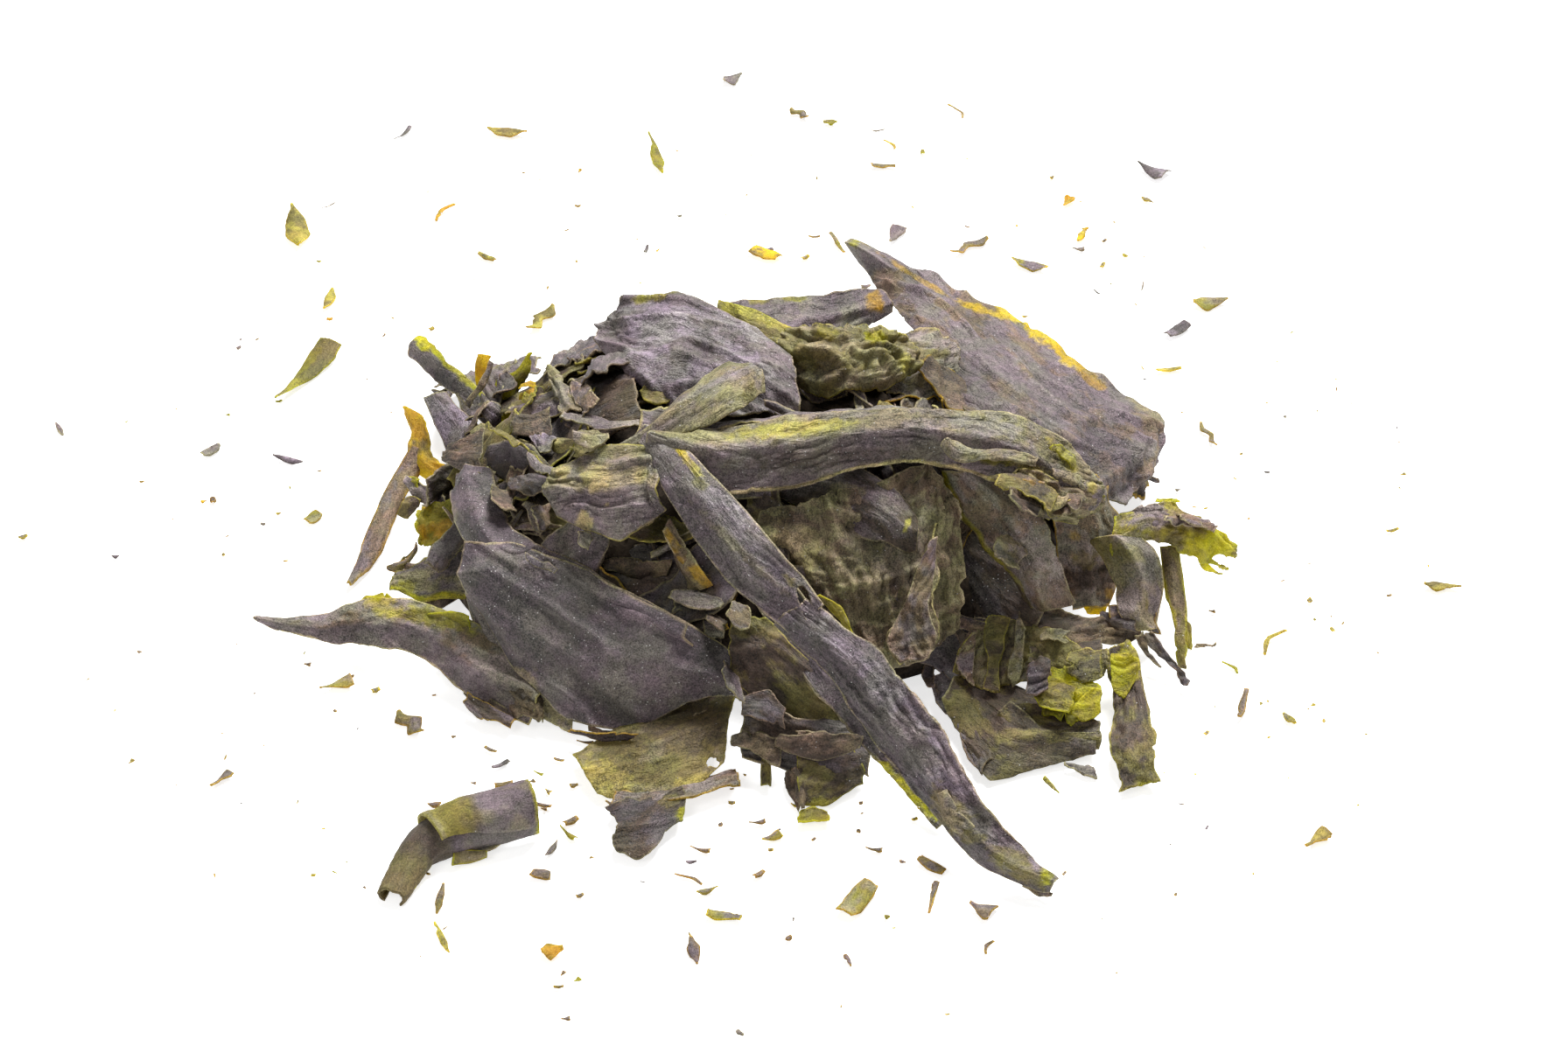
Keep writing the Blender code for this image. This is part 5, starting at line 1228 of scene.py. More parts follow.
# Small leaves that show between the large ones.
SMALL_LEAVES: dict[str, tuple[Stations, Look]] = {
    "amber_triangle": (
        (((-12, -53, 30), (-10, -52, 31)), ((-10, -57, 25), (-5, -58, 27)), ((-7, -60, 20), (-2, -61, 22))),
        Look(
            Tone.BROWN, Tone.KHAKI, 0.3, Tone.STRAW, 0.4, quad=0.45, blots=(
                spot(Tone.AMBER, 805, 660, 22, 10, 50),))),
    "olive_sliver": (
        (((15, -72, 30), (17, -72, 31)), ((19, -74, 26), (21, -74, 28)), ((23, -75, 21), (24, -75, 22))),
        Look(Tone.MOSS, Tone.KHAKI, 0.3, Tone.LIME, 0.4, quad=0.45)),
    "under_tip": (
        (((6, -28, 38), (6, -27, 40)), ((10, -29, 36), (11, -28, 38)), ((13, -30, 35), (14, -29, 36))),
        Look(Tone.CHARCOAL, Tone.PLUM, 0.3, Tone.STRAW, 0.5, quad=0.45)),
    "straw_leaf": (
        (((-34, -30, 28), (-33, -26, 29)), ((-28, -35, 30), (-28, -29, 31)),
        ((-22, -33, 32), (-23, -31, 33))),
        Look(Tone.SAND, Tone.KHAKI, 0.45, Tone.STRAW, 0.4, quad=0.45)),
    "brown_leaf": (
        (((-39, -43, 27), (-38, -43, 28)), ((-37, -46, 24), (-34, -43, 26)),
        ((-35, -48, 22), (-33, -45, 23))),
        Look(Tone.GREY, Tone.BROWN, 0.4, Tone.STRAW, 0.4, quad=0.45)),
    "grey_triangle": (
        (((-51, -5, 19), (-49, -3, 21)), ((-48, -7, 17), (-46, -3, 19)), ((-48, -6, 15), (-46, -4, 16))),
        Look(Tone.LILAC, Tone.GREY, 0.4, Tone.STRAW, 0.3, quad=0.45)),
    "amber_curl": (
        (((-42, -3, 19), (-42, -2, 20)), ((-40, -5, 19), (-39, -1, 21)), ((-38, -3, 20), (-38, -2, 21))),
        Look(Tone.AMBER, Tone.MOSS, 0.4, Tone.YELLOW, 0.5, crumple=0.8, quad=0.4)),
    "left_leaflet": (
        (((-64, -12, 6), (-64, -11, 7)), ((-59, -19, 7), (-58, -17, 9)), ((-55, -24, 8), (-55, -20, 11))),
        Look(Tone.PLUM, Tone.OLIVE, 0.45, Tone.MOSS, 0.5, ragged=1.2, quad=0.45)),
    "left_spiky": (
        (((-66, -36, 3), (-65, -35, 4)), ((-63, -37, 4), (-63, -34, 6)), ((-60, -31, 5), (-61, -29, 6))),
        Look(Tone.OLIVE, Tone.PLUM, 0.4, Tone.AMBER, 0.5, ragged=1.0, quad=0.45)),
    "dark_leaflet": (
        (((-66, -20, 4), (-65, -15, 5)), ((-63, -22, 4), (-62, -17, 7)), ((-61, -19, 6), (-60, -18, 7))),
        Look(Tone.UMBER, Tone.OLIVE, 0.4, Tone.MOSS, 0.5, quad=0.45)),
    "grey_chips": (
        (((-11, -64, 17), (-10, -61, 20)), ((-6, -63, 17), (-7, -59, 20)), ((0, -60, 17), (-1, -59, 19))),
        Look(Tone.GREY, Tone.CHARCOAL, 0.4, Tone.STRAW, 0.3, quad=0.45)),
    "grey_chip_low": (
        (((-5, -68, 14), (-5, -64, 17)), ((0, -67, 13), (0, -64, 17))),
        Look(Tone.GREY, Tone.PLUM, 0.4, Tone.STRAW, 0.3, quad=0.45)),
    "pale_lump": (
        (((-30, -50, 24), (-29, -50, 26)), ((-27, -51, 22), (-26, -50, 25)),
        ((-23, -51, 23), (-23, -50, 25))),
        Look(Tone.STRAW, Tone.GREY, 0.4, crumple=0.6, quad=0.4)),
    "right_ring": (
        (((72, -53, 5), (70, -51, 9)), ((77, -53, 4), (76, -52, 10)), ((82, -54, 3), (81, -53, 8))),
        Look(Tone.CHARCOAL, Tone.BROWN, 0.3, Tone.AMBER, 0.5, quad=0.45)),
    "low_purple": (
        (((40, -59, 9), (39, -56, 13)), ((45, -59, 6), (45, -55, 12)), ((50, -55, 6), (52, -54, 9))),
        Look(Tone.CHARCOAL, Tone.PLUM, 0.4, Tone.STRAW, 0.4, ragged=1.4, crumple=0.6, quad=0.45)),
    "strip_low": (
        (((6, -87, 3), (8, -87, 3)), ((6, -92, 1), (8, -92, 1))),
        Look(Tone.OLIVE, Tone.UMBER, 0.3, Tone.MOSS, 0.4, ragged=0.3, quad=0.4)),
    "brown_prong": (
        (((11, -90, 4), (13, -90, 4)), ((12, -96, 2), (15, -94, 2)), ((13, -99, 1), (14, -98, 1))),
        Look(Tone.UMBER, Tone.BROWN, 0.3, Tone.BROWN, 0.4, quad=0.4)),
    "low_lip": (
        (((-29, -79, 2), (-30, -78, 5)), ((-22, -81, 2), (-21, -82, 6)), ((-18, -82, 3), (-14, -83, 7))),
        Look(Tone.CHARCOAL, Tone.UMBER, 0.3, Tone.AMBER, 0.4, ragged=1.3, quad=0.45)),
    "left_teeth": (
        (((-48, -73, 1), (-49, -69, 5)), ((-43, -77, 1), (-44, -72, 4)), ((-39, -78, 1), (-37, -76, 2))),
        Look(Tone.UMBER, Tone.PLUM, 0.4, Tone.AMBER, 0.4, ragged=1.4, quad=0.45)),
    "corner_dark": (
        (((47, -78, 3), (52, -75, 7)), ((55, -84, 2), (58, -81, 5)), ((68, -83, 1), (68, -80, 4))),
        Look(Tone.UMBER, Tone.OLIVE, 0.4, Tone.KHAKI, 0.4, quad=0.5)),
    "back_spike": (
        (((-38, -7, 20), (-37, -7, 22)), ((-36, -12, 20), (-34, -11, 23)),
        ((-33, -18, 21), (-32, -16, 23))),
        Look(Tone.GREY, Tone.OLIVE, 0.4, Tone.STRAW, 0.4, curl=(0.4, 0.4), quad=0.45)),
    "thin_stem": (
        (((-24, -21, 27), (-24, -20, 27.5)), ((-19, -18, 29), (-19, -17, 29.5)),
        ((-16, -17, 30), (-15, -16, 30.5))),
        Look(Tone.STRAW, Tone.KHAKI, 0.3, ragged=0.1, wrinkle=0.1, cockle=0.2, flutter=0.1, quad=0.4)),
}

# Looks that the smallest leaves share.
KINDS: dict[str, Look] = {
    "dark": Look(Tone.CHARCOAL, Tone.UMBER, 0.4, Tone.BROWN, 0.35),
    "umber": Look(Tone.UMBER, Tone.BROWN, 0.4, Tone.KHAKI, 0.35),
    "plum": Look(Tone.PLUM, Tone.GREY, 0.35, Tone.STRAW, 0.35),
    "grey": Look(Tone.GREY, Tone.PLUM, 0.35, Tone.STRAW, 0.35),
    "lilac": Look(Tone.LILAC, Tone.GREY, 0.35, Tone.STRAW, 0.35),
    "brown": Look(Tone.BROWN, Tone.PLUM, 0.40, Tone.STRAW, 0.35),
    "amber_brown": Look(Tone.BROWN, Tone.AMBER, 0.45, Tone.STRAW, 0.35),
    "khaki": Look(Tone.KHAKI, Tone.GREY, 0.40, Tone.STRAW, 0.35),
    "straw": Look(Tone.SAND, Tone.KHAKI, 0.45, Tone.STRAW, 0.4),
    "olive": Look(Tone.OLIVE, Tone.UMBER, 0.35, Tone.CITRON, 0.45),
    "moss": Look(Tone.MOSS, Tone.OLIVE, 0.40, Tone.LIME, 0.6),
    "citron": Look(Tone.CITRON, Tone.KHAKI, 0.35, Tone.LIME, 0.5),
    "lime": Look(Tone.LIME, Tone.MOSS, 0.35, Tone.LIME, 0.6),
    "yellow": Look(Tone.YELLOW, Tone.SAND, 0.35, Tone.YELLOW, 0.5),
    "amber": Look(Tone.AMBER, Tone.YELLOW, 0.35, Tone.YELLOW, 0.5),
}

# The smallest leaves: kind, crown, and both edges as read off the photograph. A reading is a pixel, (x, y),
# where the leaf lies on what is under it there, or (x, y, height in millimetres) where it hangs over that.
BITS: dict[str, tuple[str, float, tuple[tuple[Reading, Reading], ...]]] = {
    "upright_grey": ("khaki", 0.8, (
        ((622, 426), (632, 421)), ((632, 452), (656, 441)), ((642, 480), (672, 474)))),
    "upright_brown": ("brown", 0.6, (
        ((650, 442), (658, 436)), ((655, 465), (680, 437)), ((664, 480), (692, 462)))),
    "long_grey_plate": ("grey", 0.5, (
        ((634, 482), (640, 473)), ((680, 494), (692, 480)), ((735, 494), (738, 486)))),
    "yellow_curl": ("amber", 0.8, (
        ((590, 454), (596, 446)), ((606, 450), (606, 439)), ((625, 448), (621.9, 439)))),
    "yellow_curl_low": ("moss", 0.8, (
        ((588, 460), (596, 452)), ((603, 467), (607, 454)), ((614, 462), (613, 452)))),
    "brown_gap": ("umber", 0.5, (
        ((572, 500), (580, 478)), ((610, 505), (612, 468)), ((640, 500), (634, 464)))),
    "lilac_plate": ("lilac", 0.5, (
        ((604, 502), (607, 496)), ((616, 521), (622, 496)), ((630, 523), (641, 497)))),
    "khaki_tip": ("khaki", 0.6, (
        ((650, 504), (655, 496)), ((674, 517), (680, 497)), ((700, 510), (701, 504)))),
    "band_end": ("plum", 0.8, (
        ((593, 521), (598, 513)), ((611, 542), (620, 528)), ((632, 558), (642, 540)))),
    "dark_plate": ("dark", 0.6, (
        ((576, 560), (586, 548)), ((600, 572), (608, 540)), ((626, 573), (634, 548)))),
    "down_triangle": ("brown", 0.4, (
        ((596, 574), (608, 567)), ((607, 602), (627, 580)), ((627, 616), (629, 602)))),
    "olive_nook": ("umber", 0.4, (
        ((555, 577), (562, 561)), ((575, 592), (582, 564)), ((594, 592), (592, 570)))),
    "left_dark_leaf": ("umber", 0.6, (
        ((504, 532), (511, 514)), ((530, 543), (542, 500)), ((550, 542), (562, 494)))),
    "left_leaf_a": ("plum", 0.8, (
        ((465, 557, 6), (470, 545, 7)), ((478, 577, 6), (490, 548, 9)), ((499, 592, 8), (511, 560, 11)),
        ((516, 590, 10), (518, 568, 12)))),
    "left_leaf_tip": ("moss", 0.3, (((463, 558, 6.5), (468, 544, 7.5)), ((480, 564, 8), (486, 547, 9.5)))),
    "left_leaf_b": ("umber", 0.5, (
        ((452, 595, 3), (458, 575, 5)), ((464, 594, 4), (475, 561, 7)), ((470, 585, 5), (483, 566, 7)))),
    "left_low_olive": ("brown", 0.5, (
        ((445, 656, 2), (452, 647, 3)), ((462, 664, 3), (470, 639, 6)), ((481, 656, 4), (483, 642, 6)))),
    "left_sprig": ("olive", 0.2, (
        ((449, 653, 2), (452, 650, 2.5)), ((461, 641, 3), (466, 636, 3.5)),
        ((479, 629, 4), (479, 622, 5)))),
    "under_left_olive": ("umber", 0.4, (
        ((478, 693, 2), (480, 679, 3)), ((506, 698, 3), (509, 675, 5)), ((530, 682, 4), (532, 666, 6)))),
    "tail_brown": ("umber", 0.8, (
        ((498, 738, 4), (505, 706, 8)), ((545, 778, 3), (556, 716, 9)), ((592, 828, 2), (602, 768, 8)),
        ((622, 832, 2), (628, 800, 5)))),
    "tail_lobe_a": ("lime", 0.4, (
        ((413, 692, 7), (416, 679, 9)), ((436, 700, 8), (440, 676, 11)), ((464, 716, 8), (464, 704, 9.5)))),
    "tail_lobe_b": ("moss", 0.5, (
        ((464, 716, 7.5), (470, 699, 9.5)), ((495, 724, 8), (494, 692, 12)),
        ((542, 740, 9), (546, 702, 13)))),
    "tail_teeth": ("umber", 0.3, (
        ((525, 792, 1), (531, 779, 2)), ((543, 815, 1), (553, 792, 2.5)), ((556, 828, 1), (576, 806, 3)),
        ((578, 832, 1), (590, 820, 2)))),
    "slab_flap": ("lilac", 0.5, (
        ((591, 635), (597, 631)), ((602, 646), (615, 635)), ((626, 653), (632, 641)),
        ((641, 662), (646, 655)))),
    "slab_tail": ("plum", 0.3, (
        ((818, 763), (826, 752)), ((833, 792), (841, 768)), ((852, 813), (855, 805)))),
    "slab_drop": ("straw", 0.3, (((806, 798, 4), (812, 790, 5)), ((804, 811, 3), (819, 808, 3.5)))),
    "slab_lip_teeth": ("umber", 0.3, (
        ((667, 838, 1), (672, 829, 1.5)), ((688, 846, 1), (700, 832, 2)), ((709, 848, 1), (728, 834, 2)))),
    "amber_wedge": ("amber_brown", 0.6, (
        ((757, 598, 33), (763, 594, 34)), ((768, 630, 28), (783, 622, 29.5)),
        ((784, 655, 23), (805, 648, 25)), ((799, 673, 20), (822, 671, 21)))),
    "grey_crumple": ("grey", 0.8, (
        ((760, 690), (768, 674)), ((785, 702), (795, 672)), ((810, 703), (822, 675)),
        ((829, 704), (832, 690)))),
    "brown_flake_a": ("brown", 0.5, (
        ((826, 705), (830, 690)), ((845, 725), (850, 688)), ((860, 722), (862, 700)))),
    "brown_flake_b": ("umber", 0.5, (
        ((800, 712), (803, 705)), ((815, 722), (822, 706)), ((832, 730), (836, 712)))),
    "shadow_top": ("umber", 0.8, (
        ((676, 655, 19), (680, 637, 21)), ((725, 668, 19), (725, 637, 23)),
        ((768, 660, 20), (770, 637, 23)))),
    "front_dark_a": ("dark", 0.8, (
        ((843, 822), (848, 800)), ((870, 834), (880, 792)), ((902, 838), (908, 815)))),
    "front_dark_b": ("umber", 0.6, (
        ((826, 852), (836, 836)), ((862, 872), (870, 832)), ((900, 882), (905, 838)))),
    "front_dark_c": ("umber", 0.6, (
        ((880, 858), (888, 836)), ((930, 872), (940, 832)), ((988, 862), (990, 842)))),
    "front_dark_d": ("brown", 0.4, (
        ((900, 848), (905, 835)), ((935, 850), (940, 836)), ((965, 852), (968, 842)))),
    "front_lime": ("moss", 0.2, (
        ((907, 949, 0.7), (914, 930, 0.7)), ((930, 946, 0.7), (932, 921, 0.7)),
        ((954, 946, 0.7), (950, 928, 0.7)))),
    "front_stem": ("umber", 0.3, (
        ((895, 892, 1), (906, 870, 3)), ((901, 914, 0.8), (916, 893, 2)),
        ((912, 937, 0.7), (926, 915, 1)))),
    "olive_shadow": ("umber", 0.3, (
        ((700, 850, 2), (704, 838, 2)), ((760, 840, 3), (768, 812, 3)), ((815, 820, 4), (825, 792, 4)))),
    "blade_patch": ("khaki", 0.3, (
        ((1063, 905), (1085, 895)), ((1075, 940), (1105, 925)), ((1098, 962), (1125, 950)))),
    "blade_low_tip": ("umber", 0.2, (
        ((1098, 975, 0.7), (1108, 962, 1.2)), ((1108, 980, 0.7), (1118, 968, 1)))),
    "blade_end": ("brown", 0.2, (
        ((1162, 1016, 0.7), (1166, 1010, 0.9)), ((1185, 1025, 0.7), (1190, 1016, 0.9)),
        ((1206, 1029, 0.7), (1206, 1024, 0.7)))),
    "corner_blade": ("dark", 0.3, (
        ((1164, 800, 8), (1172, 758, 12)), ((1185, 802, 8), (1190, 744, 14)),
        ((1200, 790, 9), (1203, 748, 14)))),
    "corner_lime": ("lime", 0.8, (
        ((1262, 785, 6), (1270, 745, 9)), ((1284, 806, 5), (1286, 738, 10)),
        ((1306, 775, 7), (1305, 742, 10)))),
    "under_wedge": ("plum", 0.2, (
        ((1208, 878, 0.7), (1209, 874, 0.7)), ((1236, 890, 0.7), (1238, 875, 0.7)),
        ((1260, 893, 0.7), (1260, 878, 0.7)))),
    "under_seed": ("citron", 0.2, (
        ((1187, 893, 0.7), (1192, 888, 0.7)), ((1200, 908, 0.7), (1207, 899, 0.7)),
        ((1212, 914, 0.7), (1213, 910, 0.7)))),
    "corner_teeth": ("dark", 0.4, (
        ((1044, 768, 5), (1050, 757, 6)), ((1058, 788, 3), (1070, 757, 6)),
        ((1074, 792, 3), (1078, 772, 5)))),
    "corner_teeth_high": ("brown", 0.4, (
        ((1085, 720, 10), (1090, 700, 12)), ((1120, 728, 9), (1128, 702, 12)),
        ((1150, 712, 10), (1155, 700, 11.5)))),
    "spike_b": ("umber", 0.2, (
        ((1292, 722, 6), (1306, 716, 8)), ((1306, 750, 3), (1318, 742, 4)),
        ((1327, 773, 0.8), (1329, 770, 0.8)))),
    "right_lime_bit": ("moss", 0.2, (
        ((1350, 712, 0.8), (1353, 708, 0.8)), ((1354, 738, 0.7), (1364, 712, 0.7)),
        ((1362, 746, 0.7), (1368, 740, 0.7)))),
    "right_branch": ("khaki", 0.2, (
        ((1358, 749, 0.7), (1360, 741, 0.7)), ((1376, 748, 0.7), (1378, 740, 0.7)),
        ((1394, 744, 0.7), (1393, 735, 0.7)))),
    "lobe_glow": ("yellow", 0.2, (
        ((1230, 706, 2), (1238, 688, 3)), ((1250, 709, 2), (1254, 684, 4)),
        ((1270, 700, 3), (1270, 688, 4)))),
    "lobe_hollow": ("dark", 0.4, (
        ((1256, 712, 4), (1264, 700, 5)), ((1280, 724, 3), (1284, 697, 6)),
        ((1305, 722, 3), (1302, 702, 6)))),
    "ruffle_dark": ("plum", 0.8, (
        ((1296, 600, 14), (1299, 588, 15)), ((1310, 612, 14), (1312, 573, 18)),
        ((1322, 606, 14), (1330, 576, 17)))),
    "ruffle_fringe": ("lime", 0.2, (
        ((1311, 574, 16), (1314, 570, 16.5)), ((1330, 577, 15.5), (1332, 569, 16.5)),
        ((1346, 576, 14), (1345, 571, 14.5)))),
    "ruffle_tip": ("lime", 0.4, (
        ((1376, 612, 10), (1377, 596, 12)), ((1386, 624, 8), (1394, 607, 10)),
        ((1408, 634, 4), (1411, 628, 5)))),
    "ruffle_low_tip": ("lime", 0.3, (
        ((1368, 648, 7), (1374, 632, 9)), ((1380, 656, 5), (1386, 648, 6)),
        ((1402, 658, 2.5), (1402, 655, 3)))),
    "amber_spot": ("amber", 0.2, (
        ((1262, 592, 17), (1264, 588, 17.5)), ((1278, 598, 16), (1280, 590, 17)),
        ((1293, 600, 14), (1294, 593, 15)))),
    "lime_bit": ("moss", 0.2, (((1286, 562, 8), (1288, 552, 9)), ((1300, 567, 7), (1301, 556, 8)))),
    "knot_c": ("olive", 0.5, (
        ((1128, 556), (1132, 548)), ((1140, 560), (1148, 542)), ((1152, 560), (1155, 548)))),
    "knot_d": ("khaki", 0.8, (
        ((1192, 545), (1196, 535)), ((1220, 560), (1228, 538)), ((1248, 572), (1246, 552)))),
    "knot_e": ("umber", 0.5, (
        ((1210, 580), (1216, 570)), ((1228, 592), (1236, 570)), ((1240, 586), (1246, 574)))),
    "drape_leaf": ("khaki", 0.4, (
        ((1130, 630), (1138, 612)), ((1150, 650), (1160, 614)), ((1166, 656), (1173, 638)))),
    "ribbon_lime": ("citron", 0.2, (
        ((1190, 516), (1192, 509)), ((1212, 528), (1220, 512)), ((1232, 542), (1236, 532)))),
    "ribbon_fold": ("khaki", 0.8, (
        ((1066, 512), (1070, 495)), ((1100, 533), (1108, 512)), ((1140, 532), (1150, 512)),
        ((1185, 545), (1192, 522)))),
    "corner_khaki": ("olive", 0.8, (
        ((1212, 776), (1211, 748)), ((1238, 784), (1238, 738)), ((1265, 780), (1262, 737)))),
    "corner_moss": ("moss", 0.8, (
        ((1172, 804), (1190, 782)), ((1200, 821), (1212, 780)), ((1232, 826), (1238, 786)))),
    "corner_lime_low": ("lime", 0.8, (
        ((1212, 822), (1222, 798)), ((1238, 829), (1246, 787)), ((1263, 818), (1264, 789)))),
    "corner_pale": ("khaki", 0.6, (
        ((1180, 737), (1183, 718)), ((1203, 750), (1205, 716)), ((1230, 745), (1228, 722)))),
    "corner_dark_low": ("umber", 0.6, (
        ((1168, 762, 7), (1172, 735, 9)), ((1215, 765, 6), (1218, 735, 8)),
        ((1262, 757, 5), (1262, 730, 6)))),
    "corner_wedge": ("dark", 0.4, (
        ((1063, 778, 3), (1080, 762, 6)), ((1070, 808, 2), (1100, 785, 5)),
        ((1092, 852, 1.5), (1125, 820, 4)), ((1122, 896, 0.8), (1142, 872, 2)))),
    "spike_a": ("dark", 0.3, (
        ((1292, 722, 6), (1316, 712, 8)), ((1322, 752, 4), (1336, 740, 6)),
        ((1344, 780, 1.5), (1351, 770, 2)), ((1358, 792, 0.7), (1360, 789, 0.7)))),
    "knot_g": ("straw", 0.6, (
        ((1183, 576), (1186, 567)), ((1205, 584), (1208, 573)), ((1222, 578), (1224, 568)))),
    "knot_h": ("umber", 0.8, (
        ((1140, 572), (1146, 560)), ((1165, 590), (1172, 568)), ((1185, 596), (1190, 580)))),
    "knot_i": ("brown", 0.8, (
        ((1196, 596), (1198, 584)), ((1215, 596), (1218, 582)), ((1232, 588), (1234, 576)))),
    "ruffle_edge": ("brown", 0.5, (
        ((1322, 600), (1326, 592)), ((1348, 600), (1352, 588)), ((1372, 608), (1378, 596)),
        ((1388, 612), (1392, 604)))),
    "corner_fan_a": ("brown", 0.6, (
        ((1084, 770), (1092, 742)), ((1102, 786), (1108, 720)), ((1120, 792), (1128, 703)))),
    "corner_fan_b": ("olive", 0.6, (
        ((1118, 793), (1126, 704)), ((1133, 798), (1142, 702)), ((1148, 794), (1157, 705)))),
    "corner_fan_c": ("khaki", 0.6, (
        ((1146, 796), (1152, 712)), ((1161, 790), (1166, 706)), ((1174, 774), (1179, 732)))),
    # The dark leaf in the hollow is painted shade.
    "corner_hollow": ("umber", 0.6, (
        ((1150, 738, 8), (1160, 690, 12)), ((1195, 748, 6), (1200, 692, 10)),
        ((1240, 744, 4), (1240, 704, 7)), ((1278, 738, 3), (1282, 706, 5)),
        ((1303, 733, 2), (1303, 712, 3)))),
    "ruffle_fan": ("plum", 1, (
        ((1272, 606, 17), (1279, 592, 18)), ((1296, 612, 18), (1300, 576, 22)),
        ((1314, 612, 19), (1322, 573, 22)), ((1330, 598, 18), (1340, 584, 20)))),
    "knot_a": ("amber_brown", 1, (
        ((1148, 560), (1155, 540)), ((1170, 572), (1180, 536)), ((1196, 575), (1198, 545)))),
    "knot_b": ("olive", 0.8, (
        ((1180, 582), (1190, 566)), ((1205, 596), (1212, 562)), ((1228, 590), (1230, 565)))),
    "knot_f": ("olive", 0.8, (
        ((1130, 560), (1135, 549)), ((1160, 566), (1168, 545)), ((1185, 578), (1195, 556)),
        ((1200, 590), (1212, 572)))),
    "tongue_face": ("brown", 0.8, (
        ((1062, 616), (1077, 611)), ((1046, 660), (1073, 650)), ((1034, 690), (1066, 690)),
        ((1008, 734), (1073, 728)), ((1028, 764), (1062, 756)))),
    "band_over": ("olive", 0.4, (
        ((551, 493), (556, 484)), ((585, 513), (592, 503)), ((612, 533), (621, 522)),
        ((628, 556), (640, 544)))),
    "amber_stem": ("brown", 0.4, (
        ((562, 411, 22), (568, 412, 22)), ((550, 438, 19.5), (558, 441, 19.5)),
        ((533, 466, 15), (540, 470, 15)))),
    "spotted_flap": ("grey", 0.5, (
        ((650, 612, 29), (656, 600, 31)), ((666, 630, 27), (674, 608, 30)),
        ((678, 640, 26), (685, 622, 28)))),
    "lobe_curl": ("dark", 1, (
        ((1257, 712, 5), (1262, 698, 6)), ((1280, 720, 5), (1284, 697, 8)),
        ((1306, 724, 5), (1306, 706, 8)))),
    "ruffle_brown": ("brown", 0.8, (
        ((1335, 600), (1340, 588)), ((1355, 606), (1358, 592)), ((1374, 612), (1374, 600)))),
}

# The large leaves in the groups that become pieces: finish and members.
GROUPS: dict[str, tuple[LeafFinish, tuple[str, ...]]] = {
    "long_blade": (STREAKED, ("tall_blade", "long_fold", "under_strip")),
    "ribbon": (STREAKED, ("top_ribbon", "ribbon_flap", "right_knot")),
    "peak": (STREAKED, ("spotted", "olive_tip", "saddle", "shadow_leaf")),
    "back_leaves": (LEAF, (
        "back_sheet", "back_curl", "back_ribbon", "green_flap", "green_knot", "back_knot", "back_low")),
    "slab_leaf": (LEAF, ("right_slab",)),
    "front_leaves": (SLAB, ("front_slab", "left_arch", "left_band")),
    "left_leaves": (THIN_LEAF, (
        "left_tail", "left_olive", "left_crumple", "yellow_wing", "amber_tip", "green_tip", "grey_fan",
        "amber_left", "left_stick", "olive_band")),
    "rear_leaves": (LEAF, (
        "rear_left", "rear_inner_left", "rear_middle", "rear_inner_right", "rear_right", "rear_curl",
        "right_side")),
    "middle_leaves": (STREAKED, (
        "crumpled_face", "inner_blade", "torn_tongue", "right_drape", "inner_right")),
    "right_leaves": (THIN_LEAF, ("right_under", "right_lobe", "right_ruffle", "right_sliver")),
    "low_leaves": (THIN_LEAF, (
        "mid_sheet", "front_olive", "front_stick", "front_torn", "front_dark", "front_leaf", "corner_sheet",
        "corner_green", "corner_strip", "corner_back")),
}


# ---------------------------------------------------------------- the heap

@dataclass
class LeafGroup:
    """Leaves that lie together and make one piece."""

    name: str
    finish: LeafFinish
    members: tuple[str, ...]
    thickness: float = 0.34

    def build(self) -> bpy.types.Object:
        """Lays the group's leaves and dresses them."""
        maker = SheetMaker()
        for member in self.members:
            leaf = LEAVES[member]
            maker.lay(member, leaf["stations"], leaf["crown"], LOOKS[member])
        return own(maker.piece(self.name, self.finish, self.thickness), HEAP_SLOT, HEAP_NODE)


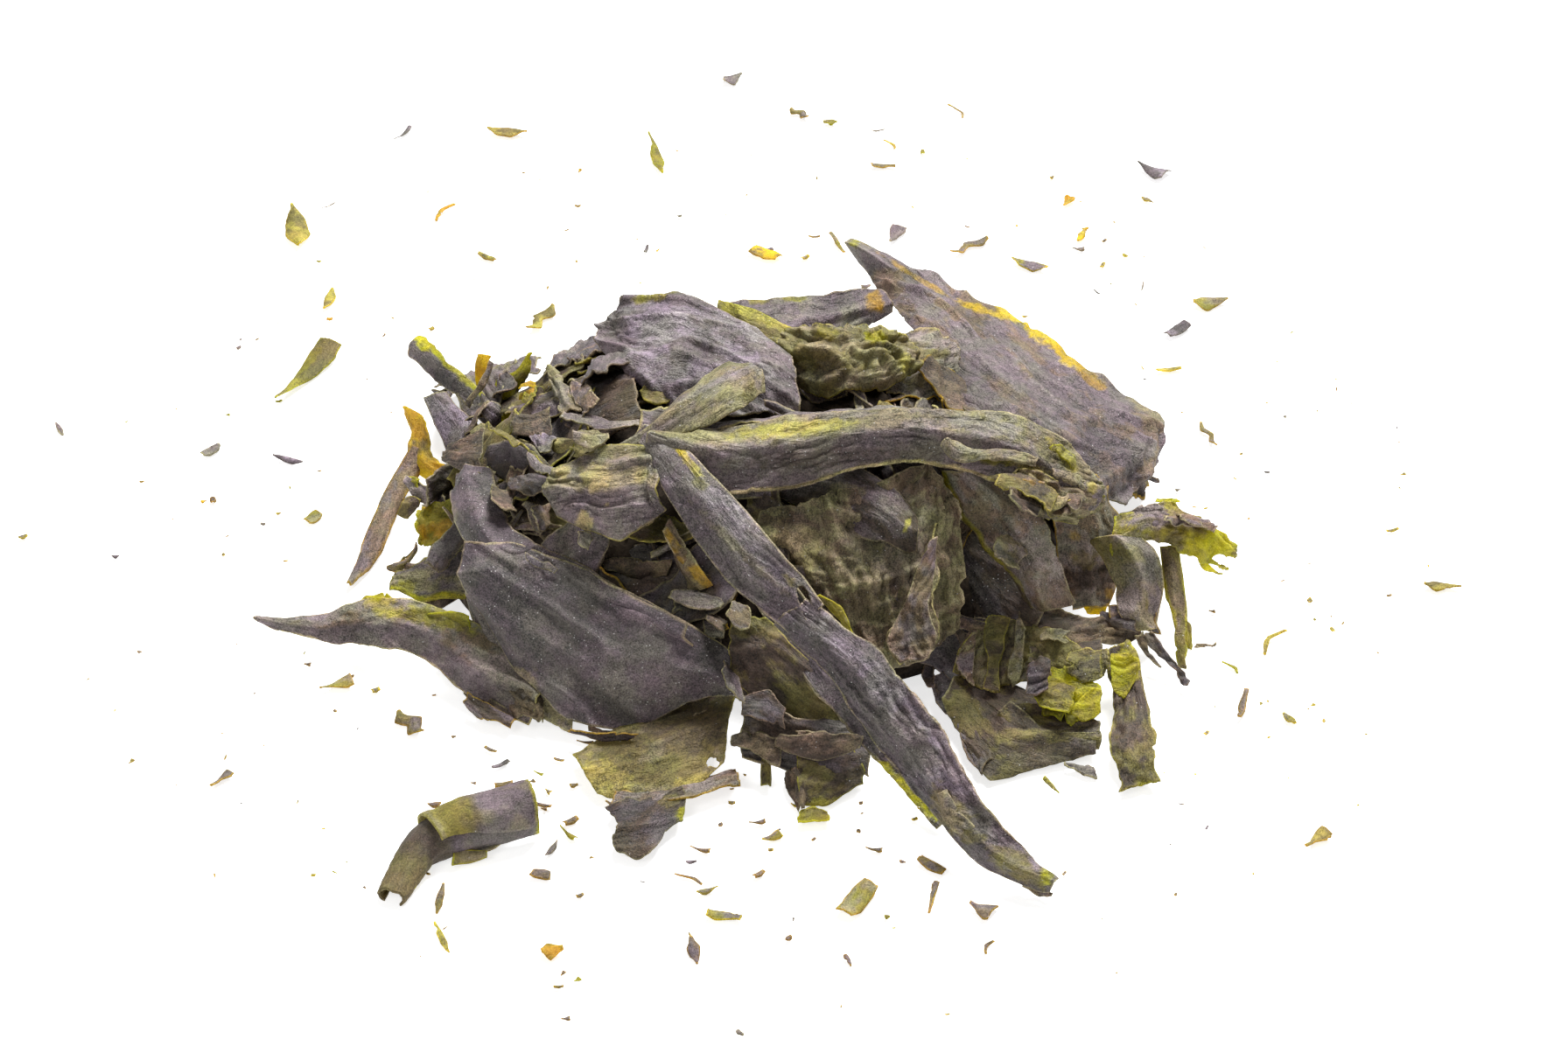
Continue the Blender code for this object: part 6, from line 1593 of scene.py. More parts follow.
class Bed:
    """What small leaves lie on: the leaves laid before them, as the photograph's camera sees them."""

    steps: int = 4                      # rays for each stretch between two stations
    across: tuple[float, ...] = (0.1, 0.5, 0.9)  # where across a leaf they go, as shares of its width
    fewest: int = 4                     # rays that have to meet the bed
    floor: float = 0.3                  # what lies lower than this is floor, in millimetres
    floor_lift: float = 0.7             # the height of a leaf that lies on the floor
    lift: float = 0.6                   # how far a leaf lies above its bed
    proud: float = 0.8                  # the share of the bed that it covers
    under: float = 0.25                 # the weight of what lies below it
    rounds: int = 6                     # of fitting
    lean_x: tuple[float, float] = (-0.9, 0.9)    # the slopes that a leaf may have
    lean_y: tuple[float, float] = (-0.2, 1.2)

    def __init__(self, pieces: list[bpy.types.Object], maker: SheetMaker) -> None:
        """Takes the pieces that are done and the maker of the one that is being laid."""
        self.eye = Vector(VIEW.eye())
        self.trees = [BVHTree.FromBMesh(maker.bm)]
        for piece in pieces:
            corners = [vert.co[:] for vert in piece.data.vertices]
            faces = [face.vertices[:] for face in piece.data.polygons]
            self.trees.append(BVHTree.FromPolygons(corners, faces))

    def ray(self, column: float, row: float) -> Vector:
        """The direction of a pixel."""
        return Vector(VIEW.ray(column, row)).normalized()

    def seen(self, column: float, row: float) -> Vector | None:
        """The place that shows at a pixel, in metres, or None where that is the floor."""
        hits = [tree.ray_cast(self.eye, self.ray(column, row)) for tree in self.trees]
        hits = [(hit[3], hit[0]) for hit in hits if hit[0] is not None]
        place = min(hits, key=lambda hit: hit[0])[1] if hits else None
        return place if place is not None and place.z >= self.floor * MM else None

    def feel(self, readings: np.ndarray) -> np.ndarray:
        """The places of the bed that show where a leaf goes, in metres, one row each."""
        places = []
        for step in range(self.steps * (len(readings) - 1) + 1):
            index = min(step // self.steps, len(readings) - 2)
            share = (step - self.steps * index) / self.steps
            near, far = readings[index] * (1.0 - share) + readings[index + 1] * share
            places += [self.seen(*(near * (1.0 - across) + far * across)) for across in self.across]
        return np.array([place[:] for place in places if place is not None]).reshape(-1, 3)

    def plane(self, places: np.ndarray) -> tuple[float, float, float]:
        """The slopes along X and Y, and the height at the origin, of a plane laid on places, in metres."""
        terms = np.stack((places[:, 0], places[:, 1], np.ones(len(places))), axis=1)
        heights, weight = places[:, 2], np.ones(len(places))
        for _ in range(self.rounds):
            found = np.linalg.lstsq(terms * weight[:, None], heights * weight, rcond=None)[0]
            weight = np.where(heights - terms @ found > 0, 1.0, self.under)
        along_x, along_y = float(np.clip(found[0], *self.lean_x)), float(np.clip(found[1], *self.lean_y))
        rest = heights - terms[:, 0] * along_x - terms[:, 1] * along_y
        return along_x, along_y, float(np.quantile(rest, self.proud)) + self.lift * MM

    def stations(self, readings: tuple[tuple[Reading, Reading], ...]) -> Stations:
        """Turns a leaf's readings into its stations.

        Args:
            readings: What was read at the near and the far edge, station by station.

        Returns:
            The stations, to the half millimetre.
        """
        points = np.array(readings, dtype=float).reshape(-1, len(readings[0][0]))
        if points.shape[1] == 3:
            places = [VIEW.at_height(*point) for point in points]
        else:
            bed = self.feel(np.array(readings, dtype=float))
            if len(bed) < self.fewest:
                places = [VIEW.at_height(*point, self.floor_lift) for point in points]
            else:
                places = [self.on_plane(*point, *self.plane(bed)) for point in points]
        rounded = [tuple((np.round(place * 2.0) / 2.0).tolist()) for place in places]
        return tuple(zip(rounded[0::2], rounded[1::2]))

    def on_plane(self, column: float, row: float, along_x: float, along_y: float,
                 height: float) -> np.ndarray:
        """The place, in millimetres, on a plane that shows at a pixel, or on the floor if that is higher."""
        eye, ray = self.eye, self.ray(column, row)
        gap = along_x * eye.x + along_y * eye.y + height - eye.z
        place = eye + ray * (gap / (ray.z - along_x * ray.x - along_y * ray.y))
        if place.z < self.lift * MM:
            return VIEW.at_height(column, row, self.lift)
        return np.array(place) / MM


@dataclass
class SmallLeaves:
    """The small leaves that show between the large ones."""

    below: list[bpy.types.Object]       # the pieces that they lie on
    name: str = "small_leaves"
    crown: float = 0.8
    thickness: float = 0.3

    def build(self) -> bpy.types.Object:
        """Lays them all in one piece."""
        maker = SheetMaker()
        for name, (stations, look) in SMALL_LEAVES.items():
            maker.lay(name, stations, self.crown, look)
        bed = Bed(self.below, maker)
        for name, (kind, crown, readings) in BITS.items():
            draw = random.Random(name)
            look = replace(KINDS[kind], ragged=draw.uniform(0.8, 1.8), crumple=draw.uniform(0.1, 0.6),
                           cockle=draw.uniform(0.3, 0.8),
                           curl=(draw.uniform(-0.6, 0.9), draw.uniform(-0.6, 0.9)),
                           smooth=draw.uniform(0.0, 0.6), flutter=0.5, quad=0.42)
            maker.lay(name, bed.stations(readings), crown, look)
        return own(maker.piece(self.name, THIN_LEAF, self.thickness), HEAP_SLOT, HEAP_NODE)


@dataclass
class Core:
    """The mass of packed leaves under the ones that show, and the smaller leaves that lie on it."""

    centre: tuple[float, float] = (4.0, -24.0)
    half_length: float = 62.0           # along X
    half_depth: float = 45.0            # along Y
    height: float = 35.0
    fullness: float = 0.46
    sunk: float = 0.84                  # the solid core's share of that height, so that leaves hide it
    packed: int = 32                    # the leaves that the CAD solid shows too
    inner_share: float = 0.30           # the inner part of the plan that they leave free, by area
    spread: float = 0.97                # how far out leaves lie, as a share of the plan
    packed_length: tuple[float, float] = (17.0, 31.0)
    packed_width: tuple[float, float] = (9.0, 15.0)
    fillers: int = 150                  # smaller ones between them
    shreds: int = 36                    # and narrow strips
    filler_length: tuple[float, float] = (9.0, 21.0)
    filler_width: tuple[float, float] = (4.5, 10.0)
    shred_length: tuple[float, float] = (6.0, 15.0)
    shred_width: tuple[float, float] = (0.8, 2.4)
    rear_leaves: int = 56               # small torn leaves on the broad ones of the back
    rear_length: tuple[float, float] = (6.0, 15.0)
    rear_width: tuple[float, float] = (3.0, 8.5)
    tones: tuple[tuple[Tone, Tone, Tone], ...] = (
        (Tone.PLUM, Tone.GREY, Tone.STRAW), (Tone.CHARCOAL, Tone.PLUM, Tone.BROWN),
        (Tone.UMBER, Tone.OLIVE, Tone.KHAKI), (Tone.BROWN, Tone.PLUM, Tone.STRAW),
        (Tone.UMBER, Tone.CHARCOAL, Tone.MOSS), (Tone.CHARCOAL, Tone.UMBER, Tone.KHAKI),
        (Tone.GREY, Tone.BROWN, Tone.STRAW), (Tone.OLIVE, Tone.BROWN, Tone.CITRON),
        (Tone.UMBER, Tone.BROWN, Tone.AMBER), (Tone.PLUM, Tone.UMBER, Tone.SAND))

    def height_at(self, x: float, y: float) -> float:
        """Height of the smooth core over a point of the floor, in millimetres; 0 outside it."""
        east, north = (x - self.centre[0]) / self.half_length, (y - self.centre[1]) / self.half_depth
        reach = east ** 2 + north ** 2
        return self.height * (1.0 - reach) ** self.fullness if reach < 1.0 else 0.0

    def slope_at(self, x: float, y: float) -> Vector:
        """The direction that the smooth core faces over a point of the floor."""
        here, step = self.height_at(x, y), 2.0
        along_x, along_y = here - self.height_at(x + step, y), here - self.height_at(x, y + step)
        return Vector((along_x, along_y, step)).normalized()

    def build_core(self) -> bpy.types.Object:
        """The solid core: half a sphere drawn out to its plan, with folds and hollows."""
        bm = bmesh.new()
        bmesh.ops.create_icosphere(bm, subdivisions=6, radius=1.0)
        bmesh.ops.bisect_plane(bm, geom=bm.verts[:] + bm.edges[:] + bm.faces[:], plane_co=(0.0, 0.0, 0.0),
                               plane_no=(0.0, 0.0, -1.0), clear_outer=True)
        bmesh.ops.contextual_create(bm, geom=[edge for edge in bm.edges if edge.is_boundary])
        verts = list(bm.verts)
        ball = np.array([vert.co[:] for vert in verts])
        x = self.centre[0] + ball[:, 0] * self.half_length * self.spread
        y = self.centre[1] + ball[:, 1] * self.half_depth * self.spread
        lumps = 2.0 * ripple(x / 9.0, y / 9.0, SEED) + 1.2 * ridges(x / 5.0, y / 5.0, SEED + 1)
        smooth = np.array([self.height_at(float(a), float(b)) for a, b in zip(x, y)])
        z = np.where(ball[:, 2] < 1e-4, 0.02, np.maximum(self.sunk * smooth + lumps, 0.3))
        for vert, place in zip(verts, (np.stack((x, y, z), axis=1) * MM).tolist()):
            vert.co = place
        bmesh.ops.triangulate(bm, faces=bm.faces)
        bmesh.ops.recalc_face_normals(bm, faces=bm.faces)
        for face in bm.faces:
            face.smooth = True
        # Its near-black finish is painted shade.
        return own(mesh_object("packed_core", bm, DeepShadeFinish().material()), HEAP_SLOT, HEAP_NODE)

    def packed_stations(self, index: int, draw: random.Random) -> Stations:
        """Stations of one packed leaf, by the golden angle from the core's middle outwards."""
        share = math.sqrt(self.inner_share + (1.0 - self.inner_share) * (index + 0.5) / self.packed)
        angle = index * GOLDEN_ANGLE
        x = self.centre[0] + self.half_length * self.spread * share * math.cos(angle)
        y = self.centre[1] + self.half_depth * self.spread * share * math.sin(angle)
        east, north = draw.uniform(0.0, math.tau), draw.uniform(0.0, math.tau)
        slope = self.slope_at(x, y)
        heading = Vector((math.cos(east), math.sin(north), 0.0))
        heading = (heading - slope * heading.dot(slope)).normalized()
        side = slope.cross(heading).normalized()
        tip = draw.uniform(-0.5, 0.5)
        side = (side * math.cos(tip) + slope * math.sin(tip)).normalized()
        length, width = draw.uniform(*self.packed_length), draw.uniform(*self.packed_width)
        middle = Vector((x, y, self.height_at(x, y))) + slope * draw.uniform(-0.5, 1.5)
        stations = []
        for part, wide in ((-0.5, 0.45), (0.0, 1.0), (0.5, 0.6)):
            centre = middle + heading * (length * part) + slope * (draw.uniform(-2.0, 3.0) if part else 0.0)
            half = side * (0.5 * width * wide)
            stations.append((tuple(centre - half), tuple(centre + half)))
        return tuple(stations)

    def loose_stations(self, draw: random.Random, length: float, width: float, tip: float,
                       lift: float) -> Stations:
        """Stations of one small leaf somewhere on the core, tipped off its slope.

        Args:
            draw: Gives the chance values.
            length: Of the leaf, in millimetres.
            width: Of the leaf, in millimetres.
            tip: How far it tips at most, in radians.
            lift: How far it lies off the core, in millimetres.

        Returns:
            The stations.
        """
        share, angle = math.sqrt(draw.uniform(0.0, 1.0)) * self.spread, draw.uniform(0.0, math.tau)
        x = self.centre[0] + self.half_length * share * math.cos(angle)
        y = self.centre[1] + self.half_depth * share * math.sin(angle)
        slope = self.slope_at(x, y)
        turn = draw.uniform(0.0, math.tau)
        heading = Vector((math.cos(turn), math.sin(turn), 0.0))
        heading = (heading - slope * heading.dot(slope)).normalized()
        side = slope.cross(heading).normalized()
        lean = draw.uniform(-tip, tip)
        side = (side * math.cos(lean) + slope * math.sin(lean)).normalized()
        middle = Vector((x, y, self.height_at(x, y))) + slope * lift
        bend = draw.uniform(-0.12, 0.22) * length
        stations = []
        ends = draw.uniform(0.2, 0.7), draw.uniform(0.15, 0.6)
        for part, wide in ((-0.5, ends[0]), (-0.15, 1.0), (0.2, 0.9), (0.5, ends[1])):
            centre = middle + heading * (length * part) + slope * (bend * (4.0 * part * part - 0.5))
            half = side * (0.5 * width * wide)
            stations.append((tuple(centre - half), tuple(centre + half)))
        return tuple(stations)

    def build_packed(self) -> bpy.types.Object:
        """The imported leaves, in the places that the CAD solid gives them."""
        maker, draw = SheetMaker(), random.Random(SEED + 1)
        for index in range(self.packed):
            stations = self.packed_stations(index, draw)
            crown = draw.uniform(-2.0, 2.5)
            tone, mottle, rim = self.tones[index % len(self.tones)]
            look = Look(tone, mottle, 0.35, rim, 0.5, ragged=1.4, cockle=1.0, crumple=0.3, quad=0.7)
            maker.lay(f"packed_{index}", stations, crown, look)
        return own(maker.piece("packed_leaves", LEAF, 0.34), HEAP_SLOT, HEAP_NODE)

    def build_fillers(self) -> bpy.types.Object:
        """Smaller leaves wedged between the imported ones."""
        maker, draw = SheetMaker(), random.Random(SEED + 2)
        for index in range(self.fillers):
            length, width = draw.uniform(*self.filler_length), draw.uniform(*self.filler_width)
            stations = self.loose_stations(draw, length, width, 1.0, draw.uniform(-5.0, 0.5))
            tone, mottle, rim = draw.choice(self.tones)
            look = Look(tone, mottle, 0.35, rim, 0.45, ragged=1.2, cockle=0.8, crumple=0.35, quad=0.75)
            maker.lay(f"filler_{index}", stations, draw.uniform(-1.5, 1.5), look)
        return own(maker.piece("filler_leaves", LEAF, 0.32), HEAP_SLOT, HEAP_NODE)

    def build_shreds(self) -> bpy.types.Object:
        """Narrow strips caught between the leaves."""
        maker, draw = SheetMaker(), random.Random(SEED + 3)
        for index in range(self.shreds):
            length, width = draw.uniform(*self.shred_length), draw.uniform(*self.shred_width)
            stations = self.loose_stations(draw, length, width, 1.2, draw.uniform(-1.5, 1.2))
            tone, mottle, rim = draw.choice(self.tones)
            look = Look(tone, mottle, 0.4, rim, 0.35, ragged=0.4, wrinkle=0.3, cockle=0.5, flutter=0.4,
                        quad=0.6)
            maker.lay(f"shred_{index}", stations, draw.uniform(-0.6, 0.6), look)
        return own(maker.piece("shreds", THIN_LEAF, 0.3), HEAP_SLOT, HEAP_NODE)

    def rear_stations(self, member: str, draw: random.Random) -> Stations:
        """Stations of one small torn leaf that lies on a broad leaf of the back."""
        edges = np.array(LEAVES[member]["stations"], dtype=float)
        step = draw.randrange(len(edges) - 1)
        share, across = draw.random(), draw.uniform(0.0, 1.0)
        near = edges[step, 0] + (edges[step + 1, 0] - edges[step, 0]) * share
        far = edges[step, 1] + (edges[step + 1, 1] - edges[step, 1]) * share
        along = unit(edges[step + 1].mean(axis=0) - edges[step].mean(axis=0))
        side = unit(far - near)
        outward = unit(np.cross(along, side))
        outward = outward * (1.0 if outward[2] > 0.0 else -1.0)
        turn, lean = draw.uniform(0.0, math.tau), draw.uniform(-0.5, 0.5)
        heading = along * math.cos(turn) + side * math.sin(turn)
        wing = unit(np.cross(outward, heading)) * math.cos(lean) + outward * math.sin(lean)
        middle = near + (far - near) * across + outward * draw.uniform(0.8, 2.6)
        length, width = draw.uniform(*self.rear_length), draw.uniform(*self.rear_width)
        stations = []
        ends = draw.uniform(0.2, 0.7), draw.uniform(0.15, 0.6)
        for part, wide in ((-0.5, ends[0]), (-0.1, 1.0), (0.25, 0.8), (0.5, ends[1])):
            rise = draw.uniform(-0.5, 1.5) if abs(part) == 0.5 else 0.0
            centre = middle + heading * (length * part) + outward * rise
            half = wing * (0.5 * width * wide)
            stations.append((tuple(centre - half), tuple(centre + half)))
        return tuple(stations)

    def build_rear(self) -> bpy.types.Object:
        """Small torn leaves that lie on the broad ones of the back."""
        maker, draw = SheetMaker(), random.Random(SEED + 5)
        members = [name for name in LEAVES if name.startswith("rear_")] + ["right_side"]
        for index in range(self.rear_leaves):
            stations = self.rear_stations(members[index % len(members)], draw)
            tone, mottle, rim = draw.choice(self.tones)
            look = Look(tone, mottle, 0.35, rim, 0.4, ragged=1.3, cockle=0.7, crumple=0.4, quad=0.6)
            maker.lay(f"rear_{index}", stations, draw.uniform(-0.8, 1.2), look)
        return own(maker.piece("rear_scraps", LEAF, 0.32), HEAP_SLOT, HEAP_NODE)

    def build(self) -> list[bpy.types.Object]:
        """The core and everything that lies on it."""
        return [self.build_core(), self.build_packed(), self.build_fillers(), self.build_shreds(),
                self.build_rear()]


# ---------------------------------------------------------------- the rolled leaf

@dataclass(frozen=True)
class Turn:
    """One turn of the roll: where along it the turn begins, how far it stands off, how far round it goes."""

    seed: int
    first: float = 0.0                  # share of the roll's length where it begins
    lift: float = 0.0                   # mm outside the roll's own radius
    flare: float = 0.0                  # mm more at its beginning
    sweep: tuple[float, float] = (0.0, 1.0)
    slant: float = 0.0                  # by how much less it goes round at its beginning


@dataclass
class RolledLeaf:
    """The leaf that dried as a roll: two turns with bright mouths, a tongue and a flap below."""

    stations: tuple[tuple[float, float, float, float], ...] = (
        (-57.5, -119.5, 2.2, 1.5), (-55.5, -114.0, 2.8, 2.0), (-52.5, -108.5, 3.4, 3.0),
        (-46.5, -105.0, 4.2, 4.2), (-40.0, -103.0, 4.2, 4.5), (-33.5, -101.0, 3.6, 5.0))
    opening: float = 70.0               # degrees of the roll that stay open, on its under side
    wall: float = 0.5
    facet: float = 0.5

    turns: tuple[Turn, ...] = (Turn(517), Turn(541, 0.45, 0.55, 0.8, (0.10, 0.84), 0.16))

    def build(self) -> bpy.types.Object:
        """Lays the roll's turns and dresses them."""
        maker = SheetMaker()
        for turn in self.turns:
            self.lay_turn(maker, turn)
        bmesh.ops.recalc_face_normals(maker.bm, faces=maker.bm.faces)
        self.lay_folds(maker)
        return own(maker.piece("rolled_leaf_skin", FLAKE, self.wall), ROLL_SLOT, ROLL_NODE)

    def lay_turn(self, maker: SheetMaker, turn: Turn) -> None:
        """Lays one turn as a grid bent round the roll's line.

        Args:
            maker: Takes the grid.
            turn: What it covers.
        """
        rows = np.array(self.stations)
        length = float(np.linalg.norm(np.diff(rows[:, :2], axis=0), axis=1).sum())
        around = 2.0 * math.pi * float(rows[:, 2:].mean())
        reach = turn.sweep[1] - turn.sweep[0]
        verts = bmesh.ops.create_grid(maker.bm, x_segments=round(length * (1.0 - turn.first) / self.facet),
                                      y_segments=round(around * reach / self.facet), size=0.5)["verts"]
        share = np.array([vert.co[:2] for vert in verts]) + 0.5
        seed = turn.seed
        ragged = torn(share[:, 1] * around, 0.9, seed) / length
        u = turn.first + (1.0 - turn.first) * share[:, 0]
        u = np.clip(u * (1.0 - 2.0 * ragged) + ragged, 0.0, 1.0)
        back = 1.0 - share[:, 0]
        rim = torn(u * length, 0.5, seed + 9) / around
        v = turn.sweep[0] + share[:, 1] * (reach - turn.slant * back - rim)
        line = along_edge(rows, u)
        ahead = along_edge(rows, np.minimum(u + 0.04, 1.0)) - along_edge(rows, np.maximum(u - 0.04, 0.0))
        ahead = unit(np.stack((ahead[:, 0], ahead[:, 1], 0.0 * u), axis=1))
        aside = np.stack((-ahead[:, 1], ahead[:, 0], 0.0 * u), axis=1)
        angle = np.radians(270.0 + 0.5 * self.opening + (360.0 - self.opening) * v)
        a, c = u * length, v * around
        swell = (0.30 * ripple(a / 7.0, c / 5.0, seed + 1) + 0.16 * ridges(a / 10.0, c / 2.0, seed + 2)
                 + 0.12 * ripple(a / 1.6, c / 1.6, seed + 3) + turn.lift + turn.flare * ease(0.88, 1.0, back))
        wide, high = line[:, 2] + swell, line[:, 3] + swell
        places = np.stack((line[:, 0], line[:, 1], line[:, 3]), axis=1)
        places = places + aside * (wide * np.cos(angle))[:, None]
        places[:, 2] += high * np.sin(angle)
        places[:, 2] = np.maximum(places[:, 2], 0.3)
        # The inner turn ends in the dark tongue; the outer one is olive at its rim; both mouths are lime.
        outer = 1.0 if turn.lift else 0.0
        tongue = (1.0 - outer) * ease(0.56, 0.46, u + 0.04 * ripple(a / 3.0, c / 3.0, seed + 5))
        washes = (
            (Tone.KHAKI, 0.45 * ease(0.1, 0.5, ripple(a / 3.0, c / 3.0, seed + 7))),
            (Tone.OLIVE, outer * 0.9 * ease(0.70, 0.64, u + 0.05 * ripple(a / 3.0, c / 3.0, seed + 4))),
            (Tone.MOSS, outer * 0.6 * ease(0.66, 0.60, u + 0.07 * ripple(a / 2.0, c / 3.0, seed + 8))),
            (Tone.KHAKI, outer * 0.8 * ease(0.93, 0.97, back + 0.03 * ripple(a, c / 2.0, seed + 10))),
            (Tone.CITRON, outer * 0.7 * ease(0.975, 0.995, back)),
            (Tone.CHARCOAL, (1.0 - outer) * 0.7 * ease(0.30, 0.42, u)),
            (Tone.UMBER, 0.9 * tongue),
            (Tone.OLIVE, 0.7 * tongue * ease(0.36, 0.22, u + 0.06 * ripple(a / 2.0, c / 2.0, seed + 11))),
            (Tone.LIME, ease(0.955, 0.985, u + 0.012 * ripple(a / 2.0, c / 2.0, seed + 6))))
        surface = np.tile((*Tone.PLUM.value.surface, 1.0), (len(u), 1))
        light = np.tile((*Tone.PLUM.value.glow, Tone.PLUM.value.thin), (len(u), 1))
        for tone, weight in washes:
            weight = (weight + 0.0 * u)[:, None]
            surface = surface * (1.0 - weight) + np.array((*tone.value.surface, 1.0)) * weight
            light = light * (1.0 - weight) + np.array((*tone.value.glow, tone.value.thin)) * weight
        maker.place(verts, places, surface, light, a, c)

    def lay_folds(self, maker: SheetMaker) -> None:
        """The fold under the roll, its flap with a bright end, and the torn rim beside the tongue."""
        fold = Look(Tone.CHARCOAL, Tone.KHAKI, 0.3, Tone.STRAW, 0.35, ragged=0.4, quad=0.45)
        flap = Look(Tone.KHAKI, Tone.OLIVE, 0.3, Tone.LIME, 0.5, ragged=0.3, quad=0.4)
        rim = Look(Tone.MOSS, Tone.LIME, 0.5, Tone.LIME, 0.4, ragged=0.9, quad=0.4)
        maker.lay("roll_fold", (
            ((-53.0, -111.0, 2.4), (-52.0, -108.6, 3.6)), ((-47.0, -109.6, 1.2), (-46.5, -107.0, 3.4)),
            ((-41.0, -108.0, 1.0), (-41.0, -105.2, 3.2)), ((-36.5, -105.0, 2.2), (-36.0, -103.6, 3.2))),
            0.6, fold)
        maker.lay("roll_flap", (
            ((-48.0, -111.2, 0.6), (-47.6, -108.8, 2.6)), ((-44.5, -110.4, 0.8), (-44.6, -108.6, 2.2)),
            ((-41.5, -109.2, 1.2), (-41.5, -108.4, 1.8))), 0.5, flap)
        maker.lay("roll_rim", (
            ((-54.2, -117.8, 0.5), (-55.2, -116.8, 1.6)), ((-52.4, -113.4, 0.6), (-53.4, -112.4, 2.2)),
            ((-50.6, -110.6, 0.8), (-51.6, -109.6, 2.6))), 0.3, rim)


# ---------------------------------------------------------------- flakes and crumbs

class Shape(Enum):
    """Outlines of a flake: shares along it, with its near and far half width there as shares."""

    LEAFLET = ((0.0, 0.10, 0.05), (0.3, 0.85, 0.75), (0.65, 1.0, 0.95), (1.0, 0.08, 0.10))
    KITE = ((0.0, 0.10, 0.10), (0.35, 1.0, 1.0), (0.7, 0.5, 0.6), (1.0, 0.06, 0.06))
    WEDGE = ((0.0, 0.12, 0.10), (0.4, 0.55, 0.45), (0.8, 1.0, 0.95), (1.0, 0.75, 1.0))
    ROD = ((0.0, 0.7, 0.8), (0.5, 1.0, 0.9), (1.0, 0.8, 0.6))
    PLATE = ((0.0, 0.75, 0.6), (0.3, 1.0, 0.85), (0.7, 0.85, 1.0), (1.0, 0.55, 0.8))
    HOOK = ((0.0, 1.0, -0.55), (0.3, 0.35, 0.45), (0.6, 0.0, 1.0), (1.0, 0.85, -0.35))
    STAR = ((0.0, 0.10, 0.15), (0.25, 1.0, 0.30), (0.5, 0.40, 1.0), (0.75, 1.0, 0.45), (1.0, 0.15, 0.10))


CRUMB_SHAPES = (Shape.LEAFLET, Shape.KITE, Shape.WEDGE, Shape.ROD, Shape.PLATE)

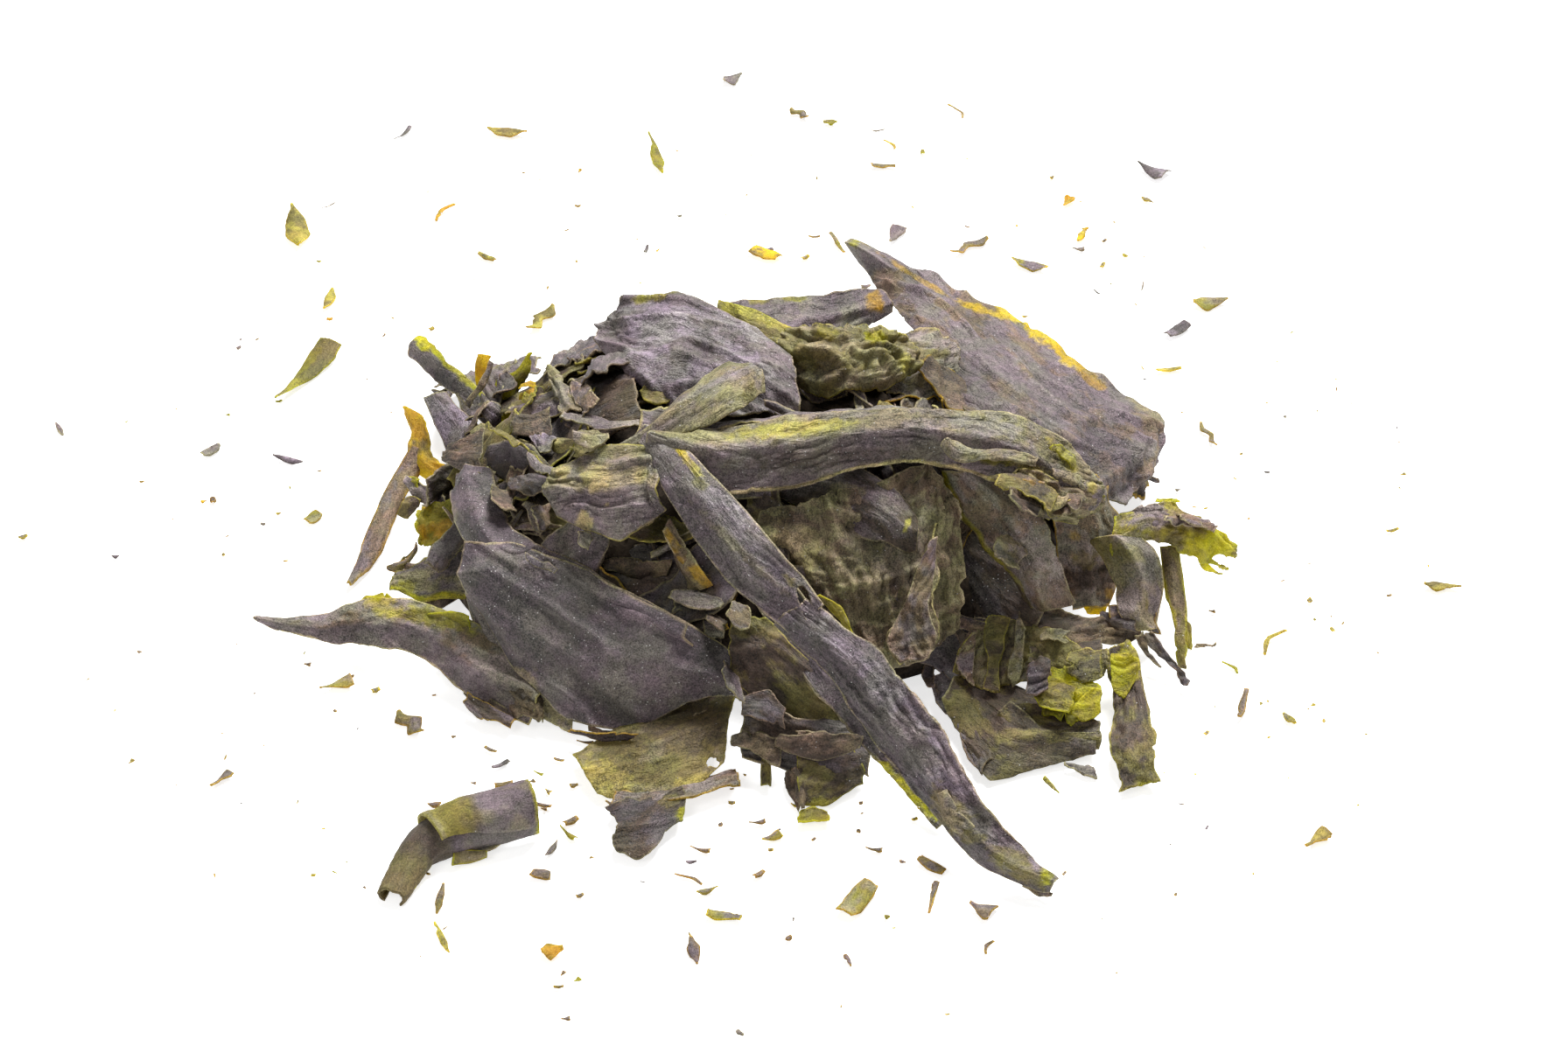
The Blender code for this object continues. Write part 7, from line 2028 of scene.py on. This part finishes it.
# The flakes: place, length and width in millimetres, turn in degrees, tint and outline.
FLAKES: dict[str, tuple[float, float, float, float, float, str, Shape]] = {
    "far_top": (-2, 146, 6.5, 6.0, 38, "grey", Shape.KITE),
    "far_pair": (14, 131, 6.3, 4.2, -41, "olive", Shape.STAR),
    "far_green": (21, 127, 4.5, 3.4, -5, "green", Shape.LEAFLET),
    "far_hook": (35, 118, 5.0, 2.3, -54, "olive", Shape.HOOK),
    "far_right_bent": (51, 132, 7.2, 2.8, -63, "olive", Shape.HOOK),
    "far_dash": (33, 109, 6.6, 2.9, -3, "olive", Shape.ROD),
    "far_grey_plate": (94, 107, 8.6, 5.9, -39, "grey", Shape.WEDGE),
    "far_right_chip": (92, 95, 4.0, 2.4, -38, "olive", Shape.KITE),
    "far_left_boat": (-54, 123, 10.6, 5.2, -10, "yellow", Shape.LEAFLET),
    "far_strip": (-19, 113, 18.0, 3.6, -77, "green", Shape.LEAFLET),
    "left_far_leaf": (-98, 84, 17.0, 6.4, -77, "yellow", Shape.LEAFLET),
    "left_far_hook": (-66, 90, 8.9, 3.4, 58, "amber", Shape.HOOK),
    "left_seed": (-55, 73, 5.5, 2.5, -33, "yellow", Shape.ROD),
    "left_gold": (-88, 57, 9.0, 3.2, 83, "yellow", Shape.LEAFLET),
    "left_wing": (-90, 30, 23.0, 7.0, 65, "green", Shape.WEDGE),
    "left_curl": (-42, 50, 10.9, 5.4, 60, "yellow", Shape.STAR),
    "back_gold": (6, 74, 7.6, 5.4, -37, "amber", Shape.PLATE),
    "back_plum": (35, 81, 7.5, 5.1, 64, "grey", Shape.WEDGE),
    "back_rod": (22, 78, 9.0, 2.3, -68, "olive", Shape.ROD),
    "right_branch": (51, 77, 11.5, 4.6, 37, "olive", Shape.STAR),
    "right_wavy": (64, 70, 9.6, 4.6, -24, "olive", Shape.LEAFLET),
    "right_triangle": (74, 94, 5.4, 3.8, 58, "amber", Shape.WEDGE),
    "right_tall_chip": (76, 81, 5.9, 2.5, 67, "amber", Shape.LEAFLET),
    "right_kite": (102, 56, 9.1, 5.8, 8, "olive", Shape.KITE),
    "right_knob": (94, 46, 7.5, 4.0, 40, "grey", Shape.PLATE),
    "right_bar": (91, 32, 6.5, 2.4, 11, "yellow", Shape.ROD),
    "right_pair": (97, 10, 8.8, 3.2, -72, "olive", Shape.STAR),
    "right_far_kite": (137, -37, 8.5, 4.2, -5, "yellow", Shape.KITE),
    "right_curl": (102, -53, 9.3, 3.8, 52, "yellow", Shape.HOOK),
    "right_green_hook": (94, -60, 5.0, 2.0, -53, "green", Shape.HOOK),
    "right_brown_rod": (95, -70, 9.0, 2.1, 75, "brown", Shape.ROD),
    "right_small_green": (103, -74, 4.6, 2.8, -59, "olive", Shape.LEAFLET),
    "right_low_wedge": (104, -105, 7.2, 4.2, 38, "yellow", Shape.WEDGE),
    "near_left_wedge": (-91, -90, 6.1, 3.5, 47, "brown", Shape.WEDGE),
    "left_dark_plate": (-73, -65, 7.2, 4.6, 24, "olive", Shape.WEDGE),
    "left_dark_crown": (-58, -75, 8.4, 5.2, -47, "olive", Shape.STAR),
    "left_brick": (-106, 5, 5.3, 3.3, 45, "grey", Shape.PLATE),
    "left_splinter": (-90, 2, 7.7, 1.9, -19, "grey", Shape.LEAFLET),
    "left_far_end": (-138, 12, 5.6, 1.9, -62, "grey", Shape.LEAFLET),
    "left_tip_end": (-139, -22, 3.0, 2.2, 32, "olive", Shape.KITE),
    "left_mid_chip": (-83, -16, 4.8, 3.6, 51, "olive", Shape.PLATE),
    "near_lobe": (-49, -119, 7.6, 2.2, -95, "olive", Shape.LEAFLET),
    "near_lobe_tip": (-48, -128, 8.4, 2.2, -67, "yellow", Shape.LEAFLET),
    "near_brown_plate": (-32, -113, 5.0, 3.3, -16, "brown", Shape.PLATE),
    "near_gold": (-29, -131, 5.2, 4.8, 12, "amber", Shape.KITE),
    "near_star": (-5, -131, 7.3, 3.0, -79, "brown", Shape.KITE),
    "near_leaf": (0, -123, 7.0, 3.6, -16, "olive", Shape.PLATE),
    "near_shield": (23, -119, 9.5, 5.6, 52, "olive", Shape.PLATE),
    "near_spike": (36, -119, 8.6, 2.2, 77, "brown", Shape.WEDGE),
    "near_plum": (44, -121, 5.5, 4.6, -31, "brown", Shape.WEDGE),
    "near_seed": (36, -111, 6.4, 3.0, -37, "olive", Shape.ROD),
    "near_hinge": (45, -130, 4.5, 1.8, 62, "brown", Shape.HOOK),
    "near_thorn": (21, -133, 3.6, 1.8, -70, "brown", Shape.KITE),
    "near_left_prism": (-41, -86, 4.6, 2.8, 30, "grey", Shape.WEDGE),
    "near_chip": (8, -104, 4.7, 2.5, 31, "olive", Shape.WEDGE),
    "near_bracket": (-6, -114, 6.3, 2.0, -28, "brown", Shape.HOOK),
    "near_edge": (3, -149, 2.6, 1.8, -42, "grey", Shape.KITE),
}

# The crumbs that stand out: place, length and width in millimetres, turn in degrees, and tint.
CRUMBS: tuple[tuple[float, float, float, float, float, str], ...] = (
    (32.0, 124.0, 3.6, 0.8, 12, "grey"), (-78.0, 122.0, 7.0, 1.6, 60, "grey"),
    (-92.0, 93.0, 4.0, 0.6, 40, "grey"), (-20.0, 76.0, 3.2, 1.2, 80, "grey"),
    (-13.0, 89.0, 1.6, 1.2, 20, "grey"), (7.0, 76.0, 2.2, 1.6, 30, "grey"),
    (17.0, 81.0, 3.0, 1.0, 0, "brown"), (15.0, 73.0, 2.4, 1.6, 40, "olive"),
    (28.0, 62.0, 2.6, 1.6, 10, "grey"), (78.0, 60.0, 2.4, 0.7, -50, "grey"),
    (88.0, 62.0, 3.6, 0.5, 80, "grey"), (62.0, 51.0, 2.0, 1.2, 10, "olive"),
    (75.0, 76.0, 3.4, 2.0, 0, "grey"), (80.0, 70.0, 2.4, 1.2, 70, "olive"),
    (-36.0, 93.0, 1.8, 1.2, 0, "olive"), (130.0, -20.0, 3.0, 1.2, 20, "olive"),
    (70.0, -60.0, 2.2, 1.4, 30, "yellow"), (-120.0, -28.0, 2.0, 1.4, 0, "grey"),
    (-105.0, 40.0, 1.6, 1.2, 30, "grey"), (-26.0, -146.0, 2.0, 1.4, 10, "brown"),
    (-27.0, -136.0, 1.6, 1.0, 60, "brown"), (-25.0, -118.0, 1.8, 1.2, 30, "brown"),
    (-40.0, -91.0, 3.8, 1.8, 15, "olive"), (-34.0, -88.0, 2.4, 1.0, -30, "green"),
    (-52.0, -96.0, 3.2, 1.8, 8, "brown"), (-33.0, -96.0, 4.4, 1.2, -20, "brown"),
    (-27.5, -100.0, 3.2, 1.8, 40, "brown"), (-20.5, -92.0, 3.0, 2.0, 60, "olive"),
    (-16.0, -95.0, 5.0, 2.6, 5, "brown"), (-28.0, -103.0, 4.6, 1.4, -48, "green"),
    (-30.5, -107.0, 4.8, 1.4, 62, "grey"), (-26.0, -80.0, 3.6, 1.0, -8, "brown"),
    (-24.0, -84.0, 3.0, 1.4, -50, "olive"), (-43.0, -82.0, 3.0, 1.2, -30, "brown"),
    (11.0, -128.0, 2.0, 1.4, 50, "brown"), (26.0, -107.0, 3.4, 1.2, -8, "brown"),
    (28.0, -123.0, 1.6, 1.4, 0, "green"), (-3.0, -117.0, 4.6, 1.8, 20, "olive"),
    (6.0, -113.0, 2.6, 1.6, 40, "brown"), (-20.0, -96.0, 3.8, 1.7, -20, "brown"),
    (-18.5, -105.0, 4.2, 1.9, 50, "brown"), (-13.5, -104.0, 4.5, 1.5, 35, "olive"),
    (-4.5, -107.0, 4.2, 1.2, -15, "brown"), (-6.0, -110.0, 2.4, 1.2, 10, "grey"),
    (1.0, -95.5, 1.6, 1.2, 0, "olive"), (-1.0, -101.0, 1.6, 1.2, 60, "brown"),
    (5.5, -100.5, 3.5, 1.5, 10, "brown"), (12.0, -96.0, 1.6, 1.0, -30, "olive"),
    (24.0, -95.5, 1.2, 1.0, 0, "brown"), (33.5, -99.5, 1.6, 1.0, 20, "olive"),
    (23.5, -102.5, 1.2, 1.0, 70, "brown"), (-45.5, -90.5, 1.4, 1.0, 0, "brown"),
    (-35.0, -90.0, 1.4, 1.2, 30, "brown"), (-32.0, -92.5, 1.7, 1.2, -40, "olive"),
    (-32.5, -97.0, 1.6, 1.2, 0, "brown"), (-33.5, -101.5, 1.7, 1.0, 60, "grey"),
    (-27.5, -91.0, 2.1, 1.5, 10, "brown"), (8.0, -107.0, 1.4, 1.0, 0, "olive"),
    (15.5, -104.5, 1.4, 0.8, 40, "brown"), (31.0, -110.0, 1.6, 1.0, -20, "brown"),
    (-79.0, -59.0, 1.6, 1.2, 0, "brown"), (-65.5, -66.0, 2.1, 1.5, 30, "olive"),
    (-50.0, -78.5, 1.4, 1.0, 0, "brown"), (-30.5, -84.5, 2.4, 1.0, -20, "brown"),
    (89.0, -7.5, 1.6, 1.2, 0, "grey"), (103.0, 4.0, 1.4, 1.0, 40, "olive"),
    (92.0, -44.0, 1.6, 1.0, 0, "olive"), (87.5, -77.5, 1.6, 1.0, 50, "olive"),
    (-92.5, -18.0, 1.4, 1.0, 0, "grey"),
)

# The looks that the flakes and crumbs of one tint take in turn.
TINTS: dict[str, tuple[Look, ...]] = {
    "grey": (
        Look(Tone.PLUM, Tone.GREY, 0.35, Tone.STRAW, 0.3),
        Look(Tone.CHARCOAL, Tone.LILAC, 0.3, Tone.GREY, 0.3)),
    "olive": (
        Look(Tone.OLIVE, Tone.PLUM, 0.4, Tone.AMBER, 0.45),
        Look(Tone.PLUM, Tone.MOSS, 0.45, Tone.YELLOW, 0.45),
        Look(Tone.KHAKI, Tone.MOSS, 0.4, Tone.AMBER, 0.4)),
    "green": (
        Look(Tone.OLIVE, Tone.MOSS, 0.4, Tone.LIME, 0.35),
        Look(Tone.MOSS, Tone.OLIVE, 0.45, Tone.LIME, 0.4)),
    "yellow": (
        Look(Tone.OLIVE, Tone.CITRON, 0.45, Tone.AMBER, 0.4),
        Look(Tone.CITRON, Tone.OLIVE, 0.4, Tone.YELLOW, 0.4)),
    "amber": (
        Look(Tone.AMBER, Tone.MOSS, 0.3, Tone.AMBER, 0.4),
        Look(Tone.YELLOW, Tone.BROWN, 0.35, Tone.AMBER, 0.5)),
    "brown": (
        Look(Tone.BROWN, Tone.PLUM, 0.45, Tone.AMBER, 0.4),
        Look(Tone.PLUM, Tone.BROWN, 0.4, Tone.AMBER, 0.4)),
}


@dataclass(frozen=True)
class Flake:
    """One flake on the floor, in millimetres and degrees."""

    x: float
    y: float
    length: float
    width: float
    turn: float
    shape: Shape
    rise: float = 0.15                  # how far its middle lifts, as a share of its width
    bend: float = 0.06                  # how far its ends lift, as a share of its length

    def stations(self) -> Stations:
        """Its two edges."""
        heading = math.radians(self.turn)
        ahead, aside = (math.cos(heading), math.sin(heading)), (-math.sin(heading), math.cos(heading))
        rows = []
        for share, near, far in self.shape.value:
            run = (share - 0.5) * self.length
            high = 0.30 + self.bend * self.length * (2.0 * share - 1.0) ** 2
            edge = []
            for side in (-near, far):
                edge.append((self.x + ahead[0] * run + aside[0] * 0.5 * self.width * side,
                             self.y + ahead[1] * run + aside[1] * 0.5 * self.width * side, high))
            rows.append(tuple(edge))
        return tuple(rows)


@dataclass
class Scatter:
    """The flakes that lie apart, as in the CAD, one piece for each tint."""

    quad: float = 0.45
    ragged: float = 0.65

    def build(self) -> list[bpy.types.Object]:
        """Lays each tint's flakes and dresses them."""
        pieces = []
        for tint, looks in TINTS.items():
            maker, nodes = SheetMaker(), []
            for name, (x, y, length, width, turn, its_tint, shape) in FLAKES.items():
                if its_tint != tint:
                    continue
                look = replace(looks[len(nodes) % len(looks)], ragged=self.ragged, wrinkle=0.12, spacing=1.4,
                               cockle=0.25, flutter=0.3, quad=self.quad)
                flake = Flake(x, y, length, width, turn, shape)
                maker.lay(name, flake.stations(), flake.rise * width, look)
                nodes.append(f"flake_{name}")
            pieces.append(own(maker.piece(f"flakes_{tint}", FLAKE, 0.3), tint, *nodes))
        return pieces


@dataclass
class Crumbs:
    """The smallest crumbs, over the whole scatter: those that stand out by place, the rest by chance."""

    count: int = 170
    middle: tuple[float, float] = (5.0, -15.0)   # of the ring that chance crumbs lie in
    inner: tuple[float, float] = (82.0, 62.0)    # where it begins, along X and Y
    reach: tuple[float, float] = (134.0, 138.0)  # where it ends
    margin: float = 2.0                 # between the crumbs and the sides of the CAD's box
    sizes: tuple[float, float] = (0.7, 2.3)
    bulge: float = 0.3                  # a crumb's crown, as a share of its width
    bend: float = 0.10

    def lay(self, maker: SheetMaker, name: str, x: float, y: float, length: float, width: float, turn: float,
            look: Look) -> None:
        """Lays one crumb, in a shape that its name picks."""
        flake = Flake(x, y, length, width, turn, random.Random(name).choice(CRUMB_SHAPES), bend=self.bend)
        maker.lay(name, flake.stations(), self.bulge * width, look)

    def fits(self, x: float, y: float) -> bool:
        """Whether a crumb in this place stays inside the CAD's box."""
        low, high = CAD_BOX
        return all(low[side] / MM + self.margin < place < high[side] / MM - self.margin
                   for side, place in enumerate((x, y)))

    def build(self) -> bpy.types.Object:
        """Lays all the crumbs in one piece."""
        maker, draw = SheetMaker(), random.Random(SEED + 4)
        looks = [look for looks in TINTS.values() for look in looks]

        def small(base: Look) -> Look:
            """A look for a crumb."""
            return replace(base, rim_width=0.25, ragged=0.2, wrinkle=0.05, cockle=0.1, flutter=0.1, quad=0.6)

        for index, (x, y, length, width, turn, tint) in enumerate(CRUMBS):
            self.lay(maker, f"crumb_{index}", x, y, length, width, turn, small(TINTS[tint][index % 2]))
        placed = 0
        while placed < self.count:
            angle, share = draw.uniform(0.0, math.tau), draw.uniform(0.0, 1.0) ** 0.7
            x = self.middle[0] + math.cos(angle) * (self.inner[0] + share * (self.reach[0] - self.inner[0]))
            y = self.middle[1] + math.sin(angle) * (self.inner[1] + share * (self.reach[1] - self.inner[1]))
            if not self.fits(x, y):
                continue
            length = draw.uniform(*self.sizes) * draw.uniform(0.5, 1.0)
            width, turn = length * draw.uniform(0.25, 0.8), draw.uniform(0.0, 180.0)
            self.lay(maker, f"dust_{placed}", x, y, length, width, turn, small(draw.choice(looks)))
            placed += 1
        return own(maker.piece("crumbs", FLAKE, 0.22), CRUMB_SLOT)


# ---------------------------------------------------------------- the studio

@dataclass
class Studio:
    """The white floor, the light and the camera."""

    floor_size: float = 3.0             # metres to each side
    floor_white: float = 0.75
    floor_glow: float = 0.70            # light from the floor itself, as on a light table
    sky: float = 0.26
    key_power: float = 26.0
    key_size: float = 0.45
    key_place: Point = (0.25, 0.50, 0.95)
    fill_power: float = 2.6
    fill_place: Point = (-0.45, -0.65, 0.90)

    def add_floor(self) -> bpy.types.Object:
        """A wide floor at z = 0, matt white."""
        bm = bmesh.new()
        bmesh.ops.create_grid(bm, x_segments=4, y_segments=4, size=self.floor_size)
        material = bpy.data.materials.new("white_floor")
        material.use_nodes = True
        skin = material.node_tree.nodes["Principled BSDF"]
        skin.inputs["Base Color"].default_value = (self.floor_white, self.floor_white, self.floor_white, 1.0)
        skin.inputs["Roughness"].default_value = 0.9
        skin.inputs["Specular IOR Level"].default_value = 0.1
        skin.inputs["Emission Color"].default_value = (1.0, 1.0, 1.0, 1.0)
        skin.inputs["Emission Strength"].default_value = self.floor_glow
        floor = mesh_object("floor", bm, material)
        return floor

    def add_light(self, name: str, place: Point, power: float, size: float) -> None:
        """A square soft light that looks at the heap."""
        lamp = bpy.data.lights.new(name, "AREA")
        lamp.shape, lamp.size, lamp.energy = "SQUARE", size, power
        light = bpy.data.objects.new(name, lamp)
        light.location = place
        light.rotation_euler = (-Vector(place)).to_track_quat("-Z", "Y").to_euler()
        bpy.context.scene.collection.objects.link(light)

    def build(self) -> None:
        """Sets up floor, sky, lights, camera and the plain view transform."""
        self.add_floor()
        world = bpy.data.worlds.new("soft_sky")
        world.use_nodes = True
        ground = world.node_tree.nodes["Background"]
        ground.inputs["Color"].default_value = (1.0, 1.0, 1.0, 1.0)
        ground.inputs["Strength"].default_value = self.sky
        scene = bpy.context.scene
        scene.world = world
        self.add_light("key", self.key_place, self.key_power, self.key_size)
        self.add_light("fill", self.fill_place, self.fill_power, self.key_size)
        VIEW.add_camera()
        scene.view_settings.view_transform = "Standard"
        scene.view_settings.look = "None"


def main() -> None:
    """Builds every piece in order."""
    logging.basicConfig(level=logging.INFO, format="%(name)s: %(message)s")
    Studio().build()
    laid = [LeafGroup(name, finish, members).build() for name, (finish, members) in GROUPS.items()]
    laid += Core().build()
    laid.append(RolledLeaf().build())
    SmallLeaves(laid + [bpy.data.objects[HEAP_NODE], bpy.data.objects[ROLL_NODE]]).build()
    Scatter().build()
    Crumbs().build()
    bpy.context.view_layer.update()


if __name__ == "__main__":
    main()
